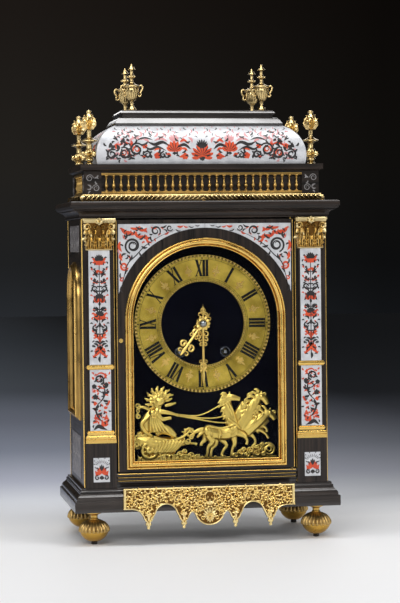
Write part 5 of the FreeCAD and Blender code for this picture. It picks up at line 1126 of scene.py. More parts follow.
for radius, width in ((OUTER_BEADS, 1), (INNER_BEADS, 0.7)):
    filling.ring(0, 0, radius, width, 128)
for minute in range(60):
    hour_bar(minute * 6, 0, MINUTE_FOOT, 0, MINUTE_TOP, 0.35 if minute % 5 else 1)
for quarter in range(48):
    hour_bar(quarter * 7.5, 0, QUARTER_FOOT, 0, QUARTER_TOP, 0.35)
mounted(filling.cut_out("hour_wax"), [dial_face], hour_black, slot="dial_brass")

for half_hour in range(12):
    a = radians(half_hour * 30 + 15)
    x, y = SPRIG_REACH * sin(a), SPRIG_REACH * cos(a)
    lean = 90 - degrees(a)
    bright.fan(x, y, lean, 150, 5, 6.6, 2)
    bright.leaf(x, y, lean, 11, 2.4, 0)
    bright.leaf(x, y, lean + 180, 5, 1.6, 0)
    for side in (-1, 1):
        bright.leaf(x, y, lean + side * 130, 4.2, 1.5, side * 0.2)
for bead in range(BEADS):
    a = tau * bead / BEADS
    for radius, size in ((OUTER_BEADS, 3), (INNER_BEADS, 1.9)):
        bright.line([(reach * cos(a), reach * sin(a))
                     for reach in (radius - size / 2, radius + size / 2)], size * 0.7)
mounted(bright.cut_out("ring_beads"), [dial_face], gilt_plain, slot="dial_brass")

# %% [markdown]
# Blued steel collars line the two winding holes, and the winding squares stand inside them.

# %% Winding collars
VELVET_FACE = -51
WINDING_X, WINDING_DROP = 28, 35
collar = turned("winding_collars", [
    (3.6, -1.6), (5, -1.6), (6.6, 0), (6.6, 0.5), (6, 1), (5, 1.1), (4.2, 0.4), (3.6, -1.6)], 40)
holes = [at(side * WINDING_X, VELVET_FACE, DIAL_Z - WINDING_DROP) @ FRONT_UP for side in (-1, 1)]
mounted(collar, holes, blued_steel, slot="dial_brass")

# %% [markdown]
# The hands are pierced and gilt. Each is cut from sheet as a chain of rings, scrolls and
# leaves round a straight spine, so that it is stiff and light at once. The hour hand is short
# and wide, and the minute hand reaches the minute track. Both carry a tail beyond the hub.

# %% Hands
HAND_THICK = 1


def hand(name, parts, turn, level, body, node):
    """Cut a hand from sheet and turn it to its hour."""
    cut = Drawing(0, HAND_THICK, 1.3, 0.45)
    parts(cut)
    place = at(0, level, DIAL_Z) @ FRONT_UP @ spun(-turn)
    mounted(cut.cut_out(name), [place], gilt_cast, node, body=body)


def minute_parts(cut):
    cut.ring(0, 0, 5.2, 2.6, 40)
    for petal in range(12):
        cut.leaf(0, 0, petal * 30, 9.2, 2.8, 0, 0.7)
    cut.line([(0, 6), (0, 64)], 1.9)
    cut.stroke([(0, 58), (0, 66), (0, 76)], 2.6, 0.35)
    for y, radius in ((13, 3.4), (19.5, 2.6)):
        cut.scroll(3.4, y, radius, 250, 1.05, 1.3, True)
    cut.scroll(2.6, 25.5, 2.2, 240, 1, 1.1, True)
    cut.ring(0, 52, 3.4, 1.4, 28)
    cut.scroll(3, 46.5, 2.2, 240, 1, 1, True)
    cut.pair(0.6, 56, 50, 5.2, 1.5, -0.2)
    cut.line([(0, -6), (0, -20)], 1.6)
    cut.scroll(3, -11.5, 3, 110, -1.05, 1.2, True)
    cut.ring(0, -16, 2.6, 1.1, 24)
    cut.stroke([(0, -14), (0, -18), (0, -24)], 1.8, 0.4)


def hour_parts(cut):
    cut.ring(0, 0, 5.6, 2.6, 40)
    cut.line([(0, 5), (0, 40)], 2)
    cut.ring(0, 13.5, 4.2, 1.7, 32)
    cut.scroll(4.4, 9, 2.4, 250, 1.05, 1.2, True)
    cut.scroll(3.4, 19, 2.4, 250, 1.05, 1.2, True)
    cut.scroll(5.4, 33.5, 4.4, 235, 1.15, 1.8, True)
    cut.scroll(4.6, 42, 2.8, 225, 1, 1.4, True)
    cut.pair(0.6, 30, 58, 7, 1.9, -0.25)
    cut.stroke([(0, 34), (0, 41), (0, 48)], 3, 0.4)
    cut.line([(0, -5), (0, -11)], 1.6)
    cut.scroll(2.8, -9.5, 2.6, 110, -1, 1.1, True)
    cut.stroke([(0, -8), (0, -11), (0, -16)], 1.7, 0.4)


hand("minute_fret", minute_parts, 180, -56.5, "minute_work", "minute_hand")
hand("hour_fret", hour_parts, 216, -54.1, "hour_work", "hour_hand")
boss = turned("hand_boss", rounding([
    (4.8, 0.2), (4.8, 1.2), (4.5, 1.8), (4.2, 2.6), (3.2, 4), (1.6, 4.8), (0, 5)]), 32)
boss.data.transform(at(0, -56.7, DIAL_Z) @ FRONT_UP)
finished(boss, "minute_work", "steel", steel)

# %% [markdown]
# The bezel is a cast rim with a section that a founder would draw: an outer bead, a quirk, a
# bold round, a cove and an inner bead. The same rim helper carries the section round the
# arch and mitres it at the two square corners below.

# %% Bezel and side windows
def bead(centre, radius, low, steps=6):
    """A half-round of a section, from left to right."""
    return [(centre - radius * cos(pi * step / steps),
             low + radius * sin(pi * step / steps)) for step in range(steps + 1)]


BEZEL_OUTER = 98.2
bezel_section = ([(0, 0)] + bead(-1.3, 1.2, 1.6) + [(-2.7, 1)] + bead(-5.2, 2.4, 2.2, 8)
                 + [(-7.7, 1.4), (-8.2, 0.7)] + bead(-9.1, 0.8, 0.6) + [(-9.9, 0)])
bezel = rim("bezel_cast", arch_path(BEZEL_OUTER, 90, ARCH_SPRING, 64),
            sorted(bezel_section, reverse=True))
mounted(bezel, [at(0, CASE_FRONT, 0) @ FRONT_UP], gilt_plain, "door_bezel", body="front_door")

window_section = [(0, 0), (0, 1.2), (-0.6, 2.6), (-1.6, 3.1), (-2.4, 2.6), (-2.8, 3.6), (-4.2, 5.6),
                  (-5.8, 6.6), (-7.2, 6), (-7.6, 4.6), (-8.4, 4.2), (-9, 3.2), (-9, 0)]
window = rim("window_rims", arch_path(45.5, 148, 294, 40), window_section)
CASE_SIDE = 149.3
side_face = [at(side * CASE_SIDE, 0, 0) @ spun(side * 90) @ FRONT_UP for side in (-1, 1)]
mounted(window, side_face, gilt_darker, "side_window_frames")

# %% [markdown]
# Thin brass lines are let into the edges of the stiles, the door and the sill. They catch the
# light and draw the joinery. Each is a slim strip that stands a little proud.

# %% Brass stringing
def strip(x0, y0, z0, x1, y1, z1):
    """A bar between two corners."""
    clear()
    bpy.ops.mesh.primitive_cube_add(size=MM)
    item = bpy.context.object
    item.data.transform(at((x0 + x1) / 2, (y0 + y1) / 2, (z0 + z1) / 2)
                        @ sized(abs(x1 - x0), abs(y1 - y0), abs(z1 - z0)))
    return item


STRING_FOOT, STRING_HEAD = 69.5, 391
STRING_FRONT, STRING_BACK = -76.3, -75.6
strips = []
for side in (-1, 1):
    for x in (CASE_SIDE, 111.4):
        strips.append(strip(side * (x - 0.9), STRING_FRONT, STRING_FOOT, side * x, STRING_BACK,
                            STRING_HEAD))
    for front, back in ((-74.6, -73.8), (73.8, 74.6)):
        strips.append(strip(side * 149.6, front, STRING_FOOT, side * 149, back, STRING_HEAD))
for y, z in ((-79.6, 84.9), (-78.1, 80.6), (-77.4, 76.6)):
    strips.append(strip(-109, y, z - 0.35, 109, -75.8, z + 0.35))
finished(rounded(join("case_stringing", strips), 0.15, 1), "case", "gilt_bronze", gilt_plain)
door_strips = [strip(side * 107.3, STRING_FRONT, 87.6, side * 108.2, STRING_BACK, 389)
               for side in (-1, 1)]
finished(rounded(join("door_stringing", door_strips), 0.15, 1), "front_door", "gilt_bronze",
         gilt_plain)

# %% [markdown]
# The dark mouldings are planed in long lengths. Their hollows and rounds matter, because black
# wood shows its shape only by the lines of light on it. Each moulding is drawn up ring by ring.

# %% Cornice, plinth and dome cap
def run_round(name, half_x, half_y, profile, material, *replaced):
    """A moulding round the case from (overhang, height) pairs."""
    item = moulding(name, [(half_x + over, half_y + over, height) for over, height in profile])
    return finished(smooth(item, 28), "case", "ebony", material, *replaced)


run_round("cornice_run", 149.6, 78, [
    (1, 391.5), (1.9, 391.7), (2.3, 392.4), (1.9, 393.1), (1.2, 393.3), (1.2, 393.9), (2.6, 394),
    (2.6, 395.2), (3, 396.6), (3.8, 397.8), (5.2, 399), (7, 399.9), (9.2, 400.4), (9.2, 401.6),
    (10.2, 401.7), (11.4, 402.2), (12.4, 403.1), (12.9, 404.2), (12.9, 404.6), (13.4, 404.7),
    (13.8, 405.2), (14, 406), (14, 409.8), (13.8, 410.2), (12.5, 411.6), (12.2, 411.7),
], ebony_level, "cornice")
run_round("plinth_run", 149.1, 75.8, [
    (12.4, 40.5), (13, 41.2), (13, 52.4), (12.6, 53.2), (11.9, 53.5), (10.9, 53.6), (10.9, 54.6),
    (10.7, 56), (10, 57.8), (8.8, 59.3), (7.4, 60.4), (6.4, 61.6), (6, 62.8), (6, 63.4), (5, 63.5),
    (5.5, 64), (5.7, 64.8), (5.5, 65.6), (5, 66.1), (4.1, 66.2), (4.1, 67.4), (3.9, 68.4),
    (3.2, 69)], ebony_waxed, "base_plinth")
run_round("cap_run", 90, 33.2, [
    (13, 505), (13.2, 505.4), (13.2, 507), (12.6, 507.8), (8.9, 512.9), (8.2, 513.6), (6.6, 514),
    (3.2, 514.1), (3, 514.5), (3, 518.2), (3.4, 518.5), (5.5, 518.6), (5.8, 519), (5.7, 519.8),
    (5.3, 520.4), (3.3, 523.1), (2.6, 523.5)], ebony_polished, "dome_cap")

# %% [markdown]
# Under the door lies a sill with three reeds, each a half-round with a quirk below it. Its
# section is drawn once and pulled straight across the front.

# %% Door sill
REEDS = ((-76.6, 83.4, 2.7), (-76.5, 78.6, 2.1), (-76.2, 74.8, 1.8))
sill_outline = [(-51, 69), (-51, 86), (-77, 86)] + [
    (y - reach * cos(radians(angle)), z + reach * 0.95 * sin(radians(angle)))
    for y, z, reach in REEDS for angle in range(75, -91, -15)
] + [(-76, 72.6), (-76, 69)]
SILL_HALF = 110.6
ACROSS = Matrix(((0, 0, 1, 0), (1, 0, 0, 0), (0, 1, 0, 0), (0, 0, 0, 1)))
sill = prism("sill_run", sill_outline, -SILL_HALF, SILL_HALF)
sill.data.transform(ACROSS)
modify(sill, "TRIANGULATE")
finished(smooth(sill, 28), "case", "ebony", ebony_waxed, "door_sill")

# %% [markdown]
# An acanthus leaf is the founder's favourite ornament. It starts as a grid that is shaped row
# by row: the outline swells and is scalloped, ribs run up it, and the tip rolls forward. The
# same leaf, short or long, dresses the capitals, the finials and the roof.

# %% Acanthus leaf
TIP_TURN = 205


def acanthus(name, length, width, roll=0.72, curl=0.2, lobes=4, across=8, along=14, thick=0.6,
             belly=0.05):
    """A leaf that stands on its foot at the origin and faces the front."""
    clear()
    bpy.ops.mesh.primitive_grid_add(x_subdivisions=across, y_subdivisions=along, size=2)
    item = bpy.context.object
    item.name = name
    radius = curl * length
    for vertex in item.data.vertices:
        s, t = vertex.co.x, (vertex.co.y + 1) / 2  # across from -1 to 1, and up from 0 to 1
        edge = (0.62 + 0.38 * sin(pi * min(t * 1.12, 1))) * (1 - 0.72 * t ** 5)
        edge *= 1 + 0.28 * cos(tau * lobes * t) * abs(s)
        out = 0.13 * width * cos(3 * pi * s) + 0.16 * width * (1 - s * s)
        if t < roll:
            rise, forward_by = length * t, belly * length * sin(pi * t)
        else:
            angle = (t - roll) / (1 - roll) * radians(TIP_TURN)
            rise = length * roll + radius * sin(angle)
            forward_by = belly * length * sin(pi * roll) + radius * (1 - cos(angle))
        vertex.co = Vector((s * width / 2 * edge, -out - forward_by, rise)) * MM
    modify(item, "SOLIDIFY", thickness=thick * MM, offset=-1)
    return smooth(mend(item), 60)


# %% [markdown]
# A Corinthian capital is a bell with two rows of these leaves, volutes under the corners and a
# slab with hollow sides on top. The pilaster shows only its front half, so the bell is half
# buried in the stile.

# %% Capitals
LEAF_FOOT, ABACUS_FOOT, SLAB_FOOT, CAPITAL_TOP = 355.4, 386.2, 388.2, 391.5


def hollow_slab(name, half, front, sag, low, high):
    """A slab whose front edge is hollow, drawn up from its outline."""
    edge = [(half * (1 - 2 * step / 12), -front + sag * (1 - (1 - 2 * step / 12) ** 2))
            for step in range(13)]
    return prism(name, [(-half, 0), (half, 0)] + edge, low, high)


bell_core = moulding("capital_bells", [
    (15.2, 4.4, 353.5), (15.6, 4.9, 354.3), (15.2, 4.4, 355.2), (13.9, 3.3, 355.4),
    (13.9, 3.4, 366), (14.6, 4.6, 376), (15.8, 6.4, 384), (16.6, 7.6, ABACUS_FOOT)])
pieces = [hollow_slab("abacus_fillet", 18.6, 9.6, 1.8, ABACUS_FOOT, SLAB_FOOT),
          rounded(hollow_slab("abacus_slab", 19.7, 11, 2.2, SLAB_FOOT, CAPITAL_TOP), 0.5, 2)]
low_leaf = acanthus("low_leaf", 15.5, 10.2, 0.66, 0.2, 4, 12, 18)
high_leaf = acanthus("high_leaf", 24, 8.4, 0.78, 0.15, 5, 12, 20)
for x in (-10, 0, 10):
    pieces.append(copy_of(low_leaf, at(x, -3.4, LEAF_FOOT)))
for x in (-13, -5, 5, 13):
    pieces.append(copy_of(high_leaf, at(x, -2.6, LEAF_FOOT) @ spun(-x * 0.5)))
side_leaf = acanthus("side_leaf", 15, 8, 0.74, 0.11, 5)
for side in (-1, 1):
    pieces.append(copy_of(side_leaf, at(side * 13.2, -0.6, LEAF_FOOT) @ spun(side * 90)))
    pieces.append(copy_of(high_leaf, at(side * 10.6, -1.6, LEAF_FOOT) @ spun(side * 48)))
for leaf in (side_leaf, low_leaf, high_leaf):
    drop(leaf)
volutes = Drawing(0, 2.8, 1, 0.9)
volutes.scroll(14.4, 381.3, 4.2, 200, -1.6, 1.9, True, 0.12)
volutes.scroll(4.4, 380.6, 2.9, 200, -1.5, 1.3, True, 0.12)
volutes.stroke([(9, 366), (9.6, 374), (12, 380)], 2.2, 0.5, True, 0.4)
pieces.append(placed(volutes.cut_out("volutes"), [at(0, -7.4, 0) @ FRONT_UP]))
side_volute = Drawing(0, 2.2)
side_volute.scroll(-7, 381.3, 3.6, -20, 1.6, 1.7, False, 0.12)
pieces.append(placed(side_volute.cut_out("side_volutes"),
                     both(at(16.4, 0, 0) @ spun(90) @ FRONT_UP)))
flower = Drawing(0, 2.2, 1, 0.8)
for petal in range(6):
    flower.leaf(0, 388, petal * 60 + 30, 4.8, 3, 0, 0.6)
flower.ring(0, 388, 0.7, 1.3, 12)
pieces.append(placed(flower.cut_out("abacus_flower"), [at(0, -9.4, 0) @ FRONT_UP]))
pieces.append(moulding("capital_ring", [
    (15.2, 4.6, 353.4), (15.9, 5.3, 353.9), (15.9, 5.3, 354.8), (15.2, 4.6, 355.3)]))
capital = smooth(join("capital_leaves", pieces), 40)
pilaster_places = both(at(PILASTER_X, CASE_FRONT, 0))
# The bell core under the leaves is the dark grade: painted shade between the leaves.
mounted(bell_core, pilaster_places, gilt_shaded_ground)
mounted(capital, pilaster_places, gilt_capital, "capitals")

# %% [markdown]
# Under each panel sits a gilt moulding: an attic base with two rounds and a hollow between,
# and a slim astragal where the two panels meet.

# %% Pilaster bases and astragals
base = moulding("pilaster_rounds", [
    (18.3, 5.4, 123), (18.3, 5.4, 127.4), (17.5, 4.8, 127.7), (17.9, 5.1, 128.2),
    (18.3, 5.4, 129.3), (17.9, 5.1, 130.5), (17.3, 4.7, 131), (16.9, 4.4, 131.2), (15.9, 4, 132.2),
    (15.6, 3.9, 133.4), (15.9, 4, 134.3), (16.1, 4.2, 134.6), (16.5, 4.6, 135.2),
    (16.6, 4.7, 135.9), (16.3, 4.4, 136.6), (15.4, 3.9, 136.9), (15.3, 3.8, 138)])
astragal = moulding("astragal_rounds", [
    (14.6, 3.1, 211), (15.4, 3.8, 211.2), (15.4, 3.8, 212), (16.1, 4.7, 212.4), (16.5, 5.2, 213.3),
    (16.5, 5.2, 214.5), (16.1, 4.7, 215.5), (15.4, 3.8, 215.9), (15.4, 3.8, 216.7),
    (14.6, 3.1, 217)])
pair_of_rounds = smooth(join("pilaster_rounds", [base, astragal]), 30)
mounted(pair_of_rounds, pilaster_places, gilt_plain, "pilaster_mouldings")

# %% [markdown]
# The feet are balls in two halves: a polished bowl below, and a crown of gadroons above,
# which look like the ribs of a melon. Turning gives the round form, and the lobes are then
# pressed into the upper half only.

# %% Feet
stub = turned("foot_stubs", [(0, 0), (3.2, 0), (3.8, 0.5), (3.6, 3.4), (3, 5), (0, 5)], 24)
bowl = turned("foot_bowls", rounding([
    (0, 3.4), (4.4, 3.6), (8.6, 5), (13, 8.2), (16.2, 12.4), (17.2, 16.2), (16.4, 17.6),
    (10, 18)], 3), 64)
crown = turned("foot_crowns", rounding([
    (14, 15), (17.6, 15.2), (18.7, 16.4), (18.9, 18.4), (17.4, 22.4), (14, 26.4), (8.8, 29.2),
    (5.2, 30.4)], 3), 132)
fluted(crown, 22, 0.22, 14, 30.2, 0.55)
neck = turned("foot_necks", rounding([
    (0, 29.6), (4.9, 29.8), (5.4, 30.8), (4.6, 31.8), (4.3, 33.4), (4.6, 35.4), (6.6, 36.6),
    (8.8, 37.4), (9.2, 38.8), (9, 40.5), (0, 40.5)], 3), 40)
FOOT_X, FOOT_Y = 136.9, 63.8
foot_places = four(FOOT_X, FOOT_Y, 0)
mounted(bowl, foot_places, brass_foot, "feet")
mounted(crown, foot_places, gilt_worn)
mounted(neck, foot_places, gilt_cast)
mounted(stub, foot_places, ebony_level)

# %% [markdown]
# The apron is a gilt plate with a scalloped edge, two arches and four little drops. Its face
# is crowded with engraved and raised foliage. The plate is drawn as an outline and filled, a
# raised border follows its lower edge, and scrolls and leaves stand in relief on the field.

# %% Apron
APRON_FACE, PLATE_THICK = -91.3, 2.4
APRON_END, APRON_TOP = 104.5, 69
DROPS = (31.5, 74.5)


def drop_edge(middle, low, reach):
    """One side of a drop, from its tip up to its shoulder."""
    return [(middle + reach * x, low + z) for x, z in (
        (1.2, 0.2), (1.9, 1.3), (1.8, 2.6), (1.2, 3.4), (2.6, 4.2), (3, 5.6), (2.7, 6.4),
        (4.6, 7.6), (4.7, 8.8), (6.2, 10.4), (6.3, 12), (8.4, 15.4))]


half_edge = (
    [(0, 22)] + arc(0, 40.5, 18.5, 285, 335, 6) + [(18.6, 36.2), (20.6, 38.4)]
    + drop_edge(DROPS[0], 22, -1)[::-1] + [(DROPS[0], 21.9)] + drop_edge(DROPS[0], 22, 1)
    + arc(53, 35.9, 12.7, 165, 15, 12)
    + drop_edge(DROPS[1], 21.9, -1)[::-1] + [(DROPS[1], 21.8)] + drop_edge(DROPS[1], 21.9, 1)
    + [(85.6, 40.6), (89.6, 42.6), (94, 43.4), (APRON_END, 43.5)])


def mirrored(path):
    """A whole outline from its right half, which starts in the middle."""
    return [(-x, z) for x, z in reversed(path)] + path[1:]


plate = prism("apron_plate", mirrored(half_edge + [(APRON_END, APRON_TOP)]), 0, PLATE_THICK)
modify(plate, "TRIANGULATE")
face = at(0, APRON_FACE + PLATE_THICK, 0) @ FRONT_UP
# The plate is the dark grade: painted shade between the raised foliage.
mounted(plate, [face], gilt_shaded_ground, "base_apron")


def edge_height(x):
    """How far down the plate reaches at a distance from its middle."""
    for (x0, z0), (x1, z1) in zip(half_edge, half_edge[1:]):
        if x0 <= x <= x1:
            return z0 + (z1 - z0) * (x - x0) / max(x1 - x0, 0.01)
    return half_edge[-1][1]


border = rim("apron_border", mirrored(half_edge), [
    (-0.1, 1.8), (-0.1, 3), (-0.4, 3.7), (-1, 3.9), (-1.6, 3.7), (-2, 3), (-2, 1.8)], closed=False)
foliage = Drawing(1.8, 3.8, 1, 0.6)
foliage.fan(0, 33, 90, 200, 9, 11, 2.2)
foliage.fan(0, 32, -90, 150, 5, 7, 2)
foliage.ring(0, 32.6, 1.6, 1.6, 20)
foliage.scroll(8.6, 31.6, 2.6, 180, 1.3, 1.2, True)
foliage.leaf(0, 46, 90, 8, 3, 0)
foliage.pair(1.5, 46, 40, 6, 2.2, 0.2)
foliage.pair(1.5, 44, -10, 6, 2.2, -0.2)
for x in DROPS:
    foliage.leaf(x, 28.5, 90, 10, 3, 0, 0.45, True)
    for lean, reach in ((52, 6.5), (128, 6.5), (28, 5.5), (152, 5.5)):
        foliage.leaf(x, 34, lean, reach, 2, 0.2 if lean < 90 else -0.2, 0.45, True)
for row, z in enumerate((63.6, 56.6, 49.8, 43.4, 37, 31)):
    for column in range(14):
        sway = sin(7.3 * row + 4.1 * column)
        x = 5 + column * 7.4 + (row % 2) * 3.6 + 1.1 * sway
        high = z + 0.9 * sin(3.7 * column + row)
        room = min(high - max(edge_height(x + shift) for shift in (-2.5, 0, 2.5)), 6.4)
        if x > 100.5 or room < 3.4 or hypot(x, high - 34) < 10.5:
            continue
        way = 1 if (row + column) % 2 else -1
        foliage.scroll(x, high, 3.1 + 0.5 * sway, 90 + 90 * way + 50 * sway, 1.35 * way, 1.25,
                       True, 0.16)
        for angle in (35, 120, 215, 300):
            a = radians(angle)
            foliage.pair(x + 2.4 * cos(a), high + 2.4 * sin(a), angle + 40 * way, 3.6, 1.6,
                         0.2 * way)
strew((foliage,), (3.6, 29), 23, 10, 4.2, 3.8,
      lambda x, z: x < 101 and z - edge_height(x) > 3 and hypot(x, z - 34) > 12, True)
foliage.line([(-104.2, 67.9), (104.2, 67.9)], 1.7)
for side in (-1, 1):
    foliage.line([(side * 102.9, 43.8), (side * 102.9, 68)], 2.8)
relief = foliage.cut_out("apron_foliage")
drop_turned = turned("apron_drop", rounding([
    (0, -3.4), (1.1, -2.7), (1.5, -1.5), (1, -0.5), (1.9, 0.3), (2.6, 1.4), (2.5, 2.8), (1.4, 3.7),
    (0, 3.9)], 3), 16)
drops = placed(drop_turned, [at(side * x, APRON_FACE + 1.2, 23.2) @ sized(1.4, 1, 1.3)
                             for side in (-1, 1) for x in DROPS])
apron = join("apron_foliage", [placed(item, [face]) for item in (border, relief)] + [drops])
# The foliage takes the paler grade: painted light on the apron.
finished(smooth(apron, 35), "case", "gilt_bronze", gilt_bright)

# %% [markdown]
# Round the foot of the attic runs a laurel band: a half-round with pairs of small leaves that
# lean along it. One leaf of a few faces is modelled, and copied along the four sides.

# %% Laurel band
def rectangle(half_x, half_y):
    return [(-half_x, -half_y), (half_x, -half_y), (half_x, half_y), (-half_x, half_y)]


ATTIC_X, ATTIC_Y = 144, 63.5
band = rim("laurel_round", rectangle(ATTIC_X, ATTIC_Y), [
    (-1, 411.7), (4.4, 411.7), (4.9, 412.4), (4.4, 413), (4.9, 413.6), (5.5, 415), (5.4, 416.8),
    (4.4, 418.4), (2.6, 419.4), (2.2, 420), (2.4, 420.6), (1.6, 421), (-1, 421)])
sprout = acanthus("laurel_leaf", 8.4, 4.4, 0.9, 0.06, 2, 4, 6, 0.5)
leaves = []
LAUREL_PITCH = 5.6
for turn in (0, 90, 180, 270):
    length, reach = (ATTIC_Y, ATTIC_X) if turn % 180 else (ATTIC_X, ATTIC_Y)
    number = int(2 * (length + 4) / LAUREL_PITCH)
    for index in range(number):
        x = (index - (number - 1) / 2) * LAUREL_PITCH
        lean = 62 if x < 0 else -62
        for rise, tilt in ((414, 6), (416.6, -14)):
            leaves.append(copy_of(sprout, spun(turn) @ at(x, -reach - 4.6, rise) @ spun(tilt, "X")
                                  @ spun(lean, "Y") @ at(0, 0, -4)))
drop(sprout)
finished(join("laurel_band", [band] + leaves), "case", "gilt_bronze", gilt_pale, "leaf_moulding")

# %% [markdown]
# The balustrade is a row of turned balusters between two rails. One baluster is spun, and
# every copy gets its own mesh.

# %% Balustrades
baluster = turned("baluster", rounding([
    (2.4, 3), (2.4, 4.2), (1.3, 4.9), (1, 5.8), (1.6, 7.2), (2.4, 9.2), (2.2, 11), (1.3, 13.6),
    (0.9, 16), (1, 18.2), (1.7, 18.9), (1.7, 19.6), (1.1, 20.2), (1.3, 20.9), (2.3, 21.4),
    (2.3, 22.5)], 2), 14)
rail = moulding("rail", [(1, 2.4, 0), (1, 3, 0.4), (1, 3, 1.8), (1, 2.3, 2.4), (1, 2.3, 3)])
cap_rail = moulding("cap_rail",
                    [(1, 2.3, 22.5), (1, 2.3, 23.1), (1, 3, 23.6), (1, 3, 25), (1, 2.6, 25.5)])
GALLERY_FOOT, BALUSTER_PITCH = 421, 9
FRONT_RUN, SIDE_RUN = (246, 60.5), (85, 141)
runs = []
for turn in (0, 90, 180, 270):
    length, reach = SIDE_RUN if turn % 180 else FRONT_RUN
    here = spun(turn) @ at(0, -reach, GALLERY_FOOT)
    number = int(length / BALUSTER_PITCH)
    for piece in (rail, cap_rail):
        runs.append(copy_of(piece, here @ sized(length / 2, 1, 1)))
    for index in range(number):
        runs.append(copy_of(baluster, here @ at((index - (number - 1) / 2) * BALUSTER_PITCH, 0, 0)))
for item in (baluster, rail, cap_rail):
    drop(item)
finished(join("gallery", runs), "case", "gilt_bronze", gilt_darker, "balustrades")

# %% [markdown]
# Four urns stand on the dome cap and four leafy buds on the attic corners. All are turned.
# The urns get gadroons on the belly, two loop handles and a bell-shaped top. The buds have a
# collar of leaves below, a broad disc, and a wrap of leaves round the bud itself.

# %% Finials
urn = turned("urn_finials", rounding([
    (0, 0), (5, 0), (5, 1.6), (4, 3.1), (2.5, 5.4), (2.2, 7.6), (2.3, 10), (3.4, 11.4), (5.8, 13.8),
    (8.2, 18.4), (9.1, 23.4), (8.6, 26.6), (9, 27.4), (10, 28.2), (10, 29.4), (9, 30.2),
    (5.6, 31.4), (3.6, 32.8), (2.4, 35), (2.1, 38.2), (3.4, 39), (5.3, 39.8), (5.4, 41.2),
    (4.2, 42), (2.4, 42.8), (1.9, 45.6), (2, 48.4), (3.4, 49), (4.9, 49.5), (4.1, 50.7),
    (2.6, 52.6), (1.5, 54), (1.25, 54.9), (1.2, 55.7), (0.8, 56.3), (0, 56.5)], 3), 60)
fluted(urn, 16, 0.13, 10.6, 26.8, 0.8)
fluted(urn, 24, 0.06, 27.2, 30.6)
fluted(urn, 8, 0.2, 38.6, 42.4, 0.8)
grip = Tube("urn_handle")
grip.strand(spline([
    (8.4, 28.6, 0, 0.9), (11.4, 30.2, 0, 1), (13.2, 28.4, 0, 1.1), (12.8, 25, 0, 1.15),
    (10.8, 21.6, 0, 1.15), (11.4, 18.4, 0, 1.1), (9.4, 17, 0, 1), (7.4, 18.2, 0, 0.8)], 4))
grips = placed(smooth(mend(grip.mesh()), 60), [spun(turn) @ FRONT_UP for turn in (0, 180)])
urn = join("urn_finials", [urn, grips])
CAP_TOP, URN_X, URN_Y = 523.5, 80.6, 30
mounted(urn, four(URN_X, URN_Y, CAP_TOP), gilt_pale, "vase_finials")

stalk = turned("bud_stalk", rounding([
    (0, 0), (4.7, 0), (4.7, 1.3), (3.2, 2.3), (4.2, 3.4), (5.2, 4.8), (5.1, 6.6), (4.1, 8.4),
    (4.6, 9.4), (6.1, 10.6), (7.2, 12.6), (7.1, 14.2), (6.2, 15.8), (5, 17.2), (3.7, 19.4),
    (3.4, 22.4), (3.6, 25.2), (6.6, 26.9), (9.6, 27.7), (10, 28.2), (9.7, 29), (7.4, 30),
    (4.5, 31.6), (3, 33.6), (2.8, 37), (2.8, 41), (3.8, 41.8), (3.2, 42.8), (4.4, 44.6), (6.4, 48),
    (6.9, 52), (6, 56.6), (3.8, 60), (2.9, 61.4), (3.3, 63), (2.6, 64.8), (0, 65.7)], 3), 48)
fluted(stalk, 10, 0.2, 8.6, 17.4, 0.8)
fluted(stalk, 18, 0.05, 26.6, 29.4)
petal = acanthus("bud_petal", 15.5, 7.4, 0.9, 0.05, 3, 6, 10, 0.5, 0.2)
wrap = [stalk]
for row, (number, reach, foot, lean) in enumerate(((6, 3.6, 42.4, 5), (6, 3.4, 46, -8))):
    for index in range(number):
        wrap.append(copy_of(petal, spun(360 / number * (index + row / 2)) @ at(0, -reach, foot)
                            @ spun(lean, "X") @ sized(1, 1, 0.92)))
for index in range(8):
    collar = spun(45 * index) @ at(0, -4.2, 9.2) @ spun(19, "X")
    wrap.append(copy_of(petal, collar @ sized(0.76, 0.76, 0.5)))
drop(petal)
bud = join("bud_leaves", wrap)
ATTIC_TOP, BUD_X, BUD_Y = 456.6, 136.6, 55
mounted(bud, four(BUD_X, BUD_Y, ATTIC_TOP), gilt_pale, "bud_finials")

# %% [markdown]
# The dome is covered with marquetry too, on a surface that curves. The pattern is drawn flat,
# with its height measured along the curve, and then every point is bent on to the dome's arc.

# %% Dome inlay
ARC = 40


def on_arc(middle, height, start, sideways):
    """A function that bends a flat drawing on to the front or the side of the dome."""
    def bend(item):
        for vertex in item.data.vertices:
            u, v, lift = vertex.co / MM
            angle = radians(start) + v / ARC
            out = middle + (ARC + lift) * cos(angle)
            up = height + (ARC + lift) * sin(angle)
            vertex.co = Vector((out, u, up) if sideways else (u, -out, up)) * MM
    return bend


def palmette(panel, y, size):
    """A red shell of leaves with black streaks and a black crown."""
    panel.red.fan(0, y, 90, 215, 9, 15 * size, 3 * size)
    panel.red.fan(0, y, 90, 120, 5, 8 * size, 2.6 * size)
    panel.black.fan(0, y + 9 * size, 90, 110, 7, 11 * size, 1.6 * size)
    panel.black.fan(0, y + 2 * size, 90, 200, 8, 12 * size, 0.8 * size)
    panel.black.fan(0, y, -90, 130, 5, 4.6 * size, 1.8 * size)


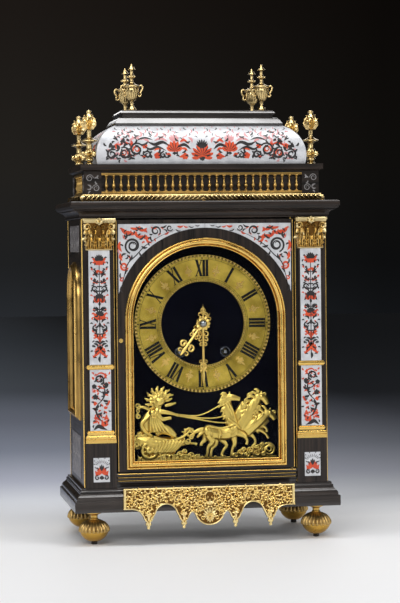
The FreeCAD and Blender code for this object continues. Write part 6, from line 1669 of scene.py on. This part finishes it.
crest = Panel(1.25)
red, black, rose = crest.red, crest.black, crest.rose
palmette(crest, 9, 1.1)
red.fan(34, 15, 90, 140, 7, 14, 3.4, True)
rose.fan(34, 26, 90, 80, 5, 13, 2.2, True)
black.fan(34, 15, -90, 100, 3, 4, 1.6, True)
black.fan(34, 16, 90, 150, 6, 11, 0.8, True)
for path, width in (
        (((14, 18), (22, 24), (30, 20)), 3), (((40, 22), (48, 27), (58, 24), (67, 28)), 3.4),
        (((44, 16), (54, 21), (64, 18), (72, 24)), 2.4), (((60, 30), (70, 33), (80, 29)), 2)):
    black.stroke(path, width, 0.5, True)
for path, width in (
        (((42, 28), (50, 32), (58, 29)), 2.8), (((16, 24), (22, 30), (27, 27)), 2.4),
        (((72, 30), (82, 33), (90, 28)), 2.4), (((86, 24), (96, 26), (104, 20)), 2.6)):
    (rose if path[0][1] > 25 else red).stroke(path, width, 0.5, True)
for x, y, radius, turns, start in (
        (80, 18, 8.2, -1.5, 150), (67, 11.6, 4.4, 1.3, 30), (95, 13.4, 7.4, 1.5, 60),
        (110, 12, 6.2, -1.4, 120), (48, 11, 3.6, -1.2, 90)):
    black.scroll(x, y, radius, start, turns, 2, True)
    for angle in (20, 75, 130, 200, 300):
        a = radians(angle)
        black.pair(x + radius * cos(a), y + radius * sin(a), angle + 40, radius * 0.7, 1.7, 0.2)
for x, y, angle, length in (
        (12, 26, 60, 9), (18, 16, 20, 8), (26, 26, 110, 9), (44, 33, 60, 9), (50, 18, -10, 9),
        (58, 34, 120, 9), (64, 26, 30, 9), (74, 34, 80, 9), (88, 33, 60, 8), (88, 22, 100, 8),
        (100, 27, 130, 8), (103, 16, 80, 8), (114, 20, 110, 7), (86, 9, 30, 7), (74, 9, 150, 7),
        (38, 9.6, 20, 7), (28, 9, 150, 6)):
    tone = black if x > 90 else rose if y > 24 else red
    tone.pair(x, y, angle, length, 3.4 if x > 90 else 2.4, 0.2)
    black.pair(x + 2, y + 2, angle - 60, length * 0.8, 1.9, -0.2)
red.scroll(95, 13.4, 4.4, 200, -1.2, 1.7, True)
red.scroll(80, 18, 4.6, 330, 1.2, 1.7, True)
for x, y, radius in ((21, 9.6, 4.2), (55, 10.4, 4.2), (70, 22, 3.4), (104, 22, 3.6)):
    for petal in range(5):
        red.leaf(x, y, 72 * petal + 18, radius, radius * 0.75, 0, 0.6, True)
for x in range(6, 116, 11):
    black.pair(x, 8.6, 20, 4.4, 1.5, 0.3)
for step in range(11):
    x, y = 4 + step * 9.4, 37 + 3 * sin(step * 2.1)
    rose.pair(x, y, 60 + 40 * (step % 3), 7.5, 1.3, 0.25)
    black.pair(x + 4, y + 6, 100 - 35 * (step % 3), 5.6, 1, -0.25)
    black.pair(x + 1, y - 4, 30 + 50 * (step % 2), 4.6, 1, 0.25)
    if x < 92:
        rose.pair(x + 2, y + 10, 80, 4, 0.8, 0.2)
strew((black, rose), (82, 6), 10, 9, 4.4, 4.6, lambda x, y: x < 119 - 0.3 * y, True)
face = Matrix.Identity(4)
crest.hand_over("dome_front", [face, MIRROR_Y], "case", "dome_marquetry",
                on_arc(24.06, 469.25, -18.4, False))

flank = Panel()
red, black, rose = flank.red, flank.black, flank.rose
palmette(flank, 9, 0.95)
red.fan(30, 15, 90, 130, 7, 11, 2.8, True)
for path, width in ((((12, 18), (19, 24), (27, 21)), 2.6), (((34, 22), (41, 26), (49, 22)), 2.6)):
    black.stroke(path, width, 0.5, True)
for x, y, radius, turns, start in (
        (43, 13, 6.4, 1.5, 60), (53.5, 11.4, 4.2, -1.3, 120), (20, 10.6, 3.8, -1.2, 90)):
    black.scroll(x, y, radius, start, turns, 1.8, True)
red.scroll(43, 13, 3.8, 200, -1.2, 1.5, True)
for step in range(4):
    x, y = 5 + step * 9.6, 38 + 3 * sin(step * 2.1)
    rose.pair(x, y, 60 + 40 * (step % 3), 7, 1.2, 0.25)
    black.pair(x + 4, y + 6, 100 - 35 * (step % 3), 5.2, 0.9, -0.25)
    black.pair(x + 1, y - 4, 40, 4.4, 0.9, 0.25)
flank.hand_over("dome_side", [face, MIRROR_X], "case", "dome_marquetry",
                on_arc(88.9, 467.07, -15.2, True))

# %% [markdown]
# Older, darker marquetry covers the sides of the case and the corner blocks of the attic.
# There the leaves are thin silvery lines in a dark ground.

# %% Side and attic marquetry
silver = sheet("silver_line", (0.34, 0.32, 0.32), (0.17, 0.16, 0.16), 0.3, 0.36)


def vine(drawing, low, high, half):
    """Scrolls and leaves by turns to the left and right, up a strip of a given half width."""
    count = max(round((high - low) / 15), 1)
    pitch = (high - low) / count
    for step in range(count):
        y, side = low + pitch * (step + 0.5), 1 if step % 2 else -1
        drawing.scroll(side * half * 0.42, y, min(pitch * 0.46, half * 0.5), 90 + 90 * side,
                       -1.6 * side, 1)
        drawing.leaf(-side * half * 0.2, y, 90 + side * 50, half * 0.7, 2, 0.2)
        drawing.leaf(-side * half * 0.2, y, 90 + side * 100, half * 0.6, 1.8, -0.2)
        drawing.leaf(-side * half * 0.3, y - pitch * 0.3, 270 - side * 40, half * 0.5, 1.6, 0.2)


SIDE_SKIN, VINE_PITCH = 150.1, 29
branch = Drawing(-0.1, 0.14)
vine(branch, 79, 127, 14)
vine(branch, 353, 382, 14)
right_flank = at(SIDE_SKIN, 0, 0) @ spun(90) @ FRONT_UP
vines = [right_flank @ at(offset * VINE_PITCH, 0, 0) for offset in (-1, 0, 1)]
mounted(branch.cut_out("side_vines"), vines + [MIRROR_X @ place for place in vines], silver,
        slot="pewter_marquetry")

block = Drawing(-0.1, 0.14)
vine(block, 422, 446, 9)
corners = [at(133.5, -ATTIC_Y, 0) @ FRONT_UP, at(ATTIC_X, -53, 0) @ spun(90) @ FRONT_UP]
corners += [MIRROR_X @ place for place in corners]
corners += [MIRROR_Y @ place for place in corners]
mounted(block.cut_out("block_vines"), corners, silver, slot="ebony")

# %% [markdown]
# Under the ring a gilt relief is pinned to the velvet: a driver with a crown of rays holds the
# reins of a team that draws a shell chariot over clouds. A founder presses such a model
# together from rolls of wax. Here each roll is a bevelled curve whose radius changes along it,
# drawn on a squared sheet. A voxel remesh then melts the rolls into one casting.

# %% Rolls of wax
SQUARE_WIDE, SQUARE_HIGH = 1.315, 1.33
SHEET_MIDDLE, SHEET_FOOT = 77, 98
THINNEST_ROLL, ROLL_GAIN = 0.2, 1.45
PRESSED, VOXEL = 0.5, 0.55


class Wax(Tube):
    """Rolls on a squared sheet: points of (across, up, radius, lift off the ground)."""

    def roll(self, points, lift=2, divisions=4):
        path = spline([point if len(point) == 4 else (*point, lift) for point in points], divisions)
        self.strand([((across - SHEET_MIDDLE) * SQUARE_WIDE, SHEET_FOOT + up * SQUARE_HIGH, height,
                      max(radius, THINNEST_ROLL) * ROLL_GAIN)
                     for across, up, radius, height in path])

    def lump(self, x, y, radius, lift=2, stretch=1):
        reach = radius * stretch
        self.roll([(x - reach, y, 0.3 * radius), (x - reach * 0.6, y, 0.85 * radius),
                   (x, y, radius), (x + reach * 0.6, y, 0.85 * radius),
                   (x + reach, y, 0.3 * radius)], lift, 2)

    def curl(self, x, y, radius, start, turns, size, lift=2):
        """A roll that winds in to its eye."""
        steps = max(int(abs(turns) * 10), 4)
        points = []
        for step in range(steps + 1):
            angle = radians(start + 360 * turns * step / steps)
            reach = radius * (1 - 0.8 * step / steps)
            points.append((x + reach * cos(angle), y + reach * sin(angle),
                           size * (1 - 0.3 * step / steps)))
        self.roll(points, lift, 2)

    def casting(self):
        """Turn the rolls into a mesh, press it flat, melt it and cut its back off level."""
        item = self.mesh()
        item.data.transform(sized(1, 1, PRESSED))
        modify(item, "REMESH", mode="VOXEL", voxel_size=VOXEL * MM, adaptivity=0)
        modify(item, "SMOOTH", factor=0.5, iterations=1)
        modify(item, "DECIMATE", ratio=0.6)
        with editing(item):
            bpy.ops.mesh.bisect(plane_co=(0, 0, -0.3 * MM), plane_no=(0, 0, 1), use_fill=True,
                                clear_inner=True)
        return smooth(mend(item), 60)


# %% Driver and chariot
wax = Wax("sun_chariot")
roll, lump, curl = wax.roll, wax.lump, wax.curl
WHEEL_X, WHEEL_Y = 26, 9
HEAD_X, HEAD_Y = 36, 54.6
for row, (count, first, step, reach, size, lift) in enumerate((
        (19, 8, 12.5, 14.2, 1.5, 1.2), (18, 14, 12.5, 10.6, 1.4, 3.4),
        (12, 20, 19, 7.2, 1.2, 5.6))):
    for index in range(count):
        angle = radians(first + index * step)
        bend = angle + radians(9 if (index + row) % 2 else -9)
        far = reach * (1 if index % 2 else 0.86)
        roll([(HEAD_X + wide * cos(turn), HEAD_Y + high * sin(turn), size * share)
              for wide, high, turn, share in (
                  (3, 2.8, angle, 0.8), (far * 0.62, far * 0.58, bend, 1),
                  (far, far * 0.93, angle, 0.4))], lift)
lump(36, 53.6, 4, 4.6, 0.95)
lump(37.4, 53.8, 3.1, 6, 1)
roll([(39.6, 54.6, 0.7), (40.6, 53.4, 0.8), (39.8, 52.8, 0.6)], 6.2, 2)
for x, y, start in ((33, 56.5, 20), (32.2, 53, 60), (33, 50, 120), (36, 58, 0)):
    curl(x, y, 1.7, start, 1, 0.75, 6.4)
roll([(41, 49.5, 1.2), (46, 50.5, 1.5), (51.5, 52, 0.6)], 3)
roll([(36, 50, 1.8), (34.4, 46.5, 2.6), (32.4, 41, 4.8), (30.4, 33, 5.4), (31, 26, 5.6)], 4)
lump(29.6, 43, 3.4, 7)
roll([(36, 44.4, 2.2, 6), (42, 43.6, 1.8, 7.5), (48, 42.2, 1.4, 8), (51, 41.2, 1.3, 8),
      (53, 40.6, 1.7, 8)])
roll([(34, 42, 2.1, 8), (37.4, 37.6, 1.9, 9), (43, 38, 1.5, 9), (46.6, 38.4, 1.5, 9)])
roll([(31, 27, 5.4), (38, 28.4, 4.6), (45, 26, 3.6), (50, 21.4, 2.2)], 5)
for fold in range(5):
    roll([(30 + fold * 1.2, 39 - fold * 2.2, 0.6), (35 + fold * 2, 33.4 - fold * 0.8, 1),
          (41 + fold * 2, 29 - fold * 1.3, 1.1), (45.4 + fold * 1.2, 23 - fold * 0.6, 0.7)],
         12.6 - fold * 0.3)
for fold in range(4):
    roll([(29 - fold * 0.6, 46 - fold * 1.6, 1.1), (23.6 - fold * 1.2, 41.6 - fold * 2, 1.6),
          (19.6 - fold * 0.3, 34.6 - fold, 1.6), (19.4 + fold, 27 - fold * 0.4, 1.2),
          (23 + fold * 2, 22.6, 0.7)], 3 + fold * 1.3)
roll([(29, 45, 2.4), (25.4, 39, 3.6), (23.4, 31, 4), (26, 24, 3.4)], 0.8)
lump(WHEEL_X, WHEEL_Y, 6, 0.4)
lump(17.6, 14.4, 4, 0.4)
lump(38, 9.6, 5.4, 0.6, 1.4)
curl(15.4, 49.6, 2.8, 300, 1.3, 0.8, 1.4)
curl(16.2, 45.4, 2.2, 60, 1.2, 0.7, 1.8)
roll([(17.4, 48.4, 0.9), (21, 48.6, 1.3), (27, 46, 1.6)], 1.8)
roll([(14.6, 21, 2.6), (20, 18, 5.2), (30, 15.4, 6.6), (42, 14.6, 6.2), (52, 16, 4.4),
      (59.4, 18, 2.2)], 1.6)
roll([(30, 21.6, 1), (38, 18.8, 1.3), (46, 17.8, 1.4), (54, 19.4, 1.2), (60, 22.8, 1),
      (64, 27, 0.8)], 8.4)
for rib in range(9):
    foot, head = 30 + rib * 2.2, 33 + rib * 3.2
    roll([(foot, 6.6, 0.7), ((foot + head) / 2 + 0.6, 12, 1.1), (head, 17.4, 1)],
         11.4 - abs(rib - 3) * 0.6)
curl(15.6, 20.4, 4.6, 40, -1.6, 1.1, 5)
curl(14.8, 13, 3, 80, 1.4, 0.9, 3)
curl(64, 23.6, 5.2, 200, -1.5, 1.2, 3.4)
for angle in (10, 50, 90, 130, 165):
    a = radians(angle)
    roll([(63 + 3 * cos(a), 24 + 3 * sin(a), 1),
          (63 + 7 * cos(a), 24 + 5.4 * sin(a), 0.6)], 2.4, 3)
roll([(55, 13, 1.2), (62, 14.6, 1.1), (68, 14.2, 1), (70.6, 13.2, 1.6)], 3)


def on_wheel(radius, angle, size):
    return WHEEL_X + radius * cos(angle), WHEEL_Y + radius * sin(angle), size


for radius, size in ((7, 1.25), (2, 1.4)):
    roll([on_wheel(radius, tau * step / 20, size) for step in range(21)], 8.6, 2)
for spoke in range(8):
    a = tau * (spoke + 0.3) / 8
    roll([on_wheel(2, a, 0.8), on_wheel(6.6, a, 0.7)], 8.2, 2)
print("rolls so far:", len(wax.curve.splines))

# %% [markdown]
# A horse is built like the driver: a barrel, a neck, a head and four tapering legs, with the
# mane as loose wisps. The near horse is whole. Its two companions show their necks, heads and
# forelegs over its shoulder, and lie flatter, because they are further away.

# %% Team, reins and clouds
roll([(77, 26.4, 2.4), (80, 26, 5.2), (86, 24, 5.8), (93, 22.6, 5.2), (100, 23.2, 5.8),
      (106, 25.6, 6), (110, 28, 3)], 5)
roll([(105, 28, 5.8, 5), (102.6, 36, 5.4, 5), (100.4, 44, 4.5, 5), (99.4, 51, 3.7, 5),
      (100.4, 55.4, 3.2, 5.6), (104, 55.8, 2.9, 6.4), (108, 55, 2.3, 6.6), (111.4, 54, 1.9, 6.4)])
roll([(112, 26, 6, 2.4), (116.4, 35, 6.2, 2.4), (121.4, 44, 5.4, 2.6), (126, 51, 4.5, 2.8),
      (129.4, 55.4, 3.8, 3.2), (133.2, 55.4, 3.3, 3.6), (136, 52, 2.6, 3.8),
      (137.8, 48.6, 2.1, 3.8)])
roll([(116, 24, 6, 3.4), (123, 29.6, 5.8, 3.6), (129.6, 34.6, 5, 4), (135, 38.8, 4, 4.6),
      (138.8, 40.4, 3.5, 5), (142.2, 38, 2.7, 5.2), (144.6, 34.6, 2.1, 5.2)])
for x, y, lift in ((102.6, 56.4, 9.6), (132.2, 56.2, 7.6), (139.8, 41.2, 8.8)):
    lump(x, y, 1.2, lift)
for x, y, dx, dy in (
        (98.6, 58, -1, 3), (101.4, 58.6, 0.6, 3), (128.4, 58.4, -1, 3), (131.4, 58.6, 1, 2.8),
        (137, 43, -1, 3), (139.6, 43.2, 1, 2.6)):
    roll([(x, y, 0.9), (x + dx / 2, y + dy * 0.6, 0.8), (x + dx, y + dy, 0.4)], 5, 2)
for root, tip, lift in (
        ((98.4, 57), (92, 54), 5), ((97.6, 54), (90, 50.6), 6), ((97.6, 50.4), (90.6, 46.4), 5),
        ((98, 46.6), (92.6, 42.4), 6), ((98.6, 43), (94, 38.6), 5),
        ((127.4, 58.6), (120.6, 59.4), 3), ((125.6, 55.4), (117.6, 55.4), 4),
        ((123, 51.6), (114.6, 50.6), 3), ((120.6, 47.6), (112.6, 46), 4),
        ((130, 60.4), (124.6, 62.6), 3), ((136.4, 43.6), (131.6, 47.4), 4),
        ((133.6, 41.4), (128, 44.4), 5), ((130.6, 38.6), (125, 41), 4), ((128, 36), (122.4, 38), 6),
        ((118, 43), (111.4, 41), 5), ((116, 39), (109.8, 36.6), 4), ((98, 59), (92.6, 58.4), 4),
        ((99.6, 39.6), (95, 35.4), 6)):
    middle = ((root[0] + tip[0]) / 2, (root[1] + tip[1]) / 2 + 1.2)
    roll([(*root, 1.3), (*middle, 1.3), (*tip, 0.5)], lift + 2)
for x, y, radius, start, lift in (
        (95.4, 55.4, 2.6, 0, 8), (94.4, 50, 2.4, 40, 9), (95.6, 44.6, 2.4, 0, 8),
        (120.4, 57, 2.6, 20, 6), (117.4, 52.2, 2.4, 60, 7), (115, 47.4, 2.4, 20, 6),
        (129.4, 45, 2.4, 40, 7.6), (126, 41.6, 2.2, 0, 8), (143.4, 41.6, 2.2, 200, 7),
        (134.6, 58.6, 2, 160, 6)):
    curl(x, y, radius, start, 1.4, 0.8, lift)
LEGS = (
    ((82, 22, 4.4, 6), (84.6, 15.4, 2.8, 6), (81, 10.4, 1.6, 6), (80.2, 5, 1.25, 5),
     (79, 1.2, 1.5, 4)),
    ((80, 22, 3.6, 3), (77.6, 17, 2.2, 3), (75, 14.4, 1.4, 3), (74.6, 12, 1.6, 3)),
    ((87, 19, 3.2, 4), (88.6, 13.4, 2, 3), (84.6, 8.4, 1.35, 3), (83.4, 1.4, 1.4, 3)),
    ((93, 18, 2.6, 2), (98.4, 12, 1.7, 2), (95.4, 7, 1.25, 2), (93.6, 2.4, 1.4, 2)),
    ((105, 20, 3.2, 6), (106, 13.4, 2, 6), (103.8, 8, 1.35, 5), (103, 1.4, 1.5, 4)),
    ((109, 23, 3.2, 7), (115, 20, 2.1, 7), (117.8, 15.6, 1.35, 6), (117, 12, 1.5, 6)),
    ((114, 22, 3, 4), (122, 20.6, 1.9, 4), (125.6, 16, 1.25, 4), (125.2, 12.6, 1.5, 4)),
    ((122, 27, 3, 4), (131, 25, 2, 4), (136, 21, 1.3, 4), (138.4, 17, 1.4, 4)),
    ((124, 29, 2.6, 3), (132, 29.6, 1.8, 3), (136.6, 26, 1.25, 3), (137, 23, 1.3, 3)))
for leg in LEGS:
    roll(leg)
roll([(108, 24, 4), (115, 27, 4.6), (121, 33, 4.2), (125, 39, 3)], 1.6)
roll([(108, 34, 4), (111.6, 42, 4.4), (116, 51, 3)], 1)
roll([(120, 33, 4.6), (126, 43, 4.4), (130, 50, 3)], 0.8)
roll([(126, 24, 4), (132, 30, 3.6), (138, 35, 2.6)], 0.8)
roll([(78, 27.4, 1.6), (73.6, 26.6, 2), (69, 24.8, 1.5), (66.4, 21.4, 0.8)], 4)
roll([(77.6, 26, 1.3), (73.6, 22.6, 1.5), (70.6, 19.6, 0.7)], 4.6)
for strap in (
        ((52.6, 41.4), (70, 39.8), (84, 44.4), (99, 53.4)),
        ((52.6, 40.8), (70, 38), (88, 37.4), (102, 40.6)),
        ((52.6, 40.2), (72, 36.4), (90, 33.2), (105, 32.6))):
    roll([(x, y, 0.72) for x, y in strap], 7)
roll([(99.6, 36, 0.9, 12), (106, 32, 1, 14), (111, 26.6, 0.9, 12)])
roll([(82, 30, 0.9, 12), (94, 28, 1, 13), (106, 31.6, 0.9, 14)])
roll([(90, 29, 0.8, 11), (92, 23.6, 0.9, 13.4), (91, 18, 0.8, 11)])
lump(83, 25, 4.2, 8)
lump(105, 27, 4.4, 8)
for x, y, radius in (
        (20, 1.6, 2.2), (34, 3.4, 2.8), (39, 1.8, 2.4), (44, 4.2, 3), (50, 2, 2.6), (55, 4.6, 3),
        (60, 2, 2.6), (65, 3.2, 2.8), (71, 1.8, 2.4), (48, 7.4, 2.2), (59, 7, 2.2), (96, 0.8, 1.8),
        (107, 2, 2.6), (112, 4.4, 3.2), (118, 2.2, 2.8), (121, 6.4, 3.2), (127, 3.4, 3.2),
        (129, 8.6, 3), (88, 0.6, 1.6)):
    lump(x, y, radius, 1.4, 1.25)
    curl(x, y + 0.4, radius * 1.05, 200, -1.3, 0.62, 2.4 + radius * 1.5)
curl(138.6, 7, 6.6, 190, -1.9, 1.15, 3.4)
curl(138.6, 7, 4.6, 30, 0.6, 1, 4)
roll([(17, 0.5, 1), (60, 0.4, 1.1), (100, 0.4, 1.1), (146, 0.5, 1)], 1)
for x0, y0, x1, y1, lift in (
        (98, 50, 104, 36, 11), (100, 52, 106, 38, 11), (119, 48, 114, 36, 8.6),
        (124, 52, 118, 40, 8.6), (127, 38, 120, 29, 10.4), (80, 29, 84, 21, 13),
        (107, 31, 103, 22, 13.4), (133, 40, 125, 33, 10.4)):
    roll([(x0, y0, 0.4), ((x0 + x1) / 2 + 0.8, (y0 + y1) / 2, 0.85), (x1, y1, 0.4)], lift)
for fold in range(6):
    roll([(27 + fold * 1.5, 41 - fold * 0.6, 0.5), (26.4 + fold * 2.2, 34, 0.9),
          (27 + fold * 3.2, 25.6, 0.7)], 12 + 0.4 * fold)
for x, y, radius in (
        (17, 24.6, 2.2), (21.6, 22.4, 2.4), (19.4, 14, 2.2), (33.4, 0.8, 1.8), (29, 1, 1.6),
        (75.4, 1, 1.8), (114.6, 8, 2.2), (124.4, 10.4, 2.2), (132.4, 12, 2.2), (133.4, 3, 2.4)):
    lump(x, y, radius, 3, 1.1)
    curl(x, y + 0.3, radius, 160, 1.3, 0.6, 6)
for blade in range(30):
    x, lean = 15 + blade * 2, (-1) ** blade
    tall = 4.6 + 1.8 * sin(blade * 2.3)
    roll([(x, -3, 1.1), (x + 0.6 * lean, tall * 0.3, 1), (x + 2 * lean, tall * 0.75, 0.5)], 6, 2)
roll([(25, 18.4, 3), (33, 17.4, 3.2), (43, 17.4, 2.6)], 4)
for x, y, radius, start in (
        (57, 18.6, 3, 90), (62, 16.6, 2.8, 200), (65.6, 20.4, 2.6, 20), (13.4, 15, 3, 150),
        (16, 40.6, 2.6, 90), (49.4, 11.6, 2.4, 30), (8.6, 9.4, 2.6, 120)):
    curl(x, y, radius, start, 1.4, 0.9, 6)
mounted(wax.casting(), [at(0, VELVET_FACE, 0) @ FRONT_UP], gilt_relief, "chariot_group")

# %% [markdown]
# The back is plain joiner's work, because it stands against a wall. The rear door gets a
# raised panel moulding, three brass straps at its hinges and a keyhole plate at its free edge.

# %% Rear door
BACK_FACE, KNOB_X = 76, 99.4
back_place = at(0, BACK_FACE, 0) @ spun(180) @ FRONT_UP
frame_path = [(-100, 112), (100, 112), (100, 348), (-100, 348)]
panel_rim = rim("back_panel_rim", frame_path, [
    (0, -0.2), (0, 0.9), (-0.8, 1.8), (-2.2, 2), (-3, 1.4), (-4.6, 1), (-6, 0.5),
    (-6.4, -0.2)])
mounted(panel_rim, [back_place], ebony_upright, body="rear_door", slot="ebony")

straps = []
for height in (140, 230, 320):
    straps.append(rounded(strip(-108.5, 75.8, height - 7, -103.5, 76.7, height + 7), 0.3, 2))
    for screw in (-4, 4):
        head = turned("hinge_screw", [(0, -0.2), (1.3, -0.2), (1.3, 0.5), (0.9, 0.8), (0, 0.85)],
                      16)
        straps.append(placed(head, [at(-106, 76.6, height + screw) @ spun(180) @ FRONT_UP]))
keyhole = Drawing(-0.2, 0.8)
keyhole.ring(-KNOB_X, 240.5, 3.2, 2.2, 28)
for heights in ((240, 234, 230), (241, 246, 250)):
    keyhole.stroke([(-KNOB_X, height) for height in heights], 3.4, 0.3)
straps.append(placed(keyhole.cut_out("keyhole_plate"), [back_place]))
finished(join("back_brasses", straps), "rear_door", "gilt_bronze", gilt_plain)
knob = turned("back_knob", rounding([
    (0, -0.4), (3.4, -0.4), (3.4, 0.8), (2.2, 1.8), (1.9, 3.2), (3.2, 4.8), (4.9, 6.8), (4.6, 8.8),
    (2.6, 9.9), (0, 10.1)], 3), 36)
mounted(knob, [at(KNOB_X, BACK_FACE, DIAL_Z) @ spun(180) @ FRONT_UP], gilt_plain, "back_door_knob",
        body="rear_door")
